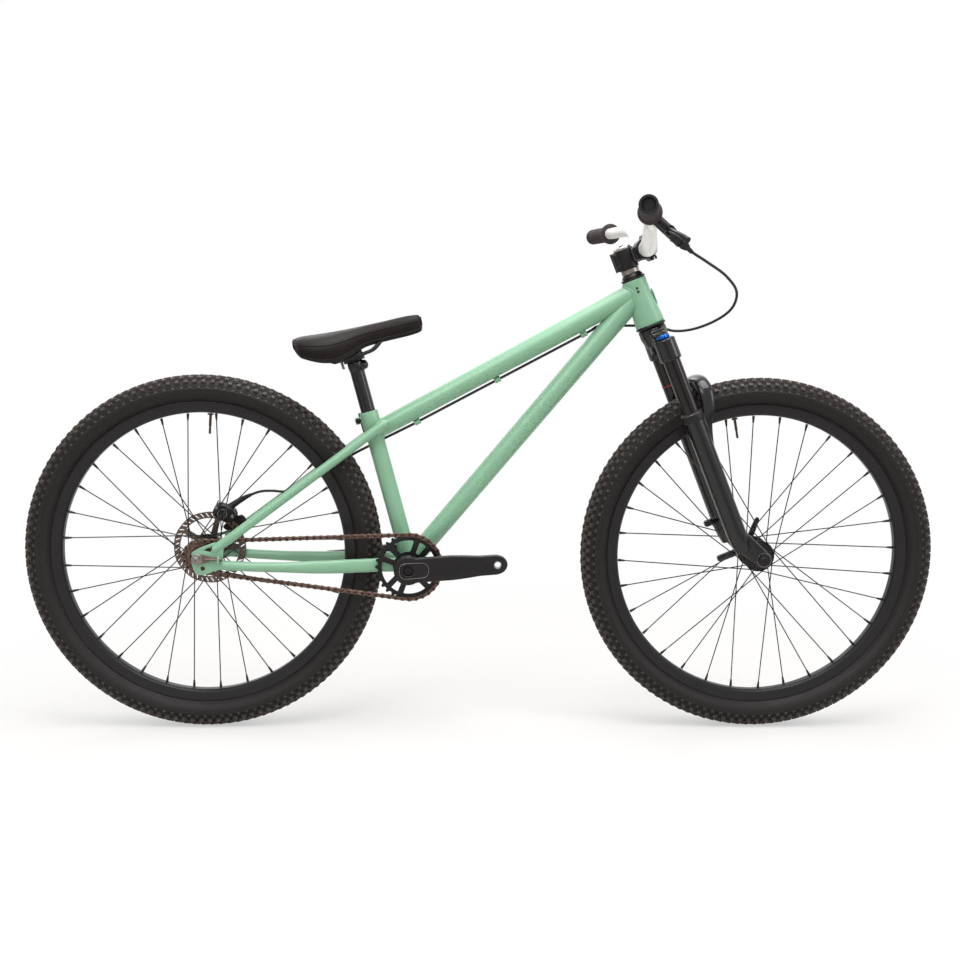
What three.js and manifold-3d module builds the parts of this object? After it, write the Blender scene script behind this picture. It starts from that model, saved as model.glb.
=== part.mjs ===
// Dirt jump bike, millimetres, +X towards the front wheel, +Y to the bike's left, +Z up.
// The origin lies on the floor, midway between the two wheels.
import * as THREE from 'three';
import { mergeVertices } from 'three/addons/utils/BufferGeometryUtils.js';
import Module from 'manifold-3d';

const wasm = await Module();
wasm.setup();

// Layout of the whole bike
const WHEELBASE = 1048.5;
const TYRE_RADIUS = 336;
const TYRE_WIDTH = 56;
const TYRE_CLEARANCE = 31.5;
const BOTTOM_BRACKET_DROP = 18.6;
const FORK_TYRE_SPACE = 142.82;
const FORK_RAKE = 34.71;
const HEAD_ANGLE = THREE.MathUtils.degToRad(68.04);
const SEAT_ANGLE = THREE.MathUtils.degToRad(74.9);
const REST_CRANK_ANGLE = THREE.MathUtils.degToRad(4.2);
const SADDLE_TILT = THREE.MathUtils.degToRad(11.5);
const RAIL_TILT = THREE.MathUtils.degToRad(18.5);

// Fits: between pieces that touch, between pieces that turn or slide, and past what a cut goes through
const SEAT_GAP = 0.3;
const RUNNING_GAP = 0.06;
const CUT_OVERRUN = 6;
const RUB_GAP = 1;

// How many flat sides round shapes have
const WHEEL_SIDES = 32;
const FIT_SIDES = 12;
const TUBE_SIDES = 12;
const THIN_SIDES = 10;
const SMALL_SIDES = 8;
const RAIL_SIDES = 6;

// Frame tubes
const TOP_TUBE_REAR_RADIUS = 16.6;
const TOP_TUBE_FRONT_RADIUS = 19.4;
const TOP_TUBE_DROP = 39.5;
const TOP_TUBE_FRONT_HEIGHT = 69;
const DOWN_TUBE_REAR_RADIUS = 17.4;
const DOWN_TUBE_FRONT_RADIUS = 19.2;
const DOWN_TUBE_FRONT_HEIGHT = 62;
const SEAT_TUBE_RADIUS = 16;
const SEAT_TUBE_COLLAR_RADIUS = 17.6;
const SEAT_TUBE_COLLAR_LENGTH = 34;
const SEAT_TUBE_LENGTH = 297;
const HEAD_TUBE_LENGTH = 89;
const HEAD_TUBE_TOP_RADIUS = 22.5;
const HEAD_TUBE_BOTTOM_RADIUS = 27.5;
const HEAD_TUBE_WALL = 4;
const STAY_RADIUS = 8.6;
const STAY_STEPS = 8;
const STAY_EYE_SHARE = 0.724;
const STAY_FOOT_FORWARD = 31;
const STAY_FOOT_RISE = 16.5;
const STAY_TOP_FORWARD = 28;
const STAY_TOP_RISE = 22.5;
const CHAINSTAY_RADIUS = 9;
const CHAINSTAY_YOKE_HEIGHT = 26;
const CHAINSTAY_YOKE_WIDTH = 14;
const BOTTOM_BRACKET_WIDTH = 73;
const BOTTOM_BRACKET_RADIUS = 20.5;
const BOTTOM_BRACKET_BORE_RADIUS = 16.8;

// Rear ends, and what closes on them
const REAR_HUB_WIDTH = 135;
const REAR_DROPOUT_THICKNESS = 6;
const REAR_DROPOUT_HEIGHT = 60;
const REAR_AXLE_RADIUS = 5;
const REAR_SLOT_DEPTH = 16;
const REAR_NUT_RADIUS = 8.6;
const REAR_NUT_LENGTH = 9;
const TENSIONER_THICKNESS = 2.5;
const TENSIONER_EYE_RADIUS = 8;
const TENSIONER_SCREW_RADIUS = 2.1;
const TENSIONER_REACH = 46;
const TENSIONER_LUG_LENGTH = 4;
const TENSIONER_HEAD_RADIUS = 4.2;
const TENSIONER_HEAD_LENGTH = 4;

// Seatpost and saddle
const SEATPOST_RADIUS = 13.6;
const SEATPOST_SHOWN = 99;
const SEATPOST_INSERTED = 110;
const SEATPOST_WALL = 2.2;
const SEATPOST_HEAD_RADIUS = 15.5;
const SEATPOST_HEAD_HEIGHT = 20;
const SEATPOST_CHIN_RADIUS = 12;
const SEATPOST_CHIN_FORWARD = 13;
const SEAT_BOLT_RADIUS = 2.6;
const SEAT_BOLT_HEAD_RADIUS = 5.4;
const SEAT_LUG_WIDTH = 20;
const SEAT_LUG_REACH = 12;
const SEAT_LUG_HEIGHT = 12;
const SADDLE_LENGTH = 238;
const SADDLE_WIDTH = 132;
const SADDLE_PAD_DEPTH = 21;
const SADDLE_SKIRT_DEPTH = 52;
const SADDLE_SHELL_THICKNESS = 4;
const SADDLE_RAIL_RADIUS = 3.5;
const SADDLE_RAIL_SPACING = 44;
const SADDLE_RAIL_DROP = 29;
const SADDLE_SIDE_SHARE = 0.45;
const SADDLE_TAIL_SHARE = 0.425;
const SADDLE_CLAMP_LENGTH = 40;
const SADDLE_CLAMP_HEIGHT = 14;
const SADDLE_CLAMP_BOLT_RADIUS = 3.2;

// Headset, stem and bar
const CUP_LIP_LENGTH = 5;
const UPPER_CUP_RADIUS = 23.2;
const LOWER_CUP_RADIUS = 28.4;
const CUP_SKIRT_LENGTH = 9;
const STEERER_RADIUS = 14.3;
const STEERER_WALL = 2.3;
const SPACER_RADIUS = 16.6;
const SPACER_LENGTH = 15.5;
const SPACER_CONE_RADIUS = 21;
const SPACER_CONE_LENGTH = 6;
const STEM_CLAMP_HEIGHT = 38;
const STEM_CLAMP_RADIUS = 19;
const STEM_LENGTH = 40;
const STEM_RISE = 5;
const STEM_BODY_WIDTH = 50;
const STEM_FACEPLATE_DEPTH = 8;
const STEM_CAP_RADIUS = 16.5;
const STEM_CAP_HEIGHT = 4;
const BAR_CLAMP_RADIUS = 15.9;
const BAR_GRIP_RADIUS = 11.1;
const BAR_WIDTH = 780;
const BAR_RISE = 45.5;
const BAR_BACKSWEEP = 54.5;
const BAR_CENTRE_HALF = 34;
const BAR_SHOULDER_PLACE = 122;
const GRIP_LENGTH = 128;
const GRIP_RADIUS = 15.8;
const GRIP_FLANGE_RADIUS = 21;
const GRIP_FLANGE_LENGTH = 5;
const GRIP_END_CAP = 4;

// Fork
const FORK_LEG_SPACING = 124;
const FORK_LEG_OFFSET = 4.5;
const STANCHION_RADIUS = 16;
const STANCHION_LENGTH = 275;
const CROWN_TOP_RADIUS = 26.5;
const CROWN_HUB_DEPTH = 34;
const CROWN_SOCKET_RADIUS = 20.4;
const CROWN_SOCKET_TOP = 27;
const CROWN_SOCKET_BOTTOM = 69;
const CROWN_ARM_FRONT = 18;
const KNOB_RADIUS = 12;
const KNOB_HEIGHT = 7;
const LOWER_LEG_BELOW_ARCH = 54;
const LOWER_LEG_COLLAR_RADIUS = 20.6;
const LOWER_LEG_COLLAR_LENGTH = 16;
const LOWER_LEG_RADIUS = 18.6;
const LOWER_LEG_AXLE_RISE = 26.82;
const LOWER_LEG_FOOT_RADIUS = 13;
const LOWER_LEG_BORE_DEPTH = 250;
const FORK_BORE_GAP = 0.1;
const ARCH_TYRE_SPACE = 24.82;
const ARCH_FORWARD = 46;
const ARCH_DEPTH = 25;
const ARCH_HEIGHT = 15;
const ARCH_DROP = 118;
const ARCH_STEPS = 10;
const POST_MOUNT_SPACING = 74.2;
const POST_MOUNT_RISE = 77.82;
const POST_MOUNT_REACH = 34;
const POST_MOUNT_SIZE = 13;
const POST_MOUNT_PLACE = 51;
const FRONT_HUB_WIDTH = 110;
const FRONT_DROPOUT_THICKNESS = 14;
const FRONT_DROPOUT_RADIUS = 17;
const FRONT_AXLE_RADIUS = 7.5;
const AXLE_LEVER_LENGTH = 62;
const AXLE_LEVER_WIDTH = 13;
const AXLE_LEVER_THICKNESS = 7;
const AXLE_LEVER_ANGLE = THREE.MathUtils.degToRad(20);

// Wheels
const RIM_WIDTH = 30;
const RIM_WALL = 2.2;
const TYRE_HEIGHT = 50;
const RIM_DEPTH = 21;
const BEAD_WIDTH = 3.4;
const TYRE_WALL = 3.2;
const SPOKE_RADIUS = 1.15;
const SPOKE_ROOT_RADIUS = 27.4;
const SPOKE_RIM_OFFSET = 2.5;
const SPOKES_PER_SIDE = 16;
const SPOKE_CROSSINGS = 3;
const FRONT_SPOKE_SHARE = 0.125;
const REAR_SPOKE_SHARE = 0.25;
const HUB_FLANGE_RADIUS = 30;
const HUB_FLANGE_THICKNESS = 3.4;
const HUB_SHELL_RADIUS = 15;
const FRONT_FLANGE_PLACE = 27;
const REAR_RIGHT_FLANGE_PLACE = 21;
const REAR_LEFT_FLANGE_PLACE = 32;
const HUB_END_RADIUS = 10.5;
const VALVE_RADIUS = 3;
const VALVE_LENGTH = 40;
const FRONT_VALVE_ANGLE = THREE.MathUtils.degToRad(100.6);
const REAR_VALVE_ANGLE = THREE.MathUtils.degToRad(86.5);
const ROTOR_RADIUS = 70;
const ROTOR_BAND = 13;
const ROTOR_THICKNESS = 1.9;
const ROTOR_PLACE = 52;
const ROTOR_ARMS = 5;
const ROTOR_CENTRE_RADIUS = 25;

// Drive
const CHAIN_PITCH = 12.7;
const CHAIN_WIDTH = 8;
const CHAIN_HEIGHT = 8.6;
const CHAIN_LINE = 48;
const CHAINRING_TEETH = 30;
const SPROCKET_TEETH = 14;
const TOOTH_HEIGHT = 2.3;
const TOOTH_DEPTH = 3.4;
const TOOTH_THICKNESS = 2;
const CHAIN_SLOT_GAP = 0.4;
const CHAINRING_PHASE = THREE.MathUtils.degToRad(57.8);
const CRANK_LENGTH = 165;
const CRANK_SPINDLE_RADIUS = 12;
const CRANK_PLACE = 76;
const CRANK_THICKNESS = 15;
const CRANK_ROOT_HEIGHT = 45;
const PEDAL_HOLE_RADIUS = 7.2;
const BEARING_CUP_RADIUS = 22;
const BEARING_CUP_LENGTH = 7.5;

// Brake
const CALIPER_LENGTH = 44;
const CALIPER_HEIGHT = 30;
const CALIPER_WIDTH = 30;
const CALIPER_SLOT = 6;
const CALIPER_CLEARANCE = 10;
const CALIPER_ANGLE = THREE.MathUtils.degToRad(67);
const BANJO_RISE = 42;
const BANJO_SHARE = 0.7;
const LEVER_GRIP_SPACE = 18;
const LEVER_CLAMP_RADIUS = 15.5;
const LEVER_CLAMP_WIDTH = 14;
const LEVER_DROP_ANGLE = THREE.MathUtils.degToRad(39);
const LEVER_BODY_RADIUS = 10;
const LEVER_REACH = 82;
const LEVER_INBOARD = 46;
const LEVER_PIVOT_REACH = 44;
const LEVER_PIVOT_OUTBOARD = 6;
const LEVER_EAR_RADIUS = 8;
const LEVER_EAR_THICKNESS = 2.5;
const LEVER_PIN_RADIUS = 2.5;
const LEVER_BLADE_LENGTH = 88;
const LEVER_BLADE_HEIGHT = 11;
const LEVER_BLADE_THICKNESS = 9;
const LEVER_BLADE_STEPS = 8;
const HOSE_RADIUS = 2.5;
const HOSE_RUN_STEPS = 46;
const HOSE_LOOP_STEPS = 31;
const GUIDE_RADIUS = 5;
const GUIDE_LENGTH = 12;

const place = (x, y, z) => new THREE.Vector3(x, y, z);

// Main points of the bike, all in the middle plane
const rearAxle = place(-WHEELBASE / 2, 0, TYRE_RADIUS);
const frontAxle = place(WHEELBASE / 2, 0, TYRE_RADIUS);
const chainstayLength = TYRE_RADIUS + TYRE_CLEARANCE + BOTTOM_BRACKET_RADIUS;
const bottomBracket = place(
  rearAxle.x + Math.sqrt(chainstayLength ** 2 - BOTTOM_BRACKET_DROP ** 2), 0,
  TYRE_RADIUS - BOTTOM_BRACKET_DROP);
const forkLength = TYRE_RADIUS + FORK_TYRE_SPACE;
const seatDirection = place(-Math.cos(SEAT_ANGLE), 0, Math.sin(SEAT_ANGLE));
const seatTop = bottomBracket.clone().addScaledVector(seatDirection, SEAT_TUBE_LENGTH);

// The front end and the seat each have a frame of their own: Z up their tube, X forwards
const axleInFork = place(FORK_RAKE, 0, -forkLength);
const steeringFrame = new THREE.Group();
steeringFrame.rotation.y = HEAD_ANGLE - Math.PI / 2;
steeringFrame.position.copy(frontAxle).sub(axleInFork.clone().applyEuler(steeringFrame.rotation));
steeringFrame.updateMatrix();
const seatFrame = new THREE.Group();
seatFrame.position.copy(seatTop);
seatFrame.rotation.y = SEAT_ANGLE - Math.PI / 2;
seatFrame.updateMatrix();
const steered = (x, y, z) => place(x, y, z).applyMatrix4(steeringFrame.matrix);
const seated = (x, y, z) => place(x, y, z).applyMatrix4(seatFrame.matrix);

/** A closed solid from a geometry, with its faces turned outwards. */
function solid(geometry) {
  const bare = geometry.clone();
  for (const name of Object.keys(bare.attributes)) {
    if (name !== 'position') bare.deleteAttribute(name);
  }
  const merged = mergeVertices(bare);
  const triVerts = Uint32Array.from(merged.index.array);
  const vertProperties = Float32Array.from(merged.attributes.position.array);
  const body = new wasm.Manifold(new wasm.Mesh({ numProp: 3, vertProperties, triVerts }));
  if (body.volume() > 0) return body;
  const turned = triVerts.slice();
  for (let i = 0; i < turned.length; i += 3) {
    turned[i] = triVerts[i + 1];
    turned[i + 1] = triVerts[i];
  }
  return new wasm.Manifold(new wasm.Mesh({ numProp: 3, vertProperties, triVerts: turned }));
}

/** The geometry of a solid, for a three.js mesh. */
function geometryOf(body) {
  const mesh = body.getMesh();
  const geometry = new THREE.BufferGeometry();
  geometry.setAttribute('position', new THREE.BufferAttribute(Float32Array.from(mesh.vertProperties), 3));
  geometry.setIndex(new THREE.BufferAttribute(Uint32Array.from(mesh.triVerts), 1));
  geometry.computeVertexNormals();
  return geometry;
}

const joined = (bodies) => bodies.reduce((whole, next) => whole.add(next));
const cut = (body, cutters) => cutters.reduce((rest, next) => rest.subtract(next), body);

/** The radius a polygon needs for its flat sides to stand clear of a turning shaft. */
const boreFor = (radius, sides = FIT_SIDES, gap = RUNNING_GAP) => (
  (radius + gap) / Math.cos(Math.PI / sides));

/** A straight round bar between two points, tapered if its end radius differs. */
function rod(from, to, radius, sides = TUBE_SIDES, endRadius = radius) {
  const along = to.clone().sub(from);
  const geometry = new THREE.CylinderGeometry(endRadius, radius, along.length(), sides);
  const turn = new THREE.Quaternion().setFromUnitVectors(place(0, 1, 0), along.clone().normalize());
  geometry.applyQuaternion(turn);
  const middle = from.clone().add(to).multiplyScalar(1 / 2);
  return solid(geometry.translate(middle.x, middle.y, middle.z));
}

/** A box given by its middle and its three sizes. */
function block(middle, sizeX, sizeY, sizeZ) {
  return solid(new THREE.BoxGeometry(sizeX, sizeY, sizeZ).translate(middle.x, middle.y, middle.z));
}

/** A ring or disc turned about the Y axis from an outline of [radius, y] points that closes on itself. */
function turnedAboutY(outline, sides) {
  const points = [...outline, outline[0]].map(([radius, y]) => new THREE.Vector2(radius, y));
  return solid(new THREE.LatheGeometry(points, sides));
}

/** The same, about the Z axis, from [radius, z] points. */
function turnedAboutZ(outline, sides) {
  const points = [...outline, outline[0]].map(([radius, z]) => new THREE.Vector2(radius, z));
  return solid(new THREE.LatheGeometry(points, sides).rotateX(Math.PI / 2));
}

/** A plate cut from an outline in the X-Z plane, between two values of y. */
function plateXZ(outline, low, high, holes = []) {
  const shape = new THREE.Shape(outline.map(([x, z]) => new THREE.Vector2(x, z)));
  shape.holes = holes.map((hole) => new THREE.Path(hole.map(([x, z]) => new THREE.Vector2(x, z))));
  const geometry = new THREE.ExtrudeGeometry(shape, { depth: high - low, bevelEnabled: false });
  return solid(geometry.rotateX(Math.PI / 2).translate(0, high, 0));
}

/** A plate cut from an outline in the Y-Z plane, between two values of x. */
function plateYZ(outline, low, high) {
  const shape = new THREE.Shape(outline.map(([y, z]) => new THREE.Vector2(y, z)));
  const geometry = new THREE.ExtrudeGeometry(shape, { depth: high - low, bevelEnabled: false });
  geometry.rotateX(Math.PI / 2).rotateZ(Math.PI / 2);
  return solid(geometry.translate(low, 0, 0));
}

/** Points around a circle or an oval, as [x, z] pairs. */
function ring(radius, count, first = 0, flat = radius) {
  return Array.from({ length: count }, (_, i) => {
    const angle = first + (i * 2 * Math.PI) / count;
    return [radius * Math.cos(angle), flat * Math.sin(angle)];
  });
}

/** A bar of oval section along a smooth curve through points. */
function bent(points, halfWidth, sides, steps, halfHeight = halfWidth) {
  const section = new THREE.Shape(ring(halfWidth, sides, Math.PI / sides, halfHeight)
    .map(([x, y]) => new THREE.Vector2(x, y)));
  const extrudePath = new THREE.CatmullRomCurve3(points, false, 'centripetal');
  return solid(new THREE.ExtrudeGeometry(section, { steps, extrudePath, bevelEnabled: false }));
}

/** A closed skin through rings that all have the same number of points. */
function lofted(rings) {
  const count = rings[0].length;
  const positions = rings.flat().flatMap((p) => [p.x, p.y, p.z]);
  const index = [];
  for (let i = 0; i + 1 < rings.length; i += 1) {
    for (let j = 0; j < count; j += 1) {
      const a = i * count + j;
      const b = i * count + ((j + 1) % count);
      index.push(a, b, a + count, b, b + count, a + count);
    }
  }
  const last = (rings.length - 1) * count;
  for (let j = 1; j + 1 < count; j += 1) {
    index.push(0, j + 1, j);
    index.push(last, last + j, last + j + 1);
  }
  const geometry = new THREE.BufferGeometry();
  geometry.setAttribute('position', new THREE.Float32BufferAttribute(positions, 3));
  geometry.setIndex(index);
  return solid(geometry);
}

/** A round bar with one ring of its section at each point; its line never runs along Y. */
function barThrough(points, radius, sides) {
  return lofted(points.map((point, i) => {
    const next = points[Math.min(i + 1, points.length - 1)];
    const along = next.clone().sub(points[Math.max(i - 1, 0)]).normalize();
    const across = place(0, 1, 0).addScaledVector(along, -along.y).normalize();
    const up = along.clone().cross(across);
    return ring(radius, sides).map(([x, z]) => (
      point.clone().addScaledVector(across, x).addScaledVector(up, z)));
  }));
}

const inWorld = (body, frame) => solid(geometryOf(body).applyMatrix4(frame.matrix));

const bike = new THREE.Group();
bike.add(steeringFrame, seatFrame);

/** Adds a named mesh with its own material. */
function add(name, body, colour, roughness, metalness, parent = bike) {
  const material = new THREE.MeshStandardMaterial({ color: colour, roughness, metalness });
  const mesh = new THREE.Mesh(geometryOf(body), material);
  mesh.name = name;
  parent.add(mesh);
}

const MINT = '#8fcbaa';
const BLACK = '#1d1c1e';
const RUBBER = '#2a2728';
const STEEL = '#9a9a9c';
const CHAIN_BROWN = '#5a4640';
const BAR_SILVER = '#d9d8d4';
const GRIP_GREY = '#4a4343';
const BLUE = '#1f5fae';

const SIDES = [['right', -1], ['left', 1]];

// Bores through the head tube, and the tubes that meet there
const headTop = CUP_LIP_LENGTH / 2 + HEAD_TUBE_LENGTH;
const headBottom = CUP_LIP_LENGTH / 2;

function headTube() {
  const mouth = HEAD_TUBE_BOTTOM_RADIUS - HEAD_TUBE_WALL;
  const throat = HEAD_TUBE_TOP_RADIUS - HEAD_TUBE_WALL;
  return turnedAboutZ([
    [HEAD_TUBE_BOTTOM_RADIUS, headBottom],
    [HEAD_TUBE_BOTTOM_RADIUS, headBottom + CUP_SKIRT_LENGTH],
    [HEAD_TUBE_TOP_RADIUS, headTop - HEAD_TUBE_LENGTH / 3],
    [HEAD_TUBE_TOP_RADIUS, headTop],
    [throat, headTop],
    [throat, headTop - HEAD_TUBE_LENGTH / 3],
    [mouth, headBottom + CUP_SKIRT_LENGTH],
    [mouth, headBottom],
  ], FIT_SIDES);
}

/** The space that the head tube fills, grown by the gap its neighbours keep. */
function headTubeRoom() {
  return inWorld(turnedAboutZ([
    [0, headBottom - SEAT_GAP],
    [HEAD_TUBE_BOTTOM_RADIUS + SEAT_GAP, headBottom - SEAT_GAP],
    [HEAD_TUBE_BOTTOM_RADIUS + SEAT_GAP, headBottom + CUP_SKIRT_LENGTH],
    [HEAD_TUBE_TOP_RADIUS + SEAT_GAP, headTop - HEAD_TUBE_LENGTH / 3],
    [HEAD_TUBE_TOP_RADIUS + SEAT_GAP, headTop + SEAT_GAP],
    [0, headTop + SEAT_GAP],
  ], FIT_SIDES), steeringFrame);
}

const seatPoint = (height) => bottomBracket.clone().addScaledVector(seatDirection, height);
const topTubeRear = seatPoint(SEAT_TUBE_LENGTH - TOP_TUBE_DROP);
const topTubeFront = steered(0, 0, TOP_TUBE_FRONT_HEIGHT);
const downTubeFront = steered(0, 0, DOWN_TUBE_FRONT_HEIGHT);

/** A bar that stands a gap clear of a tube on every side. */
const tubeRoom = (from, to, radius, endRadius = radius) => (
  rod(from, to, boreFor(radius, FIT_SIDES, SEAT_GAP), FIT_SIDES, boreFor(endRadius, FIT_SIDES, SEAT_GAP)));
const seatTubeRoom = () => tubeRoom(bottomBracket, seatTop, SEAT_TUBE_RADIUS);
const collarRoom = () => tubeRoom(
  seatPoint(SEAT_TUBE_LENGTH - SEAT_TUBE_COLLAR_LENGTH - SEAT_GAP), seatTop, SEAT_TUBE_COLLAR_RADIUS);
const shellRoom = () => rod(
  place(bottomBracket.x, -BOTTOM_BRACKET_WIDTH, bottomBracket.z),
  place(bottomBracket.x, BOTTOM_BRACKET_WIDTH, bottomBracket.z),
  boreFor(BOTTOM_BRACKET_RADIUS, FIT_SIDES, SEAT_GAP), FIT_SIDES);

const topTubeSlope = topTubeFront.clone().sub(topTubeRear).normalize();
const belowTopTube = place(topTubeSlope.z, 0, -topTubeSlope.x);

/** The radius of the tapered top tube at a share of its length. */
const topTubeRadiusAt = (share) => (
  TOP_TUBE_REAR_RADIUS + (TOP_TUBE_FRONT_RADIUS - TOP_TUBE_REAR_RADIUS) * share);
/** A point on the hose's line under the top tube. */
const underTopTube = (share) => topTubeRear.clone().lerp(topTubeFront, share)
  .addScaledVector(belowTopTube, topTubeRadiusAt(share) + GUIDE_RADIUS);
const GUIDE_PLACE_SHARES = [0.145, 0.449, 0.775];

/** A small brazed-on eye that the hose is threaded through, standing towards its tube. */
function hoseEye(middle, along, towards) {
  const eye = new THREE.BoxGeometry(GUIDE_LENGTH, GUIDE_RADIUS * 2, GUIDE_RADIUS * 3);
  eye.translate(0, 0, GUIDE_RADIUS / 2);
  const up = towards.clone().addScaledVector(along, -along.dot(towards)).normalize();
  eye.applyMatrix4(new THREE.Matrix4().makeBasis(along, up.clone().cross(along), up));
  eye.translate(middle.x, middle.y, middle.z);
  const reach = along.clone().multiplyScalar(GUIDE_LENGTH);
  const hole = rod(middle.clone().sub(reach), middle.clone().add(reach),
    boreFor(HOSE_RADIUS, SMALL_SIDES, SEAT_GAP), SMALL_SIDES);
  return cut(solid(eye), [hole]);
}

function downTube() {
  const tube = rod(bottomBracket, downTubeFront, DOWN_TUBE_REAR_RADIUS, TUBE_SIDES, DOWN_TUBE_FRONT_RADIUS);
  return cut(tube, [shellRoom(), headTubeRoom(), seatTubeRoom()]);
}

function topTube() {
  const tube = rod(topTubeRear, topTubeFront, TOP_TUBE_REAR_RADIUS, TUBE_SIDES, TOP_TUBE_FRONT_RADIUS);
  const eyes = GUIDE_PLACE_SHARES.map((share) => (
    hoseEye(underTopTube(share), topTubeSlope, belowTopTube.clone().negate())));
  const downRoom = tubeRoom(bottomBracket, downTubeFront, DOWN_TUBE_REAR_RADIUS, DOWN_TUBE_FRONT_RADIUS);
  return cut(joined([tube, ...eyes]), [seatTubeRoom(), collarRoom(), headTubeRoom(), downRoom]);
}

function seatTube() {
  const tube = rod(bottomBracket, seatTop, SEAT_TUBE_RADIUS, FIT_SIDES);
  const collar = rod(
    seatPoint(SEAT_TUBE_LENGTH - SEAT_TUBE_COLLAR_LENGTH), seatTop, SEAT_TUBE_COLLAR_RADIUS, FIT_SIDES);
  const lug = inWorld(block(
    place(-SEAT_TUBE_COLLAR_RADIUS - SEAT_LUG_REACH / 3, 0, -SEAT_LUG_HEIGHT),
    SEAT_LUG_REACH, SEAT_LUG_WIDTH, SEAT_LUG_HEIGHT), seatFrame);
  const bore = rod(
    seatPoint(SEAT_TUBE_LENGTH - SEATPOST_INSERTED * 2), seatPoint(SEAT_TUBE_LENGTH + CUT_OVERRUN),
    boreFor(SEATPOST_RADIUS), FIT_SIDES);
  const slit = inWorld(block(
    place(-SEAT_TUBE_COLLAR_RADIUS, 0, -SEAT_TUBE_COLLAR_LENGTH / 3),
    SEAT_TUBE_COLLAR_RADIUS, SEAT_BOLT_RADIUS, SEAT_TUBE_COLLAR_LENGTH), seatFrame);
  const boltHole = inWorld(rod(
    place(-SEAT_TUBE_COLLAR_RADIUS - SEAT_LUG_REACH / 3, -SEAT_LUG_WIDTH, -SEAT_LUG_HEIGHT),
    place(-SEAT_TUBE_COLLAR_RADIUS - SEAT_LUG_REACH / 3, SEAT_LUG_WIDTH, -SEAT_LUG_HEIGHT),
    boreFor(SEAT_BOLT_RADIUS, SMALL_SIDES, SEAT_GAP), SMALL_SIDES), seatFrame);
  return cut(joined([tube, collar, lug]), [bore, slit, boltHole, shellRoom()]);
}

function seatClampBolt() {
  const x = -SEAT_TUBE_COLLAR_RADIUS - SEAT_LUG_REACH / 3;
  const z = -SEAT_LUG_HEIGHT;
  const near = -SEAT_LUG_WIDTH / 2 - SEAT_GAP;
  const far = SEAT_LUG_WIDTH / 2 + SEAT_GAP;
  const head = SEAT_BOLT_HEAD_RADIUS;
  return joined([
    rod(place(x, near - head / 2, z), place(x, far + head / 2, z), SEAT_BOLT_RADIUS, SMALL_SIDES),
    rod(place(x, near - head, z), place(x, near, z), head, THIN_SIDES),
    rod(place(x, far, z), place(x, far + head, z), head, THIN_SIDES),
  ]);
}

function bottomBracketShell() {
  const half = BOTTOM_BRACKET_WIDTH / 2;
  return inPlace(turnedAboutY([
    [BOTTOM_BRACKET_RADIUS, -half],
    [BOTTOM_BRACKET_RADIUS, half],
    [BOTTOM_BRACKET_BORE_RADIUS, half],
    [BOTTOM_BRACKET_BORE_RADIUS, -half],
  ], FIT_SIDES), bottomBracket);
}

/** A body moved from the origin to a point. */
function inPlace(body, at) {
  return solid(geometryOf(body).translate(at.x, at.y, at.z));
}

function bearingCup(side) {
  const inner = BOTTOM_BRACKET_WIDTH / 2 + SEAT_GAP;
  const outer = inner + BEARING_CUP_LENGTH;
  const bore = boreFor(CRANK_SPINDLE_RADIUS);
  const barrel = BOTTOM_BRACKET_BORE_RADIUS - SEAT_GAP;
  const sleeveEnd = inner - BOTTOM_BRACKET_WIDTH / 4;
  return inPlace(turnedAboutY([
    [bore, side * sleeveEnd],
    [bore, side * outer],
    [BEARING_CUP_RADIUS, side * outer],
    [BEARING_CUP_RADIUS, side * inner],
    [barrel, side * inner],
    [barrel, side * sleeveEnd],
  ], FIT_SIDES), bottomBracket);
}

// Rear ends
const dropoutInner = REAR_HUB_WIDTH / 2;
const dropoutOuter = dropoutInner + REAR_DROPOUT_THICKNESS;
const slotHalf = REAR_AXLE_RADIUS + SEAT_GAP;
// Outline of the rear end about the axle, as shares of its height: rear lip, top, stay side, lower lobe
const DROPOUT_OUTLINE_SHARES = [
  [-0.18, 0.2], [0.14, 0.37], [0.56, 0.52], [0.8, 0.36], [0.78, 0.02], [0.78, -0.3], [0.45, -0.4],
  [0.2, -0.5], [-0.05, -0.5], [-0.13, -0.34], [-0.18, -0.1],
];
const EYELET_SHARES = [0.16, -0.3];
const lugX = TENSIONER_REACH - TENSIONER_LUG_LENGTH - TENSIONER_HEAD_LENGTH - SEAT_GAP;
const tensionerMiddle = dropoutOuter + SEAT_GAP + TENSIONER_THICKNESS / 2;
const screwY = dropoutOuter + SEAT_GAP + TENSIONER_HEAD_RADIUS;

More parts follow.
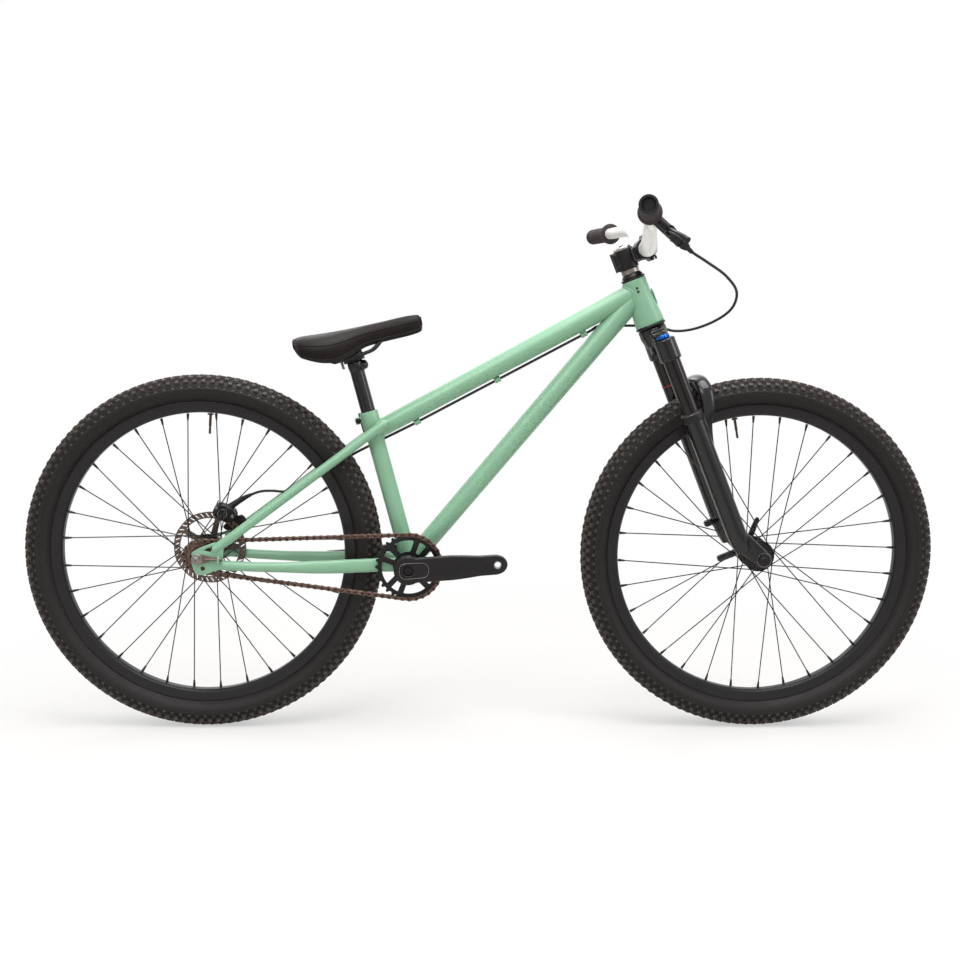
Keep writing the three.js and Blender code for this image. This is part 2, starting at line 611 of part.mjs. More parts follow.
function rearDropout(side) {
  const outline = DROPOUT_OUTLINE_SHARES.map(([x, z]) => [x * REAR_DROPOUT_HEIGHT, z * REAR_DROPOUT_HEIGHT]);
  const low = side > 0 ? dropoutInner : -dropoutOuter;
  const plate = plateXZ(outline, low, low + REAR_DROPOUT_THICKNESS);
  const slot = block(place(-REAR_SLOT_DEPTH, side * dropoutInner, 0),
    (REAR_SLOT_DEPTH + slotHalf) * 2, REAR_DROPOUT_THICKNESS * 4, slotHalf * 2);
  const [eyeletX, eyeletZ] = EYELET_SHARES.map((share) => share * REAR_DROPOUT_HEIGHT);
  const eyelet = rod(
    place(eyeletX, side * (dropoutInner - CUT_OVERRUN), eyeletZ),
    place(eyeletX, side * (dropoutOuter + CUT_OVERRUN), eyeletZ),
    TENSIONER_HEAD_RADIUS, SMALL_SIDES);
  const lugReach = TENSIONER_HEAD_RADIUS * 2;
  const lug = block(place(lugX + TENSIONER_LUG_LENGTH / 2, side * (dropoutOuter + lugReach / 2), 0),
    TENSIONER_LUG_LENGTH, lugReach + REAR_DROPOUT_THICKNESS, TENSIONER_HEAD_RADIUS * 2);
  const lugHole = rod(place(0, side * screwY, 0), place(TENSIONER_REACH, side * screwY, 0),
    boreFor(TENSIONER_SCREW_RADIUS, SMALL_SIDES, SEAT_GAP), SMALL_SIDES);
  return inPlace(cut(joined([plate, lug]), [slot, eyelet, lugHole]), rearAxle);
}

/** The plate round the axle and the screw that pulls it back against the dropout's lug. */
function chainTensioner(side) {
  const half = TENSIONER_THICKNESS / 2;
  const y = side * tensionerMiddle;
  const knuckleX = REAR_NUT_RADIUS + RUB_GAP * 2;
  const knuckleEnd = screwY + TENSIONER_SCREW_RADIUS;
  const knuckleWidth = knuckleEnd - tensionerMiddle + half;
  const at = (x) => place(x, side * screwY, 0);
  const bore = rod(place(0, y - CUT_OVERRUN, 0), place(0, y + CUT_OVERRUN, 0),
    boreFor(REAR_AXLE_RADIUS, FIT_SIDES, SEAT_GAP));
  return inPlace(cut(joined([
    rod(place(0, y - half, 0), place(0, y + half, 0), TENSIONER_EYE_RADIUS),
    block(place(knuckleX / 2, y, 0), knuckleX, half * 2, TENSIONER_EYE_RADIUS),
    block(place(knuckleX + half, side * (knuckleEnd - knuckleWidth / 2), 0),
      TENSIONER_THICKNESS, knuckleWidth, TENSIONER_EYE_RADIUS),
    rod(at(knuckleX), at(TENSIONER_REACH), TENSIONER_SCREW_RADIUS, SMALL_SIDES),
    rod(at(TENSIONER_REACH - TENSIONER_HEAD_LENGTH), at(TENSIONER_REACH), TENSIONER_HEAD_RADIUS, SMALL_SIDES),
  ]), [bore]), rearAxle);
}

function rearAxleWithNuts() {
  const nutInner = dropoutOuter + TENSIONER_THICKNESS + SEAT_GAP * 2;
  const nutOuter = nutInner + REAR_NUT_LENGTH;
  return inPlace(turnedAboutY([
    [0, -nutOuter], [REAR_NUT_RADIUS * (3 / 4), -nutOuter],
    [REAR_NUT_RADIUS, -nutOuter + REAR_NUT_LENGTH / 2], [REAR_NUT_RADIUS, -nutInner],
    [REAR_AXLE_RADIUS, -nutInner], [REAR_AXLE_RADIUS, nutInner],
    [REAR_NUT_RADIUS, nutInner], [REAR_NUT_RADIUS, nutOuter - REAR_NUT_LENGTH / 2],
    [REAR_NUT_RADIUS * (3 / 4), nutOuter], [0, nutOuter],
  ], FIT_SIDES), rearAxle);
}

// The seatstay's line from the dropout to the side of the top tube.
// Shares: along the line, and of the half width between the dropouts
const STAY_LINE_SHARES = [
  [0, 1.02], [0.13, 0.985], [0.38, 0.82], [0.6, 0.66], [0.74, 0.56], [0.86, 0.46], [1, 0.4],
];
const stayRear = place(rearAxle.x + STAY_FOOT_FORWARD, 0, rearAxle.z + STAY_FOOT_RISE);
const stayFront = place(topTubeRear.x + STAY_TOP_FORWARD, 0, topTubeRear.z + STAY_TOP_RISE);
const stayPoint = (share, widthShare, side) => {
  const point = stayRear.clone().lerp(stayFront, share);
  return place(point.x, side * widthShare * dropoutInner, point.z);
};

const dropoutRoom = (side) => block(
  place(rearAxle.x, side * (dropoutInner + REAR_DROPOUT_THICKNESS / 2), rearAxle.z),
  REAR_DROPOUT_HEIGHT * (8 / 5) + SEAT_GAP, REAR_DROPOUT_THICKNESS + SEAT_GAP * 2, REAR_DROPOUT_HEIGHT * 2);

const stayLine = (side) => STAY_LINE_SHARES.map(([share, width]) => stayPoint(share, width, side));

// The hose's eye under the left seatstay
const leftStay = new THREE.CatmullRomCurve3(stayLine(1), false, 'centripetal');
const stayEyeAlong = leftStay.getTangentAt(STAY_EYE_SHARE);
const belowStay = place(stayEyeAlong.z, 0, -stayEyeAlong.x).normalize();
const stayEye = leftStay.getPointAt(STAY_EYE_SHARE).addScaledVector(belowStay, STAY_RADIUS + GUIDE_RADIUS);

function seatstay(side) {
  const tube = bent(stayLine(side), STAY_RADIUS, THIN_SIDES, STAY_STEPS);
  const whole = side > 0 ? tube.add(hoseEye(stayEye, stayEyeAlong, belowStay.clone().negate())) : tube;
  return cut(whole, [
    dropoutRoom(side), seatTubeRoom(), collarRoom(),
    tubeRoom(topTubeRear, topTubeFront, TOP_TUBE_REAR_RADIUS, TOP_TUBE_FRONT_RADIUS)]);
}

// The chainstay's line from the dropout to the bottom bracket shell: along, of the dropouts' half width,
// down as a share of the tube's radius, and how far it has changed from round tube to flat yoke
const CHAINSTAY_SHARES = [
  [0.09, 0.98, -1.15, 0], [0.25, 0.93, -1.25, 0], [0.45, 0.83, -1.1, 0.15], [0.62, 0.7, -0.85, 0.7],
  [0.77, 0.585, -0.4, 1], [0.88, 0.515, -0.1, 1], [1, 0.43, 0, 1],
];

function chainstay(side) {
  const rings = CHAINSTAY_SHARES.map(([share, widthShare, drop, yoke]) => {
    const middle = rearAxle.clone().lerp(bottomBracket, share);
    const halfWidth = CHAINSTAY_RADIUS + (CHAINSTAY_YOKE_WIDTH / 2 - CHAINSTAY_RADIUS) * yoke;
    const halfHeight = CHAINSTAY_RADIUS + (CHAINSTAY_YOKE_HEIGHT / 2 - CHAINSTAY_RADIUS) * yoke;
    return ring(halfWidth, THIN_SIDES, 0, halfHeight).map(([y, z]) => place(
      middle.x, side * widthShare * dropoutInner + y, middle.z + drop * CHAINSTAY_RADIUS + z));
  });
  const cupRoom = rod(place(bottomBracket.x, side * (BOTTOM_BRACKET_WIDTH / 2 - SEAT_GAP), bottomBracket.z),
    place(bottomBracket.x, side * BOTTOM_BRACKET_WIDTH, bottomBracket.z),
    boreFor(BEARING_CUP_RADIUS, FIT_SIDES, SEAT_GAP), FIT_SIDES);
  return cut(lofted(rings), [dropoutRoom(side), shellRoom(), cupRoom]);
}

// Seatpost, in the seat tube's own frame: Z up the tube, the tube's top at z = 0
function seatpost() {
  const tube = rod(place(0, 0, -SEATPOST_INSERTED), place(0, 0, SEATPOST_SHOWN), SEATPOST_RADIUS, FIT_SIDES);
  const head = rod(place(0, 0, SEATPOST_SHOWN - SEATPOST_HEAD_HEIGHT), place(0, 0, SEATPOST_SHOWN),
    SEATPOST_RADIUS, FIT_SIDES, SEATPOST_HEAD_RADIUS);
  const bore = rod(place(0, 0, -SEATPOST_INSERTED - CUT_OVERRUN),
    place(0, 0, SEATPOST_SHOWN - SEATPOST_HEAD_HEIGHT), SEATPOST_RADIUS - SEATPOST_WALL, TUBE_SIDES);
  const chin = rod(place(SEATPOST_CHIN_FORWARD, -SEATPOST_RADIUS, SEATPOST_SHOWN - SEATPOST_CHIN_RADIUS),
    place(SEATPOST_CHIN_FORWARD, SEATPOST_RADIUS, SEATPOST_SHOWN - SEATPOST_CHIN_RADIUS),
    SEATPOST_CHIN_RADIUS, THIN_SIDES);
  return cut(joined([tube, head, chin]), [bore, postCradleRoom()]);
}

// Saddle, in a frame of its own: X along the rails, Z square to them, the rails' middle at the origin
const railHeight = SEATPOST_SHOWN + SADDLE_CLAMP_HEIGHT / 2;

/** A group on top of the post, leaning nose up by a tilt from level. */
function tiltedOnPost(tilt) {
  const group = new THREE.Group();
  group.position.set(0, 0, railHeight);
  group.rotation.y = -(tilt + SEAT_ANGLE - Math.PI / 2);
  group.updateMatrix();
  seatFrame.add(group);
  return group;
}

const saddleFrame = tiltedOnPost(SADDLE_TILT);
const railFrame = tiltedOnPost(RAIL_TILT);

/** The space that the saddle clamp takes out of the post's head. */
function postCradleRoom() {
  return inWorld(block(place(0, 0, 0), SADDLE_CLAMP_LENGTH * 2, SADDLE_RAIL_SPACING,
    SADDLE_CLAMP_HEIGHT + SEAT_GAP * 2), railFrame);
}

/** The block that holds the rails, with the bolt that hangs behind the post's head. */
function saddleClamp() {
  const width = SADDLE_RAIL_SPACING + SADDLE_RAIL_RADIUS * 2;
  const boltX = -SADDLE_CLAMP_LENGTH / 2 - SADDLE_CLAMP_BOLT_RADIUS * (3 / 2);
  const boltFoot = -SADDLE_CLAMP_HEIGHT * (5 / 4);
  const nutReach = SADDLE_CLAMP_HEIGHT / 2;
  return cut(joined([
    block(place(0, 0, 0), SADDLE_CLAMP_LENGTH, width, SADDLE_CLAMP_HEIGHT),
    block(place(boltX, 0, 0), SADDLE_CLAMP_BOLT_RADIUS * 6, SADDLE_CLAMP_HEIGHT, SADDLE_CLAMP_HEIGHT / 2),
    rod(place(boltX, 0, boltFoot), place(boltX, 0, SADDLE_CLAMP_HEIGHT / 2),
      SADDLE_CLAMP_BOLT_RADIUS, SMALL_SIDES),
    rod(place(boltX, -nutReach, boltFoot), place(boltX, nutReach, boltFoot),
      SADDLE_CLAMP_BOLT_RADIUS * 2, SMALL_SIDES),
  ]), SIDES.map(([, side]) => rod(
    place(-SADDLE_CLAMP_LENGTH, side * SADDLE_RAIL_SPACING / 2, 0),
    place(SADDLE_CLAMP_LENGTH, side * SADDLE_RAIL_SPACING / 2, 0),
    boreFor(SADDLE_RAIL_RADIUS, SMALL_SIDES, SEAT_GAP), SMALL_SIDES)));
}

// Where the rails turn, as shares of the saddle's length and of the rail drop
const RAIL_SHARES = [
  [0.33, 0.42, 0.86], [0.26, 0.62, 0.5], [0.19, 0.93, 0.12], [0.15, 1, 0], [-0.11, 1, 0], [-0.15, 1, 0.04],
  [-0.23, 1.1, 0.85], [-0.29, 1.2, 1.4],
];

/** Two bent rails and the bridge that joins them at the nose, at a given thickness. */
function saddleRails(radius = SADDLE_RAIL_RADIUS) {
  const lines = SIDES.map(([, side]) => RAIL_SHARES.map(([along, spread, rise]) => place(
    along * SADDLE_LENGTH, side * spread * SADDLE_RAIL_SPACING / 2, rise * SADDLE_RAIL_DROP)));
  const bars = lines.map((line) => barThrough(line, radius, RAIL_SIDES));
  return joined([...bars, rod(lines[0][0], lines[1][0], radius, RAIL_SIDES)]);
}

// Stations from tail to nose: along as a share of the length from the tail; half width and the depth of
// the skirt as shares of the widest; and how much the crown stands up, as a share of the pad's depth
const SADDLE_STATION_SHARES = [
  [0, 0.5, 0.36, 0.94], [0.02, 0.66, 0.5, 1.05], [0.07, 0.88, 0.68, 1.09], [0.2, 1, 0.93, 1.02],
  [0.3, 0.93, 1, 0.98], [0.42, 0.68, 0.88, 0.96], [0.54, 0.46, 0.68, 0.97], [0.7, 0.32, 0.58, 1.01],
  [0.9, 0.28, 0.5, 1.09], [0.98, 0.2, 0.42, 0.94], [1, 0.12, 0.3, 0.6],
];
// One section of the pad, from its middle line down to the skirt's edge: across, and down from the crown
const SADDLE_SECTION_SHARES = [[0, 0], [0.4, 0.04], [0.72, 0.18], [0.93, 0.42], [1, 0.7], [0.95, 1]];

const saddleTail = -SADDLE_LENGTH * SADDLE_TAIL_SHARE;
const saddleTop = SADDLE_RAIL_DROP + SADDLE_SHELL_THICKNESS + SADDLE_PAD_DEPTH;

/** Half of one station's outer line, from the middle of the top to the edge, for one side. */
function saddleLine([along, width, skirt, crown], inset) {
  const half = (SADDLE_WIDTH / 2) * width - inset * SADDLE_SIDE_SHARE;
  const top = saddleTop - SADDLE_PAD_DEPTH * (1 - crown) - inset;
  const drop = SADDLE_SKIRT_DEPTH * skirt + (crown - 1) * SADDLE_PAD_DEPTH - inset;
  const x = saddleTail + along * SADDLE_LENGTH;
  return SADDLE_SECTION_SHARES.map(([across, down]) => place(x, half * across, top - drop * down));
}

const mirrored = (points) => points.map((p) => place(p.x, -p.y, p.z));

/** A closed skin between two sets of side lines, thick by the difference of their insets. */
function saddleSkin(stations, outerInset, innerInset) {
  return lofted(stations.map((station, index) => {
    const end = index === 0 || index === stations.length - 1;
    const outer = saddleLine(station, outerInset);
    const inner = saddleLine(station, end ? (outerInset + innerInset) / 2 : innerInset);
    return [
      ...outer, ...inner.slice(1).reverse(), inner[0],
      ...mirrored(inner.slice(1)), ...mirrored(outer.slice(1)).reverse(),
    ];
  }));
}

const PAD_SKIN_SHARE = 0.45;
const padInset = SADDLE_PAD_DEPTH * PAD_SKIN_SHARE;
const saddlePad = () => saddleSkin(SADDLE_STATION_SHARES, 0, padInset);

/** The stiff shell under the pad; the rails' ends are let into it. */
function saddleShell() {
  const inset = padInset + RUB_GAP;
  const skin = saddleSkin(SADDLE_STATION_SHARES.slice(1, -2), inset, inset + SADDLE_SHELL_THICKNESS);
  const rails = geometryOf(saddleRails(boreFor(SADDLE_RAIL_RADIUS, RAIL_SIDES, SEAT_GAP)));
  return cut(skin, [solid(rails.rotateY(SADDLE_TILT - RAIL_TILT))]);
}

// Headset, spacer and stem, in the steering frame
const upperCupTop = headTop + SEAT_GAP + CUP_LIP_LENGTH;
const spacerTop = upperCupTop + SEAT_GAP + SPACER_LENGTH;
const stemBottom = spacerTop + SEAT_GAP;
const stemTop = stemBottom + STEM_CLAMP_HEIGHT;
const steererBore = boreFor(STEERER_RADIUS);

function upperCup() {
  const skirt = HEAD_TUBE_TOP_RADIUS - HEAD_TUBE_WALL - SEAT_GAP;
  const lip = headTop + SEAT_GAP;
  return turnedAboutZ([
    [steererBore, lip - CUP_SKIRT_LENGTH], [skirt, lip - CUP_SKIRT_LENGTH], [skirt, lip],
    [UPPER_CUP_RADIUS, lip], [UPPER_CUP_RADIUS - CUP_LIP_LENGTH / 3, upperCupTop], [steererBore, upperCupTop],
  ], FIT_SIDES);
}

function lowerCupPiece() {
  const skirt = HEAD_TUBE_BOTTOM_RADIUS - HEAD_TUBE_WALL - SEAT_GAP;
  const lip = headBottom - SEAT_GAP;
  return turnedAboutZ([
    [steererBore, lip - CUP_LIP_LENGTH], [LOWER_CUP_RADIUS, lip - CUP_LIP_LENGTH], [LOWER_CUP_RADIUS, lip],
    [skirt, lip], [skirt, lip + CUP_SKIRT_LENGTH], [steererBore, lip + CUP_SKIRT_LENGTH],
  ], FIT_SIDES);
}

function headsetSpacer() {
  const bore = STEERER_RADIUS + SEAT_GAP;
  return turnedAboutZ([
    [bore, upperCupTop + SEAT_GAP], [SPACER_CONE_RADIUS, upperCupTop + SEAT_GAP],
    [SPACER_RADIUS, upperCupTop + SPACER_CONE_LENGTH], [SPACER_RADIUS, spacerTop], [bore, spacerTop],
  ], FIT_SIDES);
}

const barCentre = place(STEM_LENGTH, 0, stemBottom + STEM_CLAMP_HEIGHT / 2 + STEM_RISE);
const faceplateCut = STEM_LENGTH + BAR_CLAMP_RADIUS / 4;

/** The stem before its bores: a clamp on the steerer, a body and a cradle for the bar. */
function stemBlank() {
  const half = STEM_BODY_WIDTH / 2;
  const post = rod(place(0, 0, stemBottom), place(0, 0, stemTop), STEM_CLAMP_RADIUS, FIT_SIDES);
  const body = block(place(STEM_LENGTH / 2, 0, barCentre.z - STEM_RISE / 2),
    STEM_LENGTH, STEM_BODY_WIDTH * (3 / 4), STEM_CLAMP_HEIGHT);
  const back = block(place(-STEM_CLAMP_RADIUS, 0, stemTop - STEM_CLAMP_HEIGHT / 3),
    STEM_CLAMP_RADIUS * (2 / 3), STEM_BODY_WIDTH / 2, STEM_CLAMP_HEIGHT * (2 / 3));
  const cradle = rod(place(STEM_LENGTH, -half, barCentre.z), place(STEM_LENGTH, half, barCentre.z),
    BAR_CLAMP_RADIUS + STEM_FACEPLATE_DEPTH / 2, FIT_SIDES);
  const ears = block(barCentre, STEM_FACEPLATE_DEPTH * 2, STEM_BODY_WIDTH,
    (BAR_CLAMP_RADIUS + STEM_FACEPLATE_DEPTH) * 2);
  return { post, back, body, front: joined([cradle, ears]) };
}

const barRoom = () => rod(
  place(STEM_LENGTH, -STEM_BODY_WIDTH, barCentre.z), place(STEM_LENGTH, STEM_BODY_WIDTH, barCentre.z),
  boreFor(BAR_CLAMP_RADIUS, FIT_SIDES, SEAT_GAP), FIT_SIDES);

/** The cap that closes the steerer's bore on top of the stem. */
function topCap() {
  const foot = stemTop - SEAT_GAP;
  return turnedAboutZ([
    [0, foot], [STEM_CAP_RADIUS, foot], [STEM_CAP_RADIUS, foot + STEM_CAP_HEIGHT / 2],
    [STEM_CAP_RADIUS - STEM_CAP_HEIGHT / 2, foot + STEM_CAP_HEIGHT], [0, foot + STEM_CAP_HEIGHT],
  ], FIT_SIDES);
}

function stemBody() {
  const { post, back, body, front } = stemBlank();
  const ahead = block(place(faceplateCut + STEM_LENGTH / 2, 0, barCentre.z),
    STEM_LENGTH, STEM_BODY_WIDTH * 2, STEM_LENGTH * 2);
  const steerer = rod(place(0, 0, stemBottom - CUT_OVERRUN), place(0, 0, stemTop + CUT_OVERRUN),
    STEERER_RADIUS + SEAT_GAP, FIT_SIDES);
  const slit = block(place(-STEM_CLAMP_RADIUS, 0, barCentre.z), STEM_CLAMP_RADIUS * 2, RUB_GAP * 2,
    STEM_CLAMP_HEIGHT * 2);
  return cut(joined([post, back, body, front]), [ahead, steerer, slit, barRoom()]).add(topCap());
}

function stemFaceplate() {
  const { front } = stemBlank();
  const behind = block(place(faceplateCut + RUB_GAP - STEM_LENGTH / 2, 0, barCentre.z),
    STEM_LENGTH, STEM_BODY_WIDTH * 2, STEM_LENGTH * 2);
  const edge = faceplateCut + RUB_GAP;
  const window = rod(place(edge, 0, barCentre.z), place(edge + STEM_LENGTH, 0, barCentre.z),
    BAR_CLAMP_RADIUS * (5 / 8), SMALL_SIDES);
  return cut(front, [behind, barRoom(), window]);
}

// The bar is set by world directions: it rises straight up and sweeps back, whatever the head angle is
const intoFork = new THREE.Matrix4().copy(steeringFrame.matrix).invert();
const barMiddle = barCentre.clone().applyMatrix4(steeringFrame.matrix);
/** A point of the bar: y across, and shares of its rise and backsweep, in the steering frame. */
const barPoint = (y, riseShare, sweepShare) => place(
  barMiddle.x - sweepShare * BAR_BACKSWEEP, y, barMiddle.z + riseShare * BAR_RISE).applyMatrix4(intoFork);
const barEnd = BAR_WIDTH / 2 - GRIP_END_CAP;
const bendOf = (share) => BAR_CENTRE_HALF + (BAR_SHOULDER_PLACE - BAR_CENTRE_HALF) * share;
// The bar's bends: place between clamp and shoulder, and shares of the rise and of the backsweep
const BAR_BEND_SHARES = [
  [0.15, 0, 0], [0.4, 0.18, 0.05], [0.75, 0.68, 0.12], [1, 0.86, 0.19], [1.25, 0.92, 0.26],
];
const barLine = (side) => BAR_BEND_SHARES.map(([at, rise, sweep]) => (
  barPoint(side * bendOf(at), rise, sweep)));
const [lastBend, lastRise, lastSweep] = BAR_BEND_SHARES.at(-1);
/** A point of the straight end of the bar that the grip holds. */
const gripPoint = (y, side) => {
  const out = (y - bendOf(lastBend)) / (BAR_WIDTH / 2 - bendOf(lastBend));
  return barPoint(side * y, lastRise + (1 - lastRise) * out, lastSweep + (1 - lastSweep) * out);
};
const gripInner = BAR_WIDTH / 2 - GRIP_LENGTH;

// Rings of the bar's section at shares of its half length, closer where it bends
const BAR_RING_SHARES = [0, 0.08, 0.14, 0.2, 0.26, 0.31, 0.37, 0.5, 1];

/** The bar as one skin: thick in the stem's clamp and thin in the grips. */
function handlebar() {
  const line = [
    gripPoint(barEnd, -1), ...barLine(-1).reverse(), barPoint(0, 0, 0), ...barLine(1), gripPoint(barEnd, 1)];
  const curve = new THREE.CurvePath();
  line.slice(1).forEach((point, i) => curve.add(new THREE.LineCurve3(line[i], point)));
  const thickUntil = BAR_RING_SHARES[1];
  const thinFrom = BAR_RING_SHARES.at(-3);
  const half = [...BAR_RING_SHARES].reverse().map((share) => (1 - share) / 2);
  const shares = [...half, ...half.slice(0, -1).reverse().map((share) => 1 - share)];
  return lofted(shares.map((share) => {
    const away = Math.abs(share * 2 - 1);
    const thin = THREE.MathUtils.clamp((away - thickUntil) / (thinFrom - thickUntil), 0, 1);
    const radius = BAR_CLAMP_RADIUS + (BAR_GRIP_RADIUS - BAR_CLAMP_RADIUS) * thin;
    const along = curve.getTangentAt(share);
    const ahead = place(along.y, -along.x, 0).normalize();
    const up = ahead.clone().cross(along).negate();
    return ring(radius, FIT_SIDES).map(([x, z]) => curve.getPointAt(share)
      .addScaledVector(ahead, x).addScaledVector(up, z));
  }));
}

/** A grip with an inner flange and a closed end, round the bar. */
function grip(side) {
  const flangeEnd = gripInner + GRIP_FLANGE_LENGTH;
  const sleeve = rod(gripPoint(gripInner, side), gripPoint(BAR_WIDTH / 2, side), GRIP_RADIUS, TUBE_SIDES);
  const flange = rod(gripPoint(gripInner, side), gripPoint(flangeEnd, side), GRIP_FLANGE_RADIUS, TUBE_SIDES);
  const bore = rod(gripPoint(gripInner - CUT_OVERRUN, side), gripPoint(barEnd + SEAT_GAP, side),
    boreFor(BAR_GRIP_RADIUS, TUBE_SIDES, SEAT_GAP), TUBE_SIDES);
  const trim = block(place(0, side * BAR_WIDTH, 0), WHEELBASE, BAR_WIDTH, WHEELBASE);
  return cut(joined([sleeve, flange]), [bore, trim]);
}

// Fork, in the steering frame
const legY = FORK_LEG_SPACING / 2;
const crownTop = headBottom - SEAT_GAP - CUP_LIP_LENGTH - SEAT_GAP;
const archTop = FORK_TYRE_SPACE - ARCH_TYRE_SPACE;
const lowerLegTop = archTop + LOWER_LEG_BELOW_ARCH;
const lowerLegBottom = forkLength - LOWER_LEG_AXLE_RISE;

function forkCrown() {
  const steerer = rod(place(0, 0, crownTop - CROWN_HUB_DEPTH / 2), place(0, 0, stemTop - RUB_GAP),
    STEERER_RADIUS, FIT_SIDES);
  const hub = rod(place(0, 0, crownTop - CROWN_HUB_DEPTH), place(0, 0, crownTop), CROWN_TOP_RADIUS * (7 / 8),
    FIT_SIDES, CROWN_TOP_RADIUS);
  const armTop = (crownTop - CROWN_SOCKET_TOP) / 2;
  const arms = plateYZ([
    [-legY, -CROWN_SOCKET_BOTTOM * (5 / 6)], [-legY * (3 / 4), -CROWN_SOCKET_BOTTOM * (5 / 6)],
    [-legY * (3 / 8), crownTop - CROWN_HUB_DEPTH], [legY * (3 / 8), crownTop - CROWN_HUB_DEPTH],
    [legY * (3 / 4), -CROWN_SOCKET_BOTTOM * (5 / 6)], [legY, -CROWN_SOCKET_BOTTOM * (5 / 6)],
    [legY, -CROWN_SOCKET_TOP], [legY / 2, armTop], [-legY / 2, armTop], [-legY, -CROWN_SOCKET_TOP],
  ], FORK_LEG_OFFSET - CROWN_ARM_FRONT, FORK_LEG_OFFSET + CROWN_ARM_FRONT);
  const sockets = SIDES.map(([, side]) => rod(
    place(FORK_LEG_OFFSET, side * legY, -CROWN_SOCKET_BOTTOM),
    place(FORK_LEG_OFFSET, side * legY, -CROWN_SOCKET_TOP), CROWN_SOCKET_RADIUS, FIT_SIDES));
  const bores = SIDES.map(([, side]) => rod(
    place(FORK_LEG_OFFSET, side * legY, -CROWN_SOCKET_BOTTOM - CUT_OVERRUN),
    place(FORK_LEG_OFFSET, side * legY, -CROWN_SOCKET_TOP + CUT_OVERRUN),
    STANCHION_RADIUS + SEAT_GAP, FIT_SIDES));
  const bore = rod(place(0, 0, crownTop - CROWN_HUB_DEPTH - CUT_OVERRUN),
    place(0, 0, stemTop - STEM_CLAMP_HEIGHT / 4), STEERER_RADIUS - STEERER_WALL, TUBE_SIDES);
  return cut(joined([steerer, hub, arms, ...sockets]), [...bores, bore]);
}

function stanchion(side) {
  return rod(place(FORK_LEG_OFFSET, side * legY, -CROWN_SOCKET_TOP - STANCHION_LENGTH),
    place(FORK_LEG_OFFSET, side * legY, -CROWN_SOCKET_TOP), STANCHION_RADIUS, FIT_SIDES);
}

/** The cap or knob on top of a fork leg. */
function legCap(side, radius, height) {
  const foot = -CROWN_SOCKET_TOP + SEAT_GAP;
  return inPlace(turnedAboutZ([
    [0, foot], [radius, foot], [radius, foot + height * (3 / 4)], [radius - height / 4, foot + height],
    [0, foot + height],
  ], TUBE_SIDES), place(FORK_LEG_OFFSET, side * legY, 0));
}

// The arch's line: forward as a share of its reach, across as a share of the leg's place, and height
const ARCH_SHARES = [
  [0.5, -1, 0.62], [0.86, -0.98, 0.42], [1, -0.86, 0.16], [1, -0.6, 0.04], [1, 0, 0],
  [1, 0.6, 0.04], [1, 0.86, 0.16], [0.86, 0.98, 0.42], [0.5, 1, 0.62],
];
const dropoutFace = FRONT_HUB_WIDTH / 2 + SEAT_GAP;

/** One leg's foot: a plate that carries the axle ahead of the leg. */
function forkFoot(side) {
  const tail = -lowerLegBottom + LOWER_LEG_RADIUS * 2;
  const round = ring(FRONT_DROPOUT_RADIUS, SMALL_SIDES, -Math.PI * (3 / 4)).slice(0, 6)
    .map(([x, z]) => [axleInFork.x + x, axleInFork.z + z]);
  const outline = [
    [FORK_LEG_OFFSET - LOWER_LEG_FOOT_RADIUS, tail],
    [FORK_LEG_OFFSET - LOWER_LEG_FOOT_RADIUS, -lowerLegBottom],
    ...round, [FORK_LEG_OFFSET + LOWER_LEG_FOOT_RADIUS, tail],
  ];
  const low = side > 0 ? dropoutFace : -dropoutFace - FRONT_DROPOUT_THICKNESS;
  return plateXZ(outline, low, low + FRONT_DROPOUT_THICKNESS);
}

/** The two posts behind the left leg that a front brake would bolt to. */
function postMounts() {
  const middle = FORK_LEG_OFFSET + (LOWER_LEG_FOOT_RADIUS - POST_MOUNT_REACH) / 2;
  return [0, 1].map((step) => block(
    place(middle, POST_MOUNT_PLACE, POST_MOUNT_RISE - forkLength - step * POST_MOUNT_SPACING),
    POST_MOUNT_REACH + LOWER_LEG_FOOT_RADIUS, POST_MOUNT_SIZE, POST_MOUNT_SIZE));
}

/** The brace over the tyre: oval sections that stay upright fore and aft while the line turns. */
function forkArch() {
  const points = ARCH_SHARES.map(([forward, across, down]) => place(
    forward * ARCH_FORWARD, across * legY, -archTop - down * ARCH_DROP));
  const curve = new THREE.CatmullRomCurve3(points, false, 'centripetal');
  return lofted(Array.from({ length: ARCH_STEPS + 1 }, (_, i) => {
    const middle = curve.getPointAt(i / ARCH_STEPS);
    const along = curve.getTangentAt(i / ARCH_STEPS);
    const up = place(0, -along.z, along.y).normalize();
    return ring(ARCH_DEPTH / 2, SMALL_SIDES, 0, ARCH_HEIGHT / 2).map(([ahead, above]) => (
      place(middle.x + ahead, middle.y, middle.z).addScaledVector(up, above)));
  }));
}

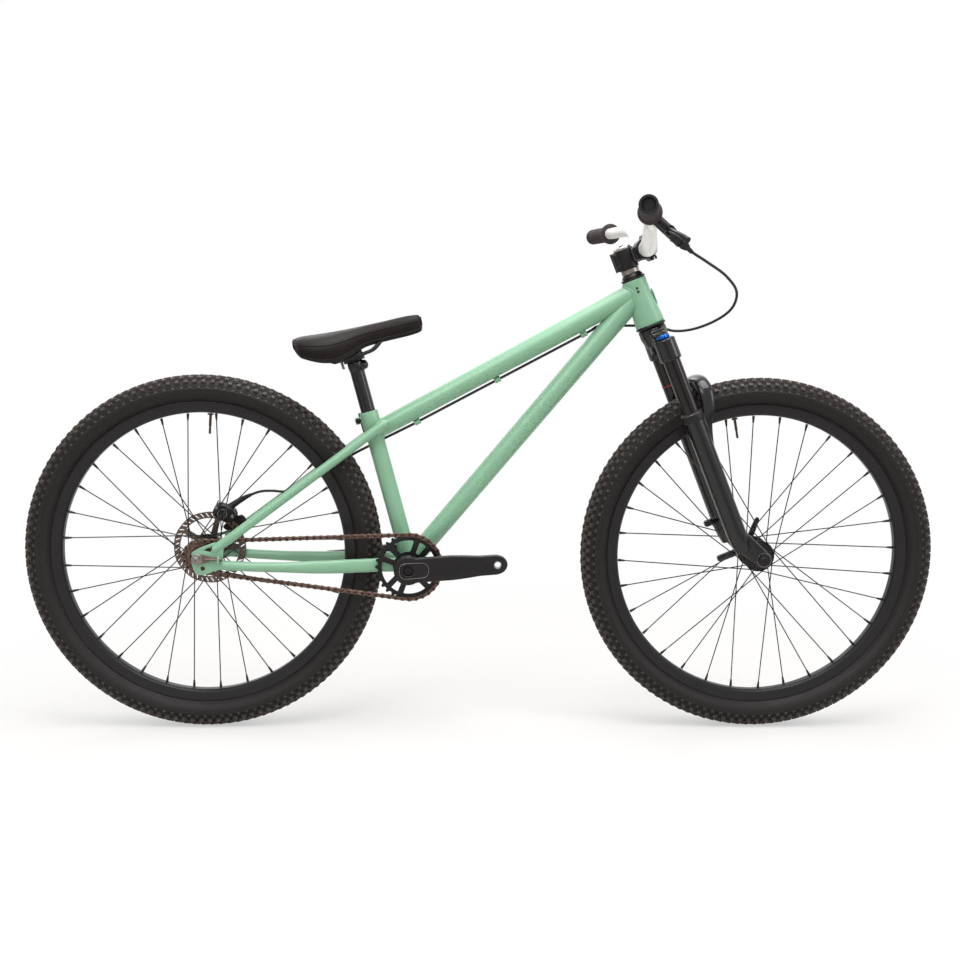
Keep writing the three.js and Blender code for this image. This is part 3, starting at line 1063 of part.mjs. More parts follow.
function forkLowers() {
  const collarBottom = lowerLegTop + LOWER_LEG_COLLAR_LENGTH;
  const legs = SIDES.map(([, side]) => inPlace(turnedAboutZ([
    [0, -lowerLegBottom], [LOWER_LEG_FOOT_RADIUS, -lowerLegBottom],
    [LOWER_LEG_RADIUS, -lowerLegBottom + LOWER_LEG_RADIUS * 2], [LOWER_LEG_RADIUS, -collarBottom],
    [LOWER_LEG_COLLAR_RADIUS, -collarBottom], [LOWER_LEG_COLLAR_RADIUS, -lowerLegTop], [0, -lowerLegTop],
  ], FIT_SIDES), place(FORK_LEG_OFFSET, side * legY, 0)));
  const bores = SIDES.map(([, side]) => rod(
    place(FORK_LEG_OFFSET, side * legY, -lowerLegTop - LOWER_LEG_BORE_DEPTH),
    place(FORK_LEG_OFFSET, side * legY, -lowerLegTop + CUT_OVERRUN),
    STANCHION_RADIUS + FORK_BORE_GAP, FIT_SIDES));
  const axleBore = rod(place(axleInFork.x, -FORK_LEG_SPACING, axleInFork.z),
    place(axleInFork.x, FORK_LEG_SPACING, axleInFork.z), FRONT_AXLE_RADIUS + SEAT_GAP, FIT_SIDES);
  const feet = SIDES.map(([, side]) => forkFoot(side));
  const hubRoom = rod(place(axleInFork.x, -dropoutFace, axleInFork.z),
    place(axleInFork.x, dropoutFace, axleInFork.z), HUB_FLANGE_RADIUS + RUB_GAP * 4, FIT_SIDES);
  return cut(joined([...legs, forkArch(), ...feet, ...postMounts()]), [...bores, axleBore, hubRoom]);
}

const axleEnd = dropoutFace + FRONT_DROPOUT_THICKNESS;

function frontAxlePiece() {
  const right = -axleEnd - SEAT_GAP;
  const left = axleEnd + SEAT_GAP;
  const headLength = AXLE_LEVER_THICKNESS;
  return inPlace(turnedAboutY([
    [0, right - headLength / 2], [FRONT_AXLE_RADIUS * (5 / 4), right - headLength / 2],
    [FRONT_AXLE_RADIUS * (5 / 4), right], [FRONT_AXLE_RADIUS, right], [FRONT_AXLE_RADIUS, left],
    [FRONT_AXLE_RADIUS * (3 / 2), left], [FRONT_AXLE_RADIUS * (3 / 2), left + headLength / 2],
    [0, left + headLength / 2],
  ], FIT_SIDES), axleInFork);
}

/** The folding handle on the axle's left end. */
function axleLever() {
  const inner = axleEnd + SEAT_GAP + AXLE_LEVER_THICKNESS / 2 + SEAT_GAP;
  const half = AXLE_LEVER_WIDTH / 2;
  const outline = [
    [-half, -half], [half, -half], [half * (4 / 3), half], [half * (3 / 4), AXLE_LEVER_LENGTH - half],
    [0, AXLE_LEVER_LENGTH], [-half * (3 / 4), AXLE_LEVER_LENGTH - half], [-half * (4 / 3), half],
  ];
  const handle = geometryOf(plateXZ(outline, inner, inner + AXLE_LEVER_THICKNESS));
  return inPlace(solid(handle.rotateY(AXLE_LEVER_ANGLE)), axleInFork);
}

// Wheels, about their axle along Y
const rimHalf = RIM_WIDTH / 2;
const rimEdgeRadius = TYRE_RADIUS - TYRE_HEIGHT;
const rimBedRadius = rimEdgeRadius - RIM_DEPTH;
const beadOuter = rimHalf - RIM_WALL - SEAT_GAP;
const sectionMiddle = (rimEdgeRadius + TYRE_RADIUS) / 2;
const bedInside = rimBedRadius * Math.cos(Math.PI / WHEEL_SIDES) - SEAT_GAP;

/** A ring whose outline is given for one side only, from the middle plane outwards, and mirrored. */
function mirroredRing(half, sides) {
  const other = half.filter(([, y]) => y !== 0).map(([radius, y]) => [radius, -y]).reverse();
  return turnedAboutY([...half, ...other], sides);
}

function tyre() {
  const bulge = TYRE_WIDTH / 2;
  const beadFoot = rimEdgeRadius - RIM_WALL * 3;
  const aboveHook = rimEdgeRadius + RUB_GAP;
  const shoulder = sectionMiddle + (TYRE_RADIUS - sectionMiddle) * (2 / 3);
  return mirroredRing([
    [TYRE_RADIUS, 0], [shoulder, bulge * (5 / 6)], [sectionMiddle, bulge],
    [aboveHook, beadOuter], [beadFoot, beadOuter], [beadFoot, beadOuter - BEAD_WIDTH],
    [aboveHook, beadOuter - BEAD_WIDTH], [sectionMiddle, bulge - TYRE_WALL], [TYRE_RADIUS - TYRE_WALL * 2, 0],
  ], WHEEL_SIDES);
}

function rim() {
  const bed = rimHalf / 2;
  const floor = rimEdgeRadius - RIM_WALL * 3 - SEAT_GAP;
  const inner = rimHalf - RIM_WALL;
  return mirroredRing([
    [rimBedRadius, bed], [(rimBedRadius + floor) / 2, rimHalf], [rimEdgeRadius, rimHalf],
    [rimEdgeRadius, inner], [floor, inner],
  ], WHEEL_SIDES);
}

/** A hub shell with two flanges, from its right end to its left end, with a bore for the axle. */
function hub(axleRadius, right, rightFlange, leftFlange, left) {
  const thick = HUB_FLANGE_THICKNESS;
  const bore = boreFor(axleRadius);
  return turnedAboutY([
    [bore, right], [HUB_END_RADIUS, right],
    [HUB_SHELL_RADIUS, rightFlange], [HUB_FLANGE_RADIUS, rightFlange],
    [HUB_FLANGE_RADIUS, rightFlange + thick], [HUB_SHELL_RADIUS, rightFlange + thick],
    [HUB_SHELL_RADIUS, leftFlange - thick], [HUB_FLANGE_RADIUS, leftFlange - thick],
    [HUB_FLANGE_RADIUS, leftFlange], [HUB_SHELL_RADIUS, leftFlange],
    [HUB_END_RADIUS, (left + leftFlange) / 2], [HUB_END_RADIUS, left], [bore, left],
  ], FIT_SIDES);
}

/** One side's crossed spokes, drawn flat as one lattice and then leaned in from the flange to the rim. */
function spokes(side, flangePlace, firstShare) {
  const turn = (2 * Math.PI) / SPOKES_PER_SIDE;
  const rootY = side * (flangePlace + SPOKE_RADIUS + RUB_GAP);
  const lean = side * SPOKE_RIM_OFFSET - rootY;
  const bars = Array.from({ length: SPOKES_PER_SIDE }, (_, i) => {
    const tip = (i + firstShare) * turn;
    const root = tip + (i % 2 === 0 ? turn : -turn) * SPOKE_CROSSINGS;
    const from = [SPOKE_ROOT_RADIUS * Math.cos(root), SPOKE_ROOT_RADIUS * Math.sin(root)];
    const to = [bedInside * Math.cos(tip), bedInside * Math.sin(tip)];
    const length = Math.hypot(to[0] - from[0], to[1] - from[1]);
    const wide = [(from[1] - to[1]) / length, (to[0] - from[0]) / length].map((part) => part * SPOKE_RADIUS);
    const corner = ([x, z], way) => [x + way * wide[0], z + way * wide[1]];
    const outline = [corner(from, 1), corner(to, 1), corner(to, -1), corner(from, -1)];
    return plateXZ(outline, -SPOKE_RADIUS, SPOKE_RADIUS);
  });
  const lattice = geometryOf(joined(bars));
  const points = lattice.attributes.position;
  for (let i = 0; i < points.count; i += 1) {
    const out = Math.hypot(points.getX(i), points.getZ(i)) - SPOKE_ROOT_RADIUS;
    points.setY(i, points.getY(i) + rootY + (lean * out) / (bedInside - SPOKE_ROOT_RADIUS));
  }
  return solid(lattice);
}

/** The valve stem, standing in from the rim towards the hub at an angle of the wheel. */
function valve(angle) {
  const direction = place(Math.cos(angle), 0, Math.sin(angle));
  const at = (radius) => direction.clone().multiplyScalar(radius);
  return joined([
    rod(at(bedInside), at(bedInside - VALVE_LENGTH), VALVE_RADIUS, SMALL_SIDES),
    rod(at(bedInside), at(bedInside - VALVE_RADIUS), VALVE_RADIUS * 2, SMALL_SIDES),
  ]);
}

/** A point at a radius and an angle, as an [x, z] pair. */
const polar = (radius, angle) => [radius * Math.cos(angle), radius * Math.sin(angle)];

// The corners of each window in the rotor: out from its centre piece, and round towards the next arm
const ROTOR_WINDOW_SHARES = [[0, 0.2], [0, 0.8], [1, 0.95], [1, 0.52], [1, 0.1]];

function brakeRotor() {
  const depth = ROTOR_RADIUS - ROTOR_BAND - ROTOR_CENTRE_RADIUS;
  const step = (2 * Math.PI) / ROTOR_ARMS;
  const windows = Array.from({ length: ROTOR_ARMS }, (_, i) => {
    const at = (radius, share) => polar(radius, (i + share) * step);
    return ROTOR_WINDOW_SHARES.map(([out, share]) => at(ROTOR_CENTRE_RADIUS + depth * out, share));
  });
  const centre = ring(boreFor(HUB_END_RADIUS, FIT_SIDES, SEAT_GAP), FIT_SIDES);
  const disc = ring(ROTOR_RADIUS, WHEEL_SIDES);
  return plateXZ(disc, ROTOR_PLACE - ROTOR_THICKNESS, ROTOR_PLACE, [centre, ...windows]);
}

// Drive
const pitchRadius = (teeth) => CHAIN_PITCH / 2 / Math.sin(Math.PI / teeth);
const ringRadius = pitchRadius(CHAINRING_TEETH);
const sprocketRadius = pitchRadius(SPROCKET_TEETH);

/** The outline of a toothed wheel. */
function toothedOutline(teeth) {
  const pitch = pitchRadius(teeth);
  const step = (2 * Math.PI) / teeth;
  return Array.from({ length: teeth }, (_, i) => [
    polar(pitch - TOOTH_DEPTH, (i - 1 / 2) * step),
    polar(pitch + TOOTH_HEIGHT, (i - 1 / 8) * step),
    polar(pitch + TOOTH_HEIGHT, (i + 1 / 8) * step),
  ]).flat();
}

// Each quarter of the chainring has a narrow and a wide window, from and to as shares of the quarter
const CHAINRING_WINDOW_SHARES = [[-0.09, 0.09], [0.23, 0.77]];

function chainring() {
  const step = Math.PI / 2;
  const outer = ringRadius - TOOTH_DEPTH * 3;
  const inner = CRANK_ROOT_HEIGHT / 2 + RUB_GAP * 4;
  const windows = [0, 1, 2, 3].flatMap((quarter) => CHAINRING_WINDOW_SHARES.map(([from, to]) => {
    const at = (radius, share) => polar(radius, CHAINRING_PHASE + (quarter + share) * step);
    const lean = (to - from) / 8;
    return [
      at(inner, from + lean), at(inner, to - lean),
      at(outer, to), at(outer, (from + to) / 2), at(outer, from)];
  }));
  const bore = ring(boreFor(CRANK_SPINDLE_RADIUS, FIT_SIDES, SEAT_GAP), FIT_SIDES);
  return plateXZ(toothedOutline(CHAINRING_TEETH), -CHAIN_LINE - TOOTH_THICKNESS / 2,
    -CHAIN_LINE + TOOTH_THICKNESS / 2, [bore, ...windows]);
}

const driverInner = REAR_RIGHT_FLANGE_PLACE + HUB_FLANGE_THICKNESS * 3;

function rearSprocket() {
  const bore = boreFor(REAR_AXLE_RADIUS);
  const carrier = sprocketRadius - TOOTH_DEPTH * 2;
  const teeth = plateXZ(toothedOutline(SPROCKET_TEETH), -CHAIN_LINE - TOOTH_THICKNESS / 2,
    -CHAIN_LINE + TOOTH_THICKNESS / 2, []);
  const end = dropoutInner - SEAT_GAP;
  const driver = turnedAboutY([
    [bore, -end], [HUB_END_RADIUS * (7 / 8), -end], [HUB_END_RADIUS * (7 / 8), -CHAIN_LINE - CHAIN_WIDTH],
    [carrier * (7 / 8), -CHAIN_LINE - CHAIN_WIDTH / 2], [carrier * (7 / 8), -driverInner],
    [bore, -driverInner],
  ], FIT_SIDES);
  const through = rod(place(0, -REAR_HUB_WIDTH, 0), place(0, 0, 0), bore, FIT_SIDES);
  return cut(joined([teeth, driver]), [through]);
}

/** The chain's closed line round both toothed wheels, grown or shrunk by an offset. */
function chainLine(offset) {
  const span = bottomBracket.clone().sub(rearAxle);
  const distance = span.length();
  const lie = Math.atan2(span.z, span.x);
  const open = Math.acos((sprocketRadius - ringRadius) / distance);
  const arc = (centre, radius, from, to, count) => Array.from({ length: count + 1 }, (_, i) => {
    const angle = from + ((to - from) * i) / count;
    return [centre.x + radius * Math.cos(angle), centre.z + radius * Math.sin(angle)];
  });
  return [
    ...arc(bottomBracket, ringRadius + offset, lie - open, lie + open, CHAINRING_TEETH / 2),
    ...arc(rearAxle, sprocketRadius + offset, lie + open, lie - open + 2 * Math.PI, SMALL_SIDES),
  ];
}

function chain() {
  const half = CHAIN_HEIGHT / 2;
  const low = -CHAIN_LINE - CHAIN_WIDTH / 2;
  const band = plateXZ(chainLine(half), low, low + CHAIN_WIDTH, [chainLine(-half).reverse()]);
  const slotHalfWidth = TOOTH_THICKNESS / 2 + CHAIN_SLOT_GAP;
  const slots = [[bottomBracket, ringRadius], [rearAxle, sprocketRadius]].map(([centre, radius]) => rod(
    place(centre.x, -CHAIN_LINE - slotHalfWidth, centre.z),
    place(centre.x, -CHAIN_LINE + slotHalfWidth, centre.z),
    boreFor(radius + TOOTH_HEIGHT, WHEEL_SIDES, CHAIN_SLOT_GAP), WHEEL_SIDES));
  return cut(band, slots);
}

const crankInner = CRANK_PLACE;
const crankOuter = CRANK_PLACE + CRANK_THICKNESS;
const crankMiddle = CRANK_PLACE + CRANK_THICKNESS / 2;

// Half heights of the crank arm along its length, as shares of the length and of the root's half height
const CRANK_ARM_SHARES = [[0, 1], [0.5, 1], [0.65, 0.92], [0.8, 0.81], [1, 0.8], [1.07, 0.6], [1.11, 0.2]];

/** A crank arm along +X from the spindle, with its pedal hole at the far end. */
function crankArm(side) {
  const root = CRANK_ROOT_HEIGHT / 2;
  const lower = CRANK_ARM_SHARES.map(([along, half]) => [along * CRANK_LENGTH, -half * root]);
  const upper = lower.map(([x, z]) => [x, -z]).reverse();
  const back = ring(root * (6 / 5), TUBE_SIDES).slice(TUBE_SIDES / 3, TUBE_SIDES * (2 / 3) + 1);
  const low = side > 0 ? crankInner : -crankOuter;
  return plateXZ([...lower, ...upper, ...back], low, low + CRANK_THICKNESS, [
    ring(PEDAL_HOLE_RADIUS, TUBE_SIDES).map(([x, z]) => [x + CRANK_LENGTH, z])]);
}

/** The right arm carries the spindle, and a boss that the chainring sits on. */
function rightCrank() {
  const spindle = rod(place(0, -crankMiddle, 0), place(0, crankMiddle, 0), CRANK_SPINDLE_RADIUS, FIT_SIDES);
  const ringBack = -CHAIN_LINE - TOOTH_THICKNESS / 2 - SEAT_GAP;
  const boss = rod(place(0, -crankMiddle, 0), place(0, ringBack, 0),
    CRANK_ROOT_HEIGHT / 3, FIT_SIDES, CRANK_ROOT_HEIGHT / 2);
  return joined([crankArm(-1), spindle, boss]);
}

/** A body turned half round the Y axis, as the left arm is. */
const turnedRound = (body) => solid(geometryOf(body).rotateY(Math.PI));

function leftCrank() {
  const collar = BOTTOM_BRACKET_WIDTH / 2 + BEARING_CUP_LENGTH + SEAT_GAP * 2;
  const boss = rod(place(0, collar, 0), place(0, crankMiddle, 0),
    CRANK_ROOT_HEIGHT / 3, FIT_SIDES, CRANK_ROOT_HEIGHT / 2);
  const bore = rod(place(0, collar - CUT_OVERRUN, 0), place(0, crankMiddle + SEAT_GAP, 0),
    boreFor(CRANK_SPINDLE_RADIUS, FIT_SIDES, SEAT_GAP), FIT_SIDES);
  return cut(joined([crankArm(1), boss]), [bore]);
}

// Brake: its caliper sits over the rotor, in a frame of its own about the rear axle
const caliperRadius = ROTOR_RADIUS - CALIPER_CLEARANCE + CALIPER_HEIGHT / 2;
const caliperY = ROTOR_PLACE - ROTOR_THICKNESS / 2;
const caliperFrame = new THREE.Group();
caliperFrame.position.copy(rearAxle);
caliperFrame.rotation.y = Math.PI / 2 - CALIPER_ANGLE;
caliperFrame.updateMatrix();
const banjoRoot = place(CALIPER_LENGTH * BANJO_SHARE, caliperY + CALIPER_WIDTH / 4, caliperRadius);
const banjoEnd = banjoRoot.clone().add(place(0, 0, BANJO_RISE));

function brakeCaliper() {
  const shell = block(place(0, caliperY, caliperRadius), CALIPER_LENGTH, CALIPER_WIDTH, CALIPER_HEIGHT);
  const cylinder = rod(place(0, caliperY - CALIPER_WIDTH / 2, caliperRadius),
    place(0, caliperY + CALIPER_WIDTH * (2 / 3), caliperRadius), CALIPER_HEIGHT / 2 + RUB_GAP, TUBE_SIDES);
  const foot = block(place(CALIPER_LENGTH * (3 / 4), caliperY + CALIPER_WIDTH / 4, caliperRadius),
    CALIPER_LENGTH / 2, CALIPER_WIDTH / 3, CALIPER_HEIGHT / 2);
  const banjo = rod(banjoRoot, banjoEnd, HOSE_RADIUS * 2, SMALL_SIDES);
  const slot = rod(place(0, caliperY - CALIPER_SLOT / 2, 0), place(0, caliperY + CALIPER_SLOT / 2, 0),
    ROTOR_RADIUS + RUB_GAP * 2, WHEEL_SIDES);
  const stayRoom = bent(stayLine(1), STAY_RADIUS + RUB_GAP, THIN_SIDES, STAY_STEPS);
  return cut(inWorld(cut(joined([shell, cylinder, foot, banjo]), [slot]), caliperFrame), [stayRoom]);
}

// The lever's clamp sits on the right end of the bar, inside the grip. In the lever's own frame X points
// away from the bar, Y along the bar towards the bike's middle, and the blade turns about Z
const leverFrame = new THREE.Group();
const leverPlace = gripInner - LEVER_GRIP_SPACE;
leverFrame.position.copy(gripPoint(leverPlace, -1));
const inboard = gripPoint(leverPlace, -1).sub(gripPoint(BAR_WIDTH / 2, -1)).normalize();
const awayFromBar = place(Math.cos(LEVER_DROP_ANGLE), 0, -Math.sin(LEVER_DROP_ANGLE))
  .applyQuaternion(steeringFrame.quaternion.clone().invert());
awayFromBar.addScaledVector(inboard, -awayFromBar.dot(inboard)).normalize();
leverFrame.quaternion.setFromRotationMatrix(
  new THREE.Matrix4().makeBasis(awayFromBar, inboard, awayFromBar.clone().cross(inboard)));
leverFrame.updateMatrix();
steeringFrame.add(leverFrame);

const pivot = place(LEVER_PIVOT_REACH, -LEVER_PIVOT_OUTBOARD, 0);
const eyeHalf = LEVER_BLADE_HEIGHT / 2;
const earHalf = eyeHalf + LEVER_EAR_THICKNESS;
const alongPivot = (body) => inPlace(body, pivot);

/** The clamp, the arm with its two ears and pin, and the cylinder that ends in the hose. */
function leverBody() {
  const half = LEVER_CLAMP_WIDTH / 2;
  const clamp = rod(place(0, -half, 0), place(0, half, 0), LEVER_CLAMP_RADIUS, TUBE_SIDES);
  const arm = block(place(LEVER_PIVOT_REACH / 2, 0, 0), LEVER_PIVOT_REACH, LEVER_CLAMP_WIDTH, earHalf * 2);
  const cylinder = rod(place(LEVER_CLAMP_RADIUS, 0, 0), place(LEVER_REACH, LEVER_INBOARD, 0),
    LEVER_BODY_RADIUS, THIN_SIDES);
  const ears = alongPivot(rod(place(0, 0, -earHalf), place(0, 0, earHalf), LEVER_EAR_RADIUS));
  const eyeRoom = alongPivot(rod(place(0, 0, -eyeHalf - SEAT_GAP), place(0, 0, eyeHalf + SEAT_GAP),
    LEVER_EAR_RADIUS + RUB_GAP));
  const pin = alongPivot(rod(place(0, 0, -earHalf), place(0, 0, earHalf), LEVER_PIN_RADIUS));
  const bore = rod(place(0, -LEVER_CLAMP_WIDTH, 0), place(0, LEVER_CLAMP_WIDTH, 0),
    boreFor(BAR_GRIP_RADIUS, TUBE_SIDES, SEAT_GAP), TUBE_SIDES);
  return cut(joined([clamp, arm, cylinder, ears]), [bore, eyeRoom]).add(pin);
}

// The blade's line from its pivot outwards: away from the bar and along it, as shares of its length
const BLADE_SHARES = [[0, 0], [0.04, -0.2], [0.11, -0.45], [0.2, -0.7], [0.3, -0.87], [0.42, -1]];

function leverBlade() {
  const bar = bent(BLADE_SHARES.map(([away, along]) => place(
    pivot.x + away * LEVER_BLADE_LENGTH, pivot.y + along * LEVER_BLADE_LENGTH, 0)),
  eyeHalf, SMALL_SIDES, LEVER_BLADE_STEPS, LEVER_BLADE_THICKNESS / 2);
  const eye = alongPivot(rod(place(0, 0, -eyeHalf), place(0, 0, eyeHalf), LEVER_EAR_RADIUS * (3 / 4)));
  const bore = alongPivot(rod(place(0, 0, -earHalf), place(0, 0, earHalf),
    boreFor(LEVER_PIN_RADIUS, TUBE_SIDES)));
  return cut(joined([bar, eye]), [bore]);
}

// The hose: held in its eyes along the frame, and a free loop from the lever round the head tube's left side
const guideLine = GUIDE_PLACE_SHARES.map(underTopTube);
const hoseAlong = guideLine[2].clone().sub(guideLine[0]).normalize();
const pastGuide = (index, step) => guideLine[index].clone().addScaledVector(hoseAlong, step * GUIDE_LENGTH);
const pastStayEye = (step) => stayEye.clone().addScaledVector(stayEyeAlong, step * GUIDE_LENGTH);
// Points of the route from the rear eye under the top tube past the seat tube's left side
const HOSE_PAST_SEAT_TUBE = [[-158, 11, 566], [-184, 21, 552.5], [-212, 27, 538]];
// Points from the left seatstay's eye, inside the stay, to the caliper
const HOSE_TO_CALIPER = [
  [-304, 40, 480], [-340, 38.5, 461], [-374, 41, 444], [-402, 48, 445.5], [-425, 54, 443],
];
// Points from the lever forwards, round in front of the head tube and back along its left side
const HOSE_LOOP = [
  [380, -178, 877], [421, -142, 855], [450, -100, 828], [451, -60, 800], [429, -20, 777],
  [392, 8, 761], [360, 25, 758], [334, 35, 765.5], [306, 38, 767], [276, 37, 767], [240, 29, 767],
  [224, 20, 766], [212, 9, 764.5],
];

function hoseFrameRun() {
  const banjoTop = banjoEnd.clone().applyMatrix4(caliperFrame.matrix);
  const fromBanjo = banjoTop.clone().sub(banjoRoot.clone().applyMatrix4(caliperFrame.matrix)).normalize();
  const route = [
    guideLine[2], guideLine[1], guideLine[0], pastGuide(0, -1),
    ...HOSE_PAST_SEAT_TUBE.map((point) => place(...point)), pastStayEye(1), stayEye, pastStayEye(-1),
    ...HOSE_TO_CALIPER.map((point) => place(...point)),
    banjoTop.clone().addScaledVector(fromBanjo, HOSE_RADIUS * 4),
    banjoTop.addScaledVector(fromBanjo, SEAT_GAP),
  ];
  return bent(route, HOSE_RADIUS, SMALL_SIDES, HOSE_RUN_STEPS);
}

function hoseLoop() {
  const outlet = place(LEVER_REACH, LEVER_INBOARD, 0);
  const outward = outlet.clone().sub(place(LEVER_CLAMP_RADIUS, 0, 0)).normalize();
  const start = [SEAT_GAP, GUIDE_LENGTH].map((step) => outlet.clone().addScaledVector(outward, step)
    .applyMatrix4(leverFrame.matrix).applyMatrix4(steeringFrame.matrix));
  const end = guideLine[2].clone().addScaledVector(hoseAlong, SEAT_GAP);
  const route = [...start, ...HOSE_LOOP.map((point) => place(...point)), pastGuide(2, 4 / 3), end];
  return bent(route, HOSE_RADIUS, SMALL_SIDES, HOSE_LOOP_STEPS);
}

add('head_tube', headTube(), MINT, 0.35, 0, steeringFrame);
add('top_tube', topTube(), MINT, 0.35, 0);
add('down_tube', downTube(), MINT, 0.35, 0);
add('seat_tube', seatTube(), MINT, 0.35, 0);
add('bottom_bracket_shell', bottomBracketShell(), MINT, 0.35, 0);
add('seat_clamp_bolt', seatClampBolt(), BLACK, 0.4, 0.6, seatFrame);
for (const [name, side] of SIDES) {
  add(`bottom_bracket_cup_${name}`, bearingCup(side), BLACK, 0.4, 0.6);
  add(`chainstay_${name}`, chainstay(side), MINT, 0.35, 0);
  add(`seatstay_${name}`, seatstay(side), MINT, 0.35, 0);
  add(`dropout_${name}`, rearDropout(side), MINT, 0.35, 0);
  add(`chain_tensioner_${name}`, chainTensioner(side), STEEL, 0.4, 0.9);
}
add('rear_axle', rearAxleWithNuts(), STEEL, 0.35, 0.9);
add('headset_upper_cup', upperCup(), BLACK, 0.4, 0.6, steeringFrame);
add('headset_lower_cup', lowerCupPiece(), BLACK, 0.4, 0.6, steeringFrame);
add('headset_spacer', headsetSpacer(), BLACK, 0.4, 0.6, steeringFrame);
add('stem_body', stemBody(), BLACK, 0.45, 0.5, steeringFrame);
add('stem_faceplate', stemFaceplate(), BLACK, 0.45, 0.5, steeringFrame);
add('handlebar', handlebar(), BAR_SILVER, 0.3, 0.3, steeringFrame);
add('grip_right', grip(-1), GRIP_GREY, 0.8, 0, steeringFrame);
add('grip_left', grip(1), GRIP_GREY, 0.8, 0, steeringFrame);
add('brake_lever_body', leverBody(), BLACK, 0.45, 0.5, leverFrame);
add('brake_lever_blade', leverBlade(), BLACK, 0.45, 0.5, leverFrame);
add('fork_crown', forkCrown(), BLACK, 0.35, 0.3, steeringFrame);
add('compression_knob', legCap(-1, KNOB_RADIUS, KNOB_HEIGHT), BLUE, 0.35, 0.6, steeringFrame);
add('fork_lowers', forkLowers(), BLACK, 0.35, 0.2, steeringFrame);
add('front_axle', frontAxlePiece(), BLACK, 0.4, 0.6, steeringFrame);
add('front_axle_lever', axleLever(), BLACK, 0.4, 0.6, steeringFrame);
for (const [name, side] of SIDES) {
  add(`stanchion_${name}`, stanchion(side), BLACK, 0.15, 0.9, steeringFrame);
}
add('seatpost', seatpost(), BLACK, 0.35, 0.5, seatFrame);
add('saddle_clamp', saddleClamp(), BLACK, 0.4, 0.6, railFrame);
add('saddle_rails', saddleRails(), STEEL, 0.3, 0.9, railFrame);
add('saddle_shell', saddleShell(), BLACK, 0.7, 0, saddleFrame);
add('saddle_pad', saddlePad(), RUBBER, 0.7, 0, saddleFrame);

const frontWheel = new THREE.Group();
frontWheel.position.copy(frontAxle);
const rearWheel = new THREE.Group();
rearWheel.position.copy(rearAxle);
const crank = new THREE.Group();
crank.position.copy(bottomBracket);
crank.rotation.y = -REST_CRANK_ANGLE;
bike.add(frontWheel, rearWheel, crank);

const frontHubEnd = FRONT_HUB_WIDTH / 2;
add('front_tyre', tyre(), RUBBER, 0.9, 0, frontWheel);
add('front_rim', rim(), BLACK, 0.4, 0.5, frontWheel);
add('front_hub', hub(FRONT_AXLE_RADIUS, -frontHubEnd, -FRONT_FLANGE_PLACE, FRONT_FLANGE_PLACE, frontHubEnd),
  BLACK, 0.4, 0.6, frontWheel);
add('front_valve', valve(FRONT_VALVE_ANGLE), BLACK, 0.4, 0.6, frontWheel);
add('rear_tyre', tyre(), RUBBER, 0.9, 0, rearWheel);
add('rear_rim', rim(), BLACK, 0.4, 0.5, rearWheel);
add('rear_hub', hub(REAR_AXLE_RADIUS, -driverInner + SEAT_GAP, -REAR_RIGHT_FLANGE_PLACE,
  REAR_LEFT_FLANGE_PLACE, dropoutInner - RUB_GAP), BLACK, 0.4, 0.6, rearWheel);
add('rear_valve', valve(REAR_VALVE_ANGLE), BLACK, 0.4, 0.6, rearWheel);
for (const [name, flange, share, wheel] of [
  ['front_spokes_right', -FRONT_FLANGE_PLACE, FRONT_SPOKE_SHARE, frontWheel],
  ['front_spokes_left', FRONT_FLANGE_PLACE, FRONT_SPOKE_SHARE + 1 / 2, frontWheel],
  ['rear_spokes_right', -REAR_RIGHT_FLANGE_PLACE, REAR_SPOKE_SHARE, rearWheel],
  ['rear_spokes_left', REAR_LEFT_FLANGE_PLACE, REAR_SPOKE_SHARE + 1 / 2, rearWheel],
]) {
  add(name, spokes(Math.sign(flange), Math.abs(flange), share), BLACK, 0.3, 0.8, wheel);
}
add('brake_rotor', brakeRotor(), STEEL, 0.3, 0.9, rearWheel);
add('rear_sprocket', rearSprocket(), STEEL, 0.35, 0.9, rearWheel);
add('brake_caliper', brakeCaliper(), BLACK, 0.45, 0.5);
add('brake_hose_frame_run', hoseFrameRun(), BLACK, 0.5, 0);
add('brake_hose_loop', hoseLoop(), BLACK, 0.5, 0);
add('chain', chain(), CHAIN_BROWN, 0.4, 0.8);
add('crank_arm_right', rightCrank(), BLACK, 0.3, 0.4, crank);
add('chainring', chainring(), BLACK, 0.4, 0.6, crank);
add('crank_arm_left', turnedRound(leftCrank()), BLACK, 0.3, 0.4, crank);

export default bike;
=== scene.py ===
"""Looks of the dirt jump bike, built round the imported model, which stays fixed.

Lengths in the classes are millimetres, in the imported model's own frame or in a frame of one
sub-assembly. They turn to metres where a mesh is made.
"""

import logging
import math
from collections.abc import Callable, Sequence
from dataclasses import dataclass, field
from enum import Enum

import bmesh
import bpy
from mathutils import Matrix, Vector
from mathutils.geometry import tessellate_polygon


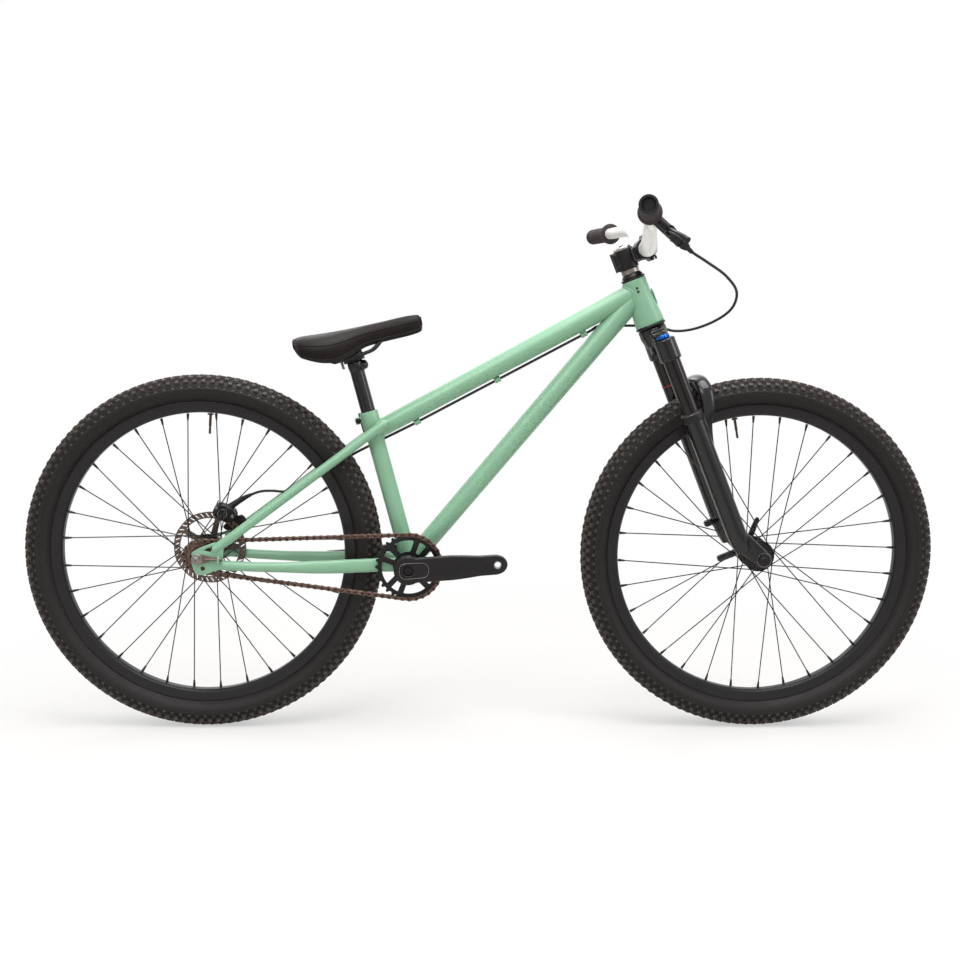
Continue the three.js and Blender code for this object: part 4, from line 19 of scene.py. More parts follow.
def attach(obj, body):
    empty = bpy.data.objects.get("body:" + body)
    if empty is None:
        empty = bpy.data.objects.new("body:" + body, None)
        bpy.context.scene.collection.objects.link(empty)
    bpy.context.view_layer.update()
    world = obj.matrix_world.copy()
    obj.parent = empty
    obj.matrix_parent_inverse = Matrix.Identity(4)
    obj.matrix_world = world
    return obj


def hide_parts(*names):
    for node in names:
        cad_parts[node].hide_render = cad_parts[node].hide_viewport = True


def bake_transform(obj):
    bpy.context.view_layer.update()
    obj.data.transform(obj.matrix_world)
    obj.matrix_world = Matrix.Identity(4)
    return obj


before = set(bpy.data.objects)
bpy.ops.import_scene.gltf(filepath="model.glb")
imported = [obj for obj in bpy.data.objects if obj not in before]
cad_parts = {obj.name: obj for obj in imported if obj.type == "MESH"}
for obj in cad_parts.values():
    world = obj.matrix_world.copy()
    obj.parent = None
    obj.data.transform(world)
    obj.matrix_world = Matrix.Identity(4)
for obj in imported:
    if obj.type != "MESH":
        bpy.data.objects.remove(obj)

log = logging.getLogger("bike")
logging.basicConfig(level=logging.INFO, format="%(message)s")

MM = 0.001
AXIS_X = Vector((1, 0, 0))
AXIS_Y = Vector((0, 1, 0))
AXIS_Z = Vector((0, 0, 1))

Pairs = tuple[tuple[float, float], ...]
Triples = tuple[tuple[float, float, float], ...]
Quads = tuple[tuple[float, float, float, float], ...]
Corners = Sequence[Sequence[float]]


class Body(Enum):
    """The moving bodies that a piece can ride on."""

    FRAME = "frame"
    STEERING = "steering"
    KNOB = "knob"
    LEVER_BLADE = "lever_blade"
    LOWERS = "lowers"
    AXLE_LEVER = "axle_lever"
    FRONT_WHEEL = "front_wheel"
    REAR_WHEEL = "rear_wheel"
    SPROCKET = "sprocket"
    CRANK = "crank"
    SEAT = "seat"


class Side(Enum):
    """Which side of the bike a piece is on, as the sign of its Y."""

    RIGHT = -1
    LEFT = 1

    @property
    def word(self) -> str:
        """The side as it stands in node names."""
        return self.name.lower()


class Grain(Enum):
    """How the surface of a finish is broken up."""

    CLOUDY = "soft noise, as on paint and moulded plastic"
    PEBBLED = "small cells, as on embossed leather cloth"
    BRUSHED = "noise drawn out along one way, as on brushed or drawn metal"


def linear(code: str) -> tuple[float, float, float, float]:
    """Turns an sRGB hex colour to linear light.

    Args:
        code: A colour such as "#8fcbaa".

    Returns:
        Red, green, blue and an alpha of one.
    """
    parts = [int(code[i:i + 2], 16) / 255 for i in (1, 3, 5)]
    return (*[p / 12.92 if p <= 0.04045 else ((p + 0.055) / 1.055) ** 2.4 for p in parts], 1.0)


def add_node(tree: bpy.types.NodeTree, kind: str, settings: dict | None = None,
             inputs: dict | None = None) -> bpy.types.Node:
    """Adds a node with its settings and links.

    Args:
        tree: The tree that the node goes into.
        kind: The node's type name.
        settings: Properties to set on the node.
        inputs: For each input, by name or number, a value or the socket that feeds it.

    Returns:
        The new node.
    """
    node = tree.nodes.new(kind)
    for key, value in (settings or {}).items():
        setattr(node, key, value)
    for key, value in (inputs or {}).items():
        if isinstance(value, bpy.types.NodeSocket):
            tree.links.new(value, node.inputs[key])
        else:
            node.inputs[key].default_value = value
    return node


@dataclass(frozen=True)
class Finish:
    """One surface finish, with its colours, its gloss and what breaks them up."""

    name: str
    slot: str | None
    colour: str
    tint: str
    roughness: float
    spread: float = 0.08
    metallic: float = 0.0
    ior: float = 1.5
    specular: float = 0.5
    grain: Grain = Grain.CLOUDY
    grain_mm: float = 0.8
    grain_depth_mm: float = 0.02
    patch_mm: float = 40.0
    patch_share: float = 0.5
    speck: str | None = None
    speck_mm: float = 3.0
    speck_share: float = 0.3

    def material(self) -> bpy.types.Material:
        """Builds the node material once and returns it ever after.

        Returns:
            The material, named for the finish.
        """
        known = bpy.data.materials.get(self.name)
        if known is not None:
            return known
        made = bpy.data.materials.new(self.name)
        made.use_nodes = True
        tree = made.node_tree
        tree.nodes.clear()
        place = add_node(tree, "ShaderNodeTexCoord").outputs["Object"]
        patches = add_node(tree, "ShaderNodeTexNoise", inputs={
            "Vector": place, "Scale": 1 / (self.patch_mm * MM), "Detail": 3.0, "Roughness": 0.6})
        share = add_node(tree, "ShaderNodeMapRange", inputs={
            "Value": patches.outputs["Fac"], "From Min": 0.3, "From Max": 0.7,
            "To Min": 0.0, "To Max": self.patch_share})
        colour = add_node(tree, "ShaderNodeMix", {"data_type": "RGBA"}, {
            0: share.outputs["Result"], 6: linear(self.colour), 7: linear(self.tint)}).outputs[2]
        if self.speck:
            colour = self._specked(tree, place, colour)
        roughness = add_node(tree, "ShaderNodeMapRange", inputs={
            "Value": patches.outputs["Fac"], "From Min": 0.3, "From Max": 0.7,
            "To Min": self.roughness - self.spread / 2, "To Max": self.roughness + self.spread / 2})
        bump = add_node(tree, "ShaderNodeBump", inputs={
            "Height": self._grain_height(tree, place), "Distance": self.grain_depth_mm * MM,
            "Strength": 1.0})
        shader = add_node(tree, "ShaderNodeBsdfPrincipled", inputs={
            "Base Color": colour, "Roughness": roughness.outputs["Result"],
            "Metallic": self.metallic, "Specular IOR Level": self.specular,
            "Normal": bump.outputs["Normal"]})
        if not self.metallic:
            shader.inputs["IOR"].default_value = self.ior
        add_node(tree, "ShaderNodeOutputMaterial", inputs={"Surface": shader.outputs["BSDF"]})
        return made

    def _specked(self, tree: bpy.types.NodeTree, place: bpy.types.NodeSocket,
                 colour: bpy.types.NodeSocket) -> bpy.types.NodeSocket:
        """Lays dust, wear or a second tone over the colour.

        Args:
            tree: The material's tree.
            place: The socket that gives the place on the piece.
            colour: The socket with the colour so far.

        Returns:
            The socket with the mixed colour.
        """
        dots = add_node(tree, "ShaderNodeTexNoise", inputs={
            "Vector": place, "Scale": 1 / (self.speck_mm * MM), "Detail": 4.0, "Roughness": 0.7})
        share = add_node(tree, "ShaderNodeMapRange", inputs={
            "Value": dots.outputs["Fac"], "From Min": 0.52, "From Max": 0.68,
            "To Min": 0.0, "To Max": self.speck_share})
        return add_node(tree, "ShaderNodeMix", {"data_type": "RGBA"}, {
            0: share.outputs["Result"], 6: colour, 7: linear(self.speck)}).outputs[2]

    def _grain_height(self, tree: bpy.types.NodeTree,
                      place: bpy.types.NodeSocket) -> bpy.types.NodeSocket:
        """Makes the small relief that the bump reads.

        Args:
            tree: The material's tree.
            place: The socket that gives the place on the piece.

        Returns:
            The socket with the height, from 0 to 1.
        """
        scale = 1 / (self.grain_mm * MM)
        if self.grain is Grain.PEBBLED:
            return add_node(tree, "ShaderNodeTexVoronoi", {"feature": "DISTANCE_TO_EDGE"}, {
                "Vector": place, "Scale": scale}).outputs["Distance"]
        if self.grain is Grain.BRUSHED:
            drawn = add_node(tree, "ShaderNodeMapping", inputs={
                "Vector": place, "Scale": (1.0, 0.08, 1.0)}).outputs["Vector"]
            return add_node(tree, "ShaderNodeTexNoise", inputs={
                "Vector": drawn, "Scale": scale, "Detail": 2.0}).outputs["Fac"]
        return add_node(tree, "ShaderNodeTexNoise", inputs={
            "Vector": place, "Scale": scale, "Detail": 2.0}).outputs["Fac"]


# Powder-coated enamel on steel tube: even colour and a soft sheen with a faint ripple
MINT_ENAMEL = Finish("mint_enamel_on_steel", "mint_paint", "#7fab8c", "#78a486", 0.33,
                     grain_mm=9.0, grain_depth_mm=0.01, patch_mm=60)
# Moulded tyre rubber: dull black, greyed by dust, with a fine mould texture
TYRE_RUBBER = Finish("moulded_tyre_rubber", "tyre_rubber", "#1a1717", "#211e1d", 0.55, spread=0.14,
                     specular=0.22, grain_mm=1.1, grain_depth_mm=0.04, patch_mm=30, speck="#4a423e",
                     speck_mm=5, speck_share=0.12)
# The tread's knobs: the same rubber, paler than the carcass, with pale dust specks
TREAD_RUBBER = Finish("scuffed_tread_rubber", "tyre_rubber", "#332c2a", "#252020", 0.6, spread=0.16,
                      specular=0.4, grain_mm=0.9, grain_depth_mm=0.06, patch_mm=12, speck="#85796f",
                      speck_mm=4, speck_share=0.35)
# Soft moulded grip rubber: matt and warm grey
GRIP_RUBBER = Finish("moulded_grip_rubber", "grip_rubber", "#362f2f", "#2d2727", 0.62,
                     specular=0.3, grain_mm=0.7, grain_depth_mm=0.05, patch_mm=20)
# Embossed synthetic leather stretched over foam: a small pebble grain with a low sheen
SADDLE_LEATHER = Finish("embossed_saddle_leather", "saddle_cover", "#150f0f", "#1b1414", 0.5,
                        spread=0.12, specular=0.14, grain=Grain.PEBBLED, grain_mm=1.5,
                        grain_depth_mm=0.05, patch_mm=35)
# Glass-filled nylon, moulded: satin black
BLACK_NYLON = Finish("moulded_black_nylon", "black_plastic", "#151314", "#1c1a1a", 0.48,
                     specular=0.28, grain_mm=0.6, grain_depth_mm=0.03, patch_mm=18)
# Extruded hose cover: smooth black with a soft gloss
HOSE_JACKET = Finish("extruded_hose_jacket", "hose_cover", "#1c1a1c", "#242224", 0.42,
                     specular=0.35, grain_mm=0.9, grain_depth_mm=0.004, patch_mm=25)
# Ground and brushed steel: grey metal with drawn lines
BRUSHED_STEEL = Finish("brushed_steel", "bare_steel", "#8b8683", "#6c6562", 0.34, spread=0.12,
                       metallic=1.0, grain=Grain.BRUSHED, grain_mm=0.5, grain_depth_mm=0.02,
                       patch_mm=15)
# Rotor steel: browner and duller, tinted by the heat of braking
ROTOR_STEEL = Finish("heat_tinted_rotor_steel", "bare_steel", "#6f625b", "#564b46", 0.36,
                     spread=0.12, metallic=1.0, grain=Grain.BRUSHED, grain_mm=0.5,
                     grain_depth_mm=0.02, patch_mm=14)
# Copper-brown coated chain steel: pale specks over a dark ground
CHAIN_STEEL = Finish("brown_coated_chain_steel", "chain_steel", "#604c43", "#3b2f2a", 0.4,
                     spread=0.15, metallic=0.85, grain_mm=0.8, grain_depth_mm=0.03, patch_mm=9,
                     speck="#b39f92", speck_mm=3, speck_share=0.5)
# Polished aluminium tube with a deep gloss, its near-white colour a painted reflection of the pale
# room
POLISHED_BAR = Finish("white_lacquer_on_polished_bar", "bar_silver", "#f4f3f1", "#eae8e5", 0.2,
                      grain_mm=0.9, grain_depth_mm=0.004, patch_mm=30)
# Machined bright aluminium: the top cap
BRIGHT_ALUMINIUM = Finish("machined_bright_aluminium", "bar_silver", "#b4b0ac", "#948e89", 0.3,
                          metallic=1.0, grain=Grain.BRUSHED, grain_mm=0.4, grain_depth_mm=0.01,
                          patch_mm=10)
# Blue dye under clear anodising: coloured metal
BLUE_ANODISED = Finish("blue_anodised_aluminium", "blue_anodised", "#1f5db4", "#184f9f", 0.3,
                       metallic=0.9, grain_mm=0.5, grain_depth_mm=0.01, patch_mm=8)
# Black anodising on machined aluminium: satin, with a faint grey lift on the turns
DARK_ANODISED = Finish("black_anodised_aluminium", "dark_anodised", "#1e1c1d", "#171616", 0.34,
                       metallic=0.5, specular=0.4, grain_mm=0.5, grain_depth_mm=0.012, patch_mm=14)
# Black anodised rim: rolled and machined, smoother and a little paler
RIM_ANODISED = Finish("black_anodised_rim", "dark_anodised", "#211f20", "#1a1819", 0.34,
                      metallic=0.3, specular=0.3, grain_mm=0.7, grain_depth_mm=0.012, patch_mm=50)
# Black enamel on cast magnesium: deep gloss over a soft cast surface
GLOSS_ENAMEL = Finish("black_enamel_on_magnesium", "gloss_black_paint", "#0f0e0f", "#141213", 0.2,
                      specular=0.42, grain_mm=3.0, grain_depth_mm=0.03, patch_mm=40)
# Black-oxide drawn wire
BLACK_WIRE = Finish("black_oxide_wire", "black_steel", "#2b2929", "#222020", 0.35, metallic=0.7,
                    grain_mm=0.4, grain_depth_mm=0.01, patch_mm=20)
# Bead-blasted and anodised aluminium: even satin black
SATIN_METAL = Finish("satin_black_aluminium", "satin_black_metal", "#171516", "#1e1c1c", 0.38,
                     metallic=0.35, specular=0.35, grain_mm=0.5, grain_depth_mm=0.015, patch_mm=20)
# Bright metal lines and rings on the forgings: some are machined edges where the black is cut
# through, some are painted highlights on the stem, the crank's edge and the fork's axle foot
EDGE_CUT_AND_PAINTED_HIGHLIGHT = Finish("machined_edge_through_black", "bare_steel", "#8f8a86", "#736e6b", 0.28,
                  metallic=1.0, grain=Grain.BRUSHED, grain_mm=0.3, grain_depth_mm=0.01, patch_mm=9)
# Hard-anodised and honed fork tube: black mirror
HONED_TUBE = Finish("honed_black_fork_tube", "satin_black_metal", "#2a2728", "#312e2e", 0.12,
                    spread=0.04, metallic=0.85, grain=Grain.BRUSHED, grain_mm=0.4,
                    grain_depth_mm=0.003, patch_mm=25)
# Brass darkened with painted shade: valve stems
BRASS_WITH_PAINTED_SHADE = Finish("aged_brass", None, "#52423a", "#3a2e29", 0.38, metallic=0.85,
                    grain_mm=0.4, grain_depth_mm=0.02, patch_mm=6)
# Moulded red rubber: the travel ring on the fork
RED_RUBBER = Finish("moulded_red_rubber", None, "#b3272d", "#9c2127", 0.5, grain_mm=0.5,
                    grain_depth_mm=0.01, patch_mm=8)


@dataclass
class Shape:
    """Points and faces of a mesh, in millimetres."""

    points: list[Vector] = field(default_factory=list)
    faces: list[tuple[int, ...]] = field(default_factory=list)

    def __add__(self, other: "Shape") -> "Shape":
        """Both shapes in one."""
        moved = [tuple(i + len(self.points) for i in face) for face in other.faces]
        return Shape(self.points + other.points, self.faces + moved)

    def moved(self, place: Matrix) -> "Shape":
        """The shape carried into another frame."""
        return Shape([place @ p for p in self.points], list(self.faces))

    def mirrored(self) -> "Shape":
        """The shape on the other side of the middle plane, with its faces turned outwards."""
        flipped = [Vector((p.x, -p.y, p.z)) for p in self.points]
        return Shape(flipped, [tuple(reversed(face)) for face in self.faces])

    def on(self, side: Side) -> "Shape":
        """The shape on one side, as it is if it is the left."""
        return self if side is Side.LEFT else self.mirrored()

    def mesh(self, name: str, scale: float = 1.0) -> bpy.types.Mesh:
        """Makes a mesh of it, with doubles merged and faces turned outwards.

        Args:
            name: The mesh's name.
            scale: What the points are multiplied by.

        Returns:
            The new mesh.
        """
        made = bpy.data.meshes.new(name)
        made.from_pydata([tuple(p * scale) for p in self.points], [], self.faces)
        tidy = bmesh.new()
        tidy.from_mesh(made)
        bmesh.ops.remove_doubles(tidy, verts=tidy.verts, dist=0.001 * scale)
        bmesh.ops.recalc_face_normals(tidy, faces=tidy.faces)
        tidy.to_mesh(made)
        tidy.free()
        return made


def read_back(source: bpy.types.Object) -> Shape:
    """Takes an object's final mesh, modifiers included, and removes the object.

    Args:
        source: The object, whose mesh is in millimetres.

    Returns:
        Its shape.
    """
    bpy.context.view_layer.update()
    made = bpy.data.meshes.new_from_object(
        source.evaluated_get(bpy.context.evaluated_depsgraph_get()))
    shape = Shape([v.co.copy() for v in made.vertices], [tuple(p.vertices) for p in made.polygons])
    bpy.data.meshes.remove(made)
    bpy.data.objects.remove(source)
    return shape


def scratch(shape: Shape, name: str = "scratch") -> bpy.types.Object:
    """Makes a helper object in millimetres, for modifiers to work on.

    Args:
        shape: Its shape.
        name: Its name.

    Returns:
        The object, which is in the scene.
    """
    made = bpy.data.objects.new(name, shape.mesh(name))
    bpy.context.scene.collection.objects.link(made)
    return made


def joined(shapes: Sequence[Shape]) -> Shape:
    """All the shapes in one."""
    return sum(shapes, Shape())


def cast(shapes: Sequence[Shape], voxel: float, rounds: int) -> Shape:
    """Melts overlapping shapes into one skin with soft inner corners, as a casting has.

    Args:
        shapes: The shapes to melt together.
        voxel: The size of the skin's cells.
        rounds: How many times the skin is smoothed.

    Returns:
        The cast shape.
    """
    body = scratch(joined(shapes), "casting")
    remesh = body.modifiers.new("melt", "REMESH")
    remesh.mode = "VOXEL"
    remesh.voxel_size = voxel
    smooth = body.modifiers.new("soften", "SMOOTH")
    smooth.factor = 0.5
    smooth.iterations = rounds
    return read_back(body)


def thickened(skin: Shape, thickness: float) -> Shape:
    """Gives an open skin a thickness on its inner side.

    Args:
        skin: The skin.
        thickness: How far its inner face lies below it.

    Returns:
        The closed shape.
    """
    body = scratch(skin)
    wall = body.modifiers.new("thickness", "SOLIDIFY")
    wall.thickness, wall.offset = thickness, -1.0
    return read_back(body)


def framed(origin: Sequence[float], x: Vector, z: Vector) -> Matrix:
    """A frame with its origin at a point and two of its axes given."""
    turn = Matrix((x.normalized(), z.cross(x).normalized(), z.normalized())).transposed().to_4x4()
    return Matrix.Translation(Vector(origin)) @ turn


def along(start: Vector, end: Vector) -> Matrix:
    """A frame at the start whose Z runs towards the end, with Y as near the bike's Y as it goes."""
    z = (end - start).normalized()
    return framed(start, (AXIS_Y if abs(z.y) < 0.9 else AXIS_Z).cross(z), z)


def shifted(x: float = 0, y: float = 0, z: float = 0) -> Matrix:
    """A plain move."""
    return Matrix.Translation(Vector((x, y, z)))


def turned(degrees: float, axis: str) -> Matrix:
    """A plain turn about X, Y or Z."""
    return Matrix.Rotation(math.radians(degrees), 4, axis)


# Turns a shape made about Z so that its axis is Y
TO_Y = turned(-90, "X")


def fillet(line: Corners, radius: float, closed: bool = False, steps: int = 3) -> list[Vector]:
    """Rounds the corners of a line.

    Args:
        line: The corners, in two or three dimensions.
        radius: How far from each corner the rounding starts.
        closed: Whether the last corner joins the first.
        steps: How many edges a corner turns into.

    Returns:
        The rounded line's points.
    """
    points = [Vector(p) for p in line]
    made = []
    for i, here in enumerate(points):
        if not closed and i in (0, len(points) - 1):
            made.append(here)
            continue
        back = points[i - 1] - here
        ahead = points[(i + 1) % len(points)] - here
        reach_back = min(radius, back.length * 0.48)
        reach_ahead = min(radius, ahead.length * 0.48)
        start = here + back.normalized() * reach_back
        end = here + ahead.normalized() * reach_ahead
        for step in range(steps + 1):
            t = step / steps
            made.append(start * (1 - t) ** 2 + here * (2 * t * (1 - t)) + end * t * t)
    return made


def spline(line: Corners, count: int) -> list[Vector]:
    """Points on a smooth curve through given points, spaced by the roots of their distances.

    Args:
        line: The points that the curve passes through.
        count: How many spans the result has.

    Returns:
        One point more than there are spans.
    """
    points = [Vector(p) for p in line]
    ends = [points[0] * 2 - points[1], *points, points[-1] * 2 - points[-2]]
    made = []
    for step in range(count + 1):
        at = step * (len(points) - 1) / count
        i = min(int(at), len(points) - 2)
        t = at - i
        a, b, c, d = ends[i:i + 4]
        before, span, after = ((q - p).length ** 0.5 or 1 for p, q in ((a, b), (b, c), (c, d)))
        leave = ((b - a) / before - (c - a) / (before + span) + (c - b) / span) * span
        meet = ((c - b) / span - (d - b) / (span + after) + (d - c) / after) * span
        made.append(b + leave * t + (c * 3 - b * 3 - leave * 2 - meet) * t ** 2
                    + (b * 2 - c * 2 + leave + meet) * t ** 3)
    return made


def ring(radius: float, count: int, start: float = 0.0) -> list[Vector]:
    """Points round a circle in two dimensions, with the first at an angle in radians."""
    turns = [start + i * (2 * math.pi / count) for i in range(count)]
    return [Vector((radius * math.cos(turn), radius * math.sin(turn))) for turn in turns]


def polar(radius: float, degrees: float) -> Vector:
    """A point in two dimensions, at a radius and an angle."""
    angle = math.radians(degrees)
    return Vector((radius * math.cos(angle), radius * math.sin(angle)))


def lathe(profile: Corners, steps: int = 64) -> Shape:
    """Turns an outline about Z.

    Args:
        profile: Radius and height pairs. It closes on itself unless both ends are on the axis.
        steps: How many flats the turned shape has.

    Returns:
        The closed shape.
    """
    outline = [Vector(p) for p in profile]
    open_ended = outline[0].x < 1e-6 and outline[-1].x < 1e-6
    turns = [2 * math.pi * i / steps for i in range(steps)]
    points = [Vector((r.x * math.cos(turn), r.x * math.sin(turn), r.y))
              for turn in turns for r in outline]
    count = len(outline)
    last = count - 1 if open_ended else count
    faces = []
    for i in range(steps):
        here, there = i * count, ((i + 1) % steps) * count
        for j in range(last):
            k = (j + 1) % count
            faces.append((here + j, there + j, there + k, here + k))
    return Shape(points, faces)


def rounded(corners: Corners, radius: float, steps: int = 64) -> Shape:
    """Turns an outline about Z, with its corners rounded but for the first and the last."""
    return lathe(fillet(corners, radius), steps)


def sweep(path: Sequence[Vector], size: float | Callable[[float], tuple[float, float]],
          sides: int = 24, up: Vector = AXIS_Y) -> Shape:
    """Draws a bar of round or oval section along a path.

    Args:
        path: The points of the bar's middle line.
        size: Its radius, or a rule that gives the half sizes along and across `up` at a share.
        sides: How many flats the section has.
        up: The way that the first half size is measured.

    Returns:
        The closed shape.
    """
    lengths = [0.0]
    for a, b in zip(path, path[1:]):
        lengths.append(lengths[-1] + (b - a).length)
    points, normal = [], up
    for i, here in enumerate(path):
        tangent = (path[min(i + 1, len(path) - 1)] - path[max(i - 1, 0)]).normalized()
        normal = (normal - tangent * normal.dot(tangent)).normalized()
        side = tangent.cross(normal)
        fixed = isinstance(size, (int, float))
        wide, high = (size, size) if fixed else size(lengths[i] / lengths[-1])
        points += [here + normal * (p.x * wide) + side * (p.y * high) for p in ring(1, sides)]
    faces = [(i * sides + j, i * sides + (j + 1) % sides, (i + 1) * sides + (j + 1) % sides,
              (i + 1) * sides + j) for i in range(len(path) - 1) for j in range(sides)]
    last = (len(path) - 1) * sides
    return Shape(points, [*faces, tuple(range(sides)), tuple(range(last, last + sides))])


def area(outline: Sequence[Vector]) -> float:
    """The signed area inside a closed outline in two dimensions."""
    return sum(a.x * b.y - b.x * a.y for a, b in zip(outline, [*outline[1:], outline[0]])) / 2


def inset(outline: Sequence[Vector], reach: float) -> list[Vector]:
    """Moves a closed outline to its left.

    Args:
        outline: The outline's points, in two dimensions.
        reach: How far each edge moves.

    Returns:
        The moved outline.
    """
    made = []
    for i, here in enumerate(outline):
        before = (here - outline[i - 1]).normalized()
        after = (outline[(i + 1) % len(outline)] - here).normalized()
        middle = (before + after).normalized() if (before + after).length > 1e-6 else before
        lean = max(0.4, middle.dot(before))
        made.append(here + Vector((-middle.y, middle.x)) * (reach / lean))
    return made


def plate(outline: Corners, low: float, high: float, holes: Sequence[Corners] = (),
          edge: float = 0.5, steps: int = 2) -> Shape:
    """Cuts a plate from an outline in the X-Z plane, with its edges rounded over.

    Args:
        outline: The outer corners.
        low: The plate's lower Y.
        high: Its upper Y.
        holes: The corners of each hole.
        edge: How far the edge is rounded over.
        steps: How many flats that rounding has.

    Returns:
        The closed shape.
    """
    loops = []
    for number, line in enumerate([outline, *holes]):
        loop = [Vector(p[:2]) for p in line]
        loops.append(loop if (area(loop) > 0) == (number == 0) else loop[::-1])
    turns = [math.pi / 2 * i / steps for i in range(steps + 1)]
    arcs = [(edge * (1 - math.sin(turn)), edge * (1 - math.cos(turn))) for turn in turns]
    layers = [(reach, low + drop) for reach, drop in arcs]
    layers += [(reach, high - drop) for reach, drop in reversed(arcs)]
    points, faces, caps = [], [], ([], [])
    for loop in loops:
        base = len(points)
        for reach, y in layers:
            points += [Vector((p.x, y, p.y)) for p in inset(loop, reach)]
        for layer in range(len(layers) - 1):
            for j in range(len(loop)):
                k = (j + 1) % len(loop)
                here = base + layer * len(loop)
                faces.append((here + j, here + k, here + len(loop) + k, here + len(loop) + j))
        caps[0].extend(range(base, base + len(loop)))
        top = base + (len(layers) - 1) * len(loop)
        caps[1].extend(range(top, top + len(loop)))
    flat = [[Vector((*p, 0)) for p in inset(loop, layers[0][0])] for loop in loops]
    for triangle in tessellate_polygon(flat):
        faces += [tuple(cap[i] for i in triangle) for cap in caps]
    return Shape(points, faces)


def block(x: float, y: float, z: float, edge: float) -> Shape:
    """A box about the origin with its edges rounded over."""
    corners = [(-x / 2, -z / 2), (x / 2, -z / 2), (x / 2, z / 2), (-x / 2, z / 2)]
    return plate(fillet(corners, edge, closed=True), -y / 2, y / 2, edge=edge)


def screw(head: float, height: float, socket: float) -> Shape:
    """A cap screw's head about Z, standing up from the origin, with a socket in its top."""
    top = [(p.x, p.y) for p in fillet([(head, 0), (head, height), (socket, height)], height * 0.3)]
    return lathe([(0, 0), (head, 0), *top[1:], (socket, height * 0.45), (0, height * 0.35)], 24)


class Repeater:
    """Geometry Nodes trees that repeat a part in a row, in a ring or along a line."""

    def __init__(self) -> None:
        """Builds both trees."""
        self.ring_tree = self._ring_tree()
        self.line_tree = self._line_tree()

    @staticmethod
    def _tree(name: str, sockets: dict[str, str]) -> tuple[bpy.types.NodeTree, bpy.types.Node]:
        """Starts a tree with named inputs and one geometry output.

        Args:
            name: The tree's name.
            sockets: Each input's name and socket type.

        Returns:
            The tree and its input node.
        """
        tree = bpy.data.node_groups.new(name, "GeometryNodeTree")
        tree.interface.new_socket("Geometry", in_out="INPUT", socket_type="NodeSocketGeometry")
        for socket, kind in sockets.items():
            tree.interface.new_socket(socket, in_out="INPUT", socket_type=kind)
        tree.interface.new_socket("Geometry", in_out="OUTPUT", socket_type="NodeSocketGeometry")
        return tree, add_node(tree, "NodeGroupInput")

    @staticmethod
    def _end(tree: bpy.types.NodeTree, copies: bpy.types.NodeSocket,
             finish: bpy.types.NodeSocket) -> None:
        """Ends a tree: real meshes, with their material.

        Args:
            tree: The tree.
            copies: The socket with the instances.
            finish: The socket with the material.
        """
        real = add_node(tree, "GeometryNodeRealizeInstances", inputs={"Geometry": copies})
        dressed = add_node(tree, "GeometryNodeSetMaterial", inputs={
            "Geometry": real.outputs["Geometry"], "Material": finish})
        add_node(tree, "NodeGroupOutput", inputs={"Geometry": dressed.outputs["Geometry"]})

    def _ring_tree(self) -> bpy.types.NodeTree:
        """Copies of a part, each moved and turned from the last by the same step."""
        tree, given = self._tree("repeat_in_a_ring_or_row", {
            "Part": "NodeSocketObject", "Count": "NodeSocketInt", "Step": "NodeSocketVector",
            "Turn": "NodeSocketVector", "Finish": "NodeSocketMaterial"})
        part = add_node(tree, "GeometryNodeObjectInfo", inputs={"Object": given.outputs["Part"]})
        places = add_node(tree, "GeometryNodeMeshLine", {"mode": "OFFSET"}, {
            "Count": given.outputs["Count"], "Offset": given.outputs["Step"]})
        number = add_node(tree, "GeometryNodeInputIndex")
        turn = add_node(tree, "ShaderNodeVectorMath", {"operation": "SCALE"}, {
            0: given.outputs["Turn"], "Scale": number.outputs["Index"]})
        copies = add_node(tree, "GeometryNodeInstanceOnPoints", inputs={
            "Points": places.outputs["Mesh"], "Instance": part.outputs["Geometry"],
            "Rotation": turn.outputs["Vector"]})
        self._end(tree, copies.outputs["Instances"], given.outputs["Finish"])
        return tree

    def _line_tree(self) -> bpy.types.NodeTree:
        """Copies of a part at every second one of many even places along a closed line."""
        tree, given = self._tree("repeat_along_a_line", {
            "Part": "NodeSocketObject", "Count": "NodeSocketInt", "First": "NodeSocketInt",
            "Finish": "NodeSocketMaterial"})
        part = add_node(tree, "GeometryNodeObjectInfo", inputs={"Object": given.outputs["Part"]})
        even = add_node(tree, "GeometryNodeResampleCurve", inputs={
            "Curve": given.outputs["Geometry"], "Count": given.outputs["Count"]})
        places = add_node(tree, "GeometryNodeCurveToPoints", {"mode": "EVALUATED"}, {
            "Curve": even.outputs["Curve"]})
        number = add_node(tree, "GeometryNodeInputIndex")
        counted = add_node(tree, "ShaderNodeMath", {"operation": "ADD"}, {
            0: number.outputs["Index"], 1: given.outputs["First"]})
        odd = add_node(tree, "ShaderNodeMath", {"operation": "MODULO"}, {
            0: counted.outputs["Value"], 1: 2.0})
        facing = add_node(tree, "FunctionNodeAlignRotationToVector",
                          {"axis": "X", "pivot_axis": "Y"}, {"Vector": places.outputs["Tangent"]})
        copies = add_node(tree, "GeometryNodeInstanceOnPoints", inputs={
            "Points": places.outputs["Points"], "Selection": odd.outputs["Value"],
            "Instance": part.outputs["Geometry"], "Rotation": facing.outputs["Rotation"]})
        self._end(tree, copies.outputs["Instances"], given.outputs["Finish"])
        return tree

    @staticmethod
    def _run(holder: bpy.types.Object, tree: bpy.types.NodeTree, part: bpy.types.Object,
             values: dict[str, object]) -> Shape:
        """Runs a tree on a holder and reads the result back.

        Args:
            holder: The object that gets the modifier.
            tree: The tree to run.
            part: The part that is repeated.
            values: The tree's inputs by name.

        Returns:
            All the copies, in millimetres.
        """
        nodes = holder.modifiers.new("repeat", "NODES")
        nodes.node_group = tree
        for item in tree.interface.items_tree:
            if item.in_out == "INPUT" and item.name in values:
                nodes[item.identifier] = values[item.name]
        shape = read_back(holder)
        bpy.data.objects.remove(part)
        return shape

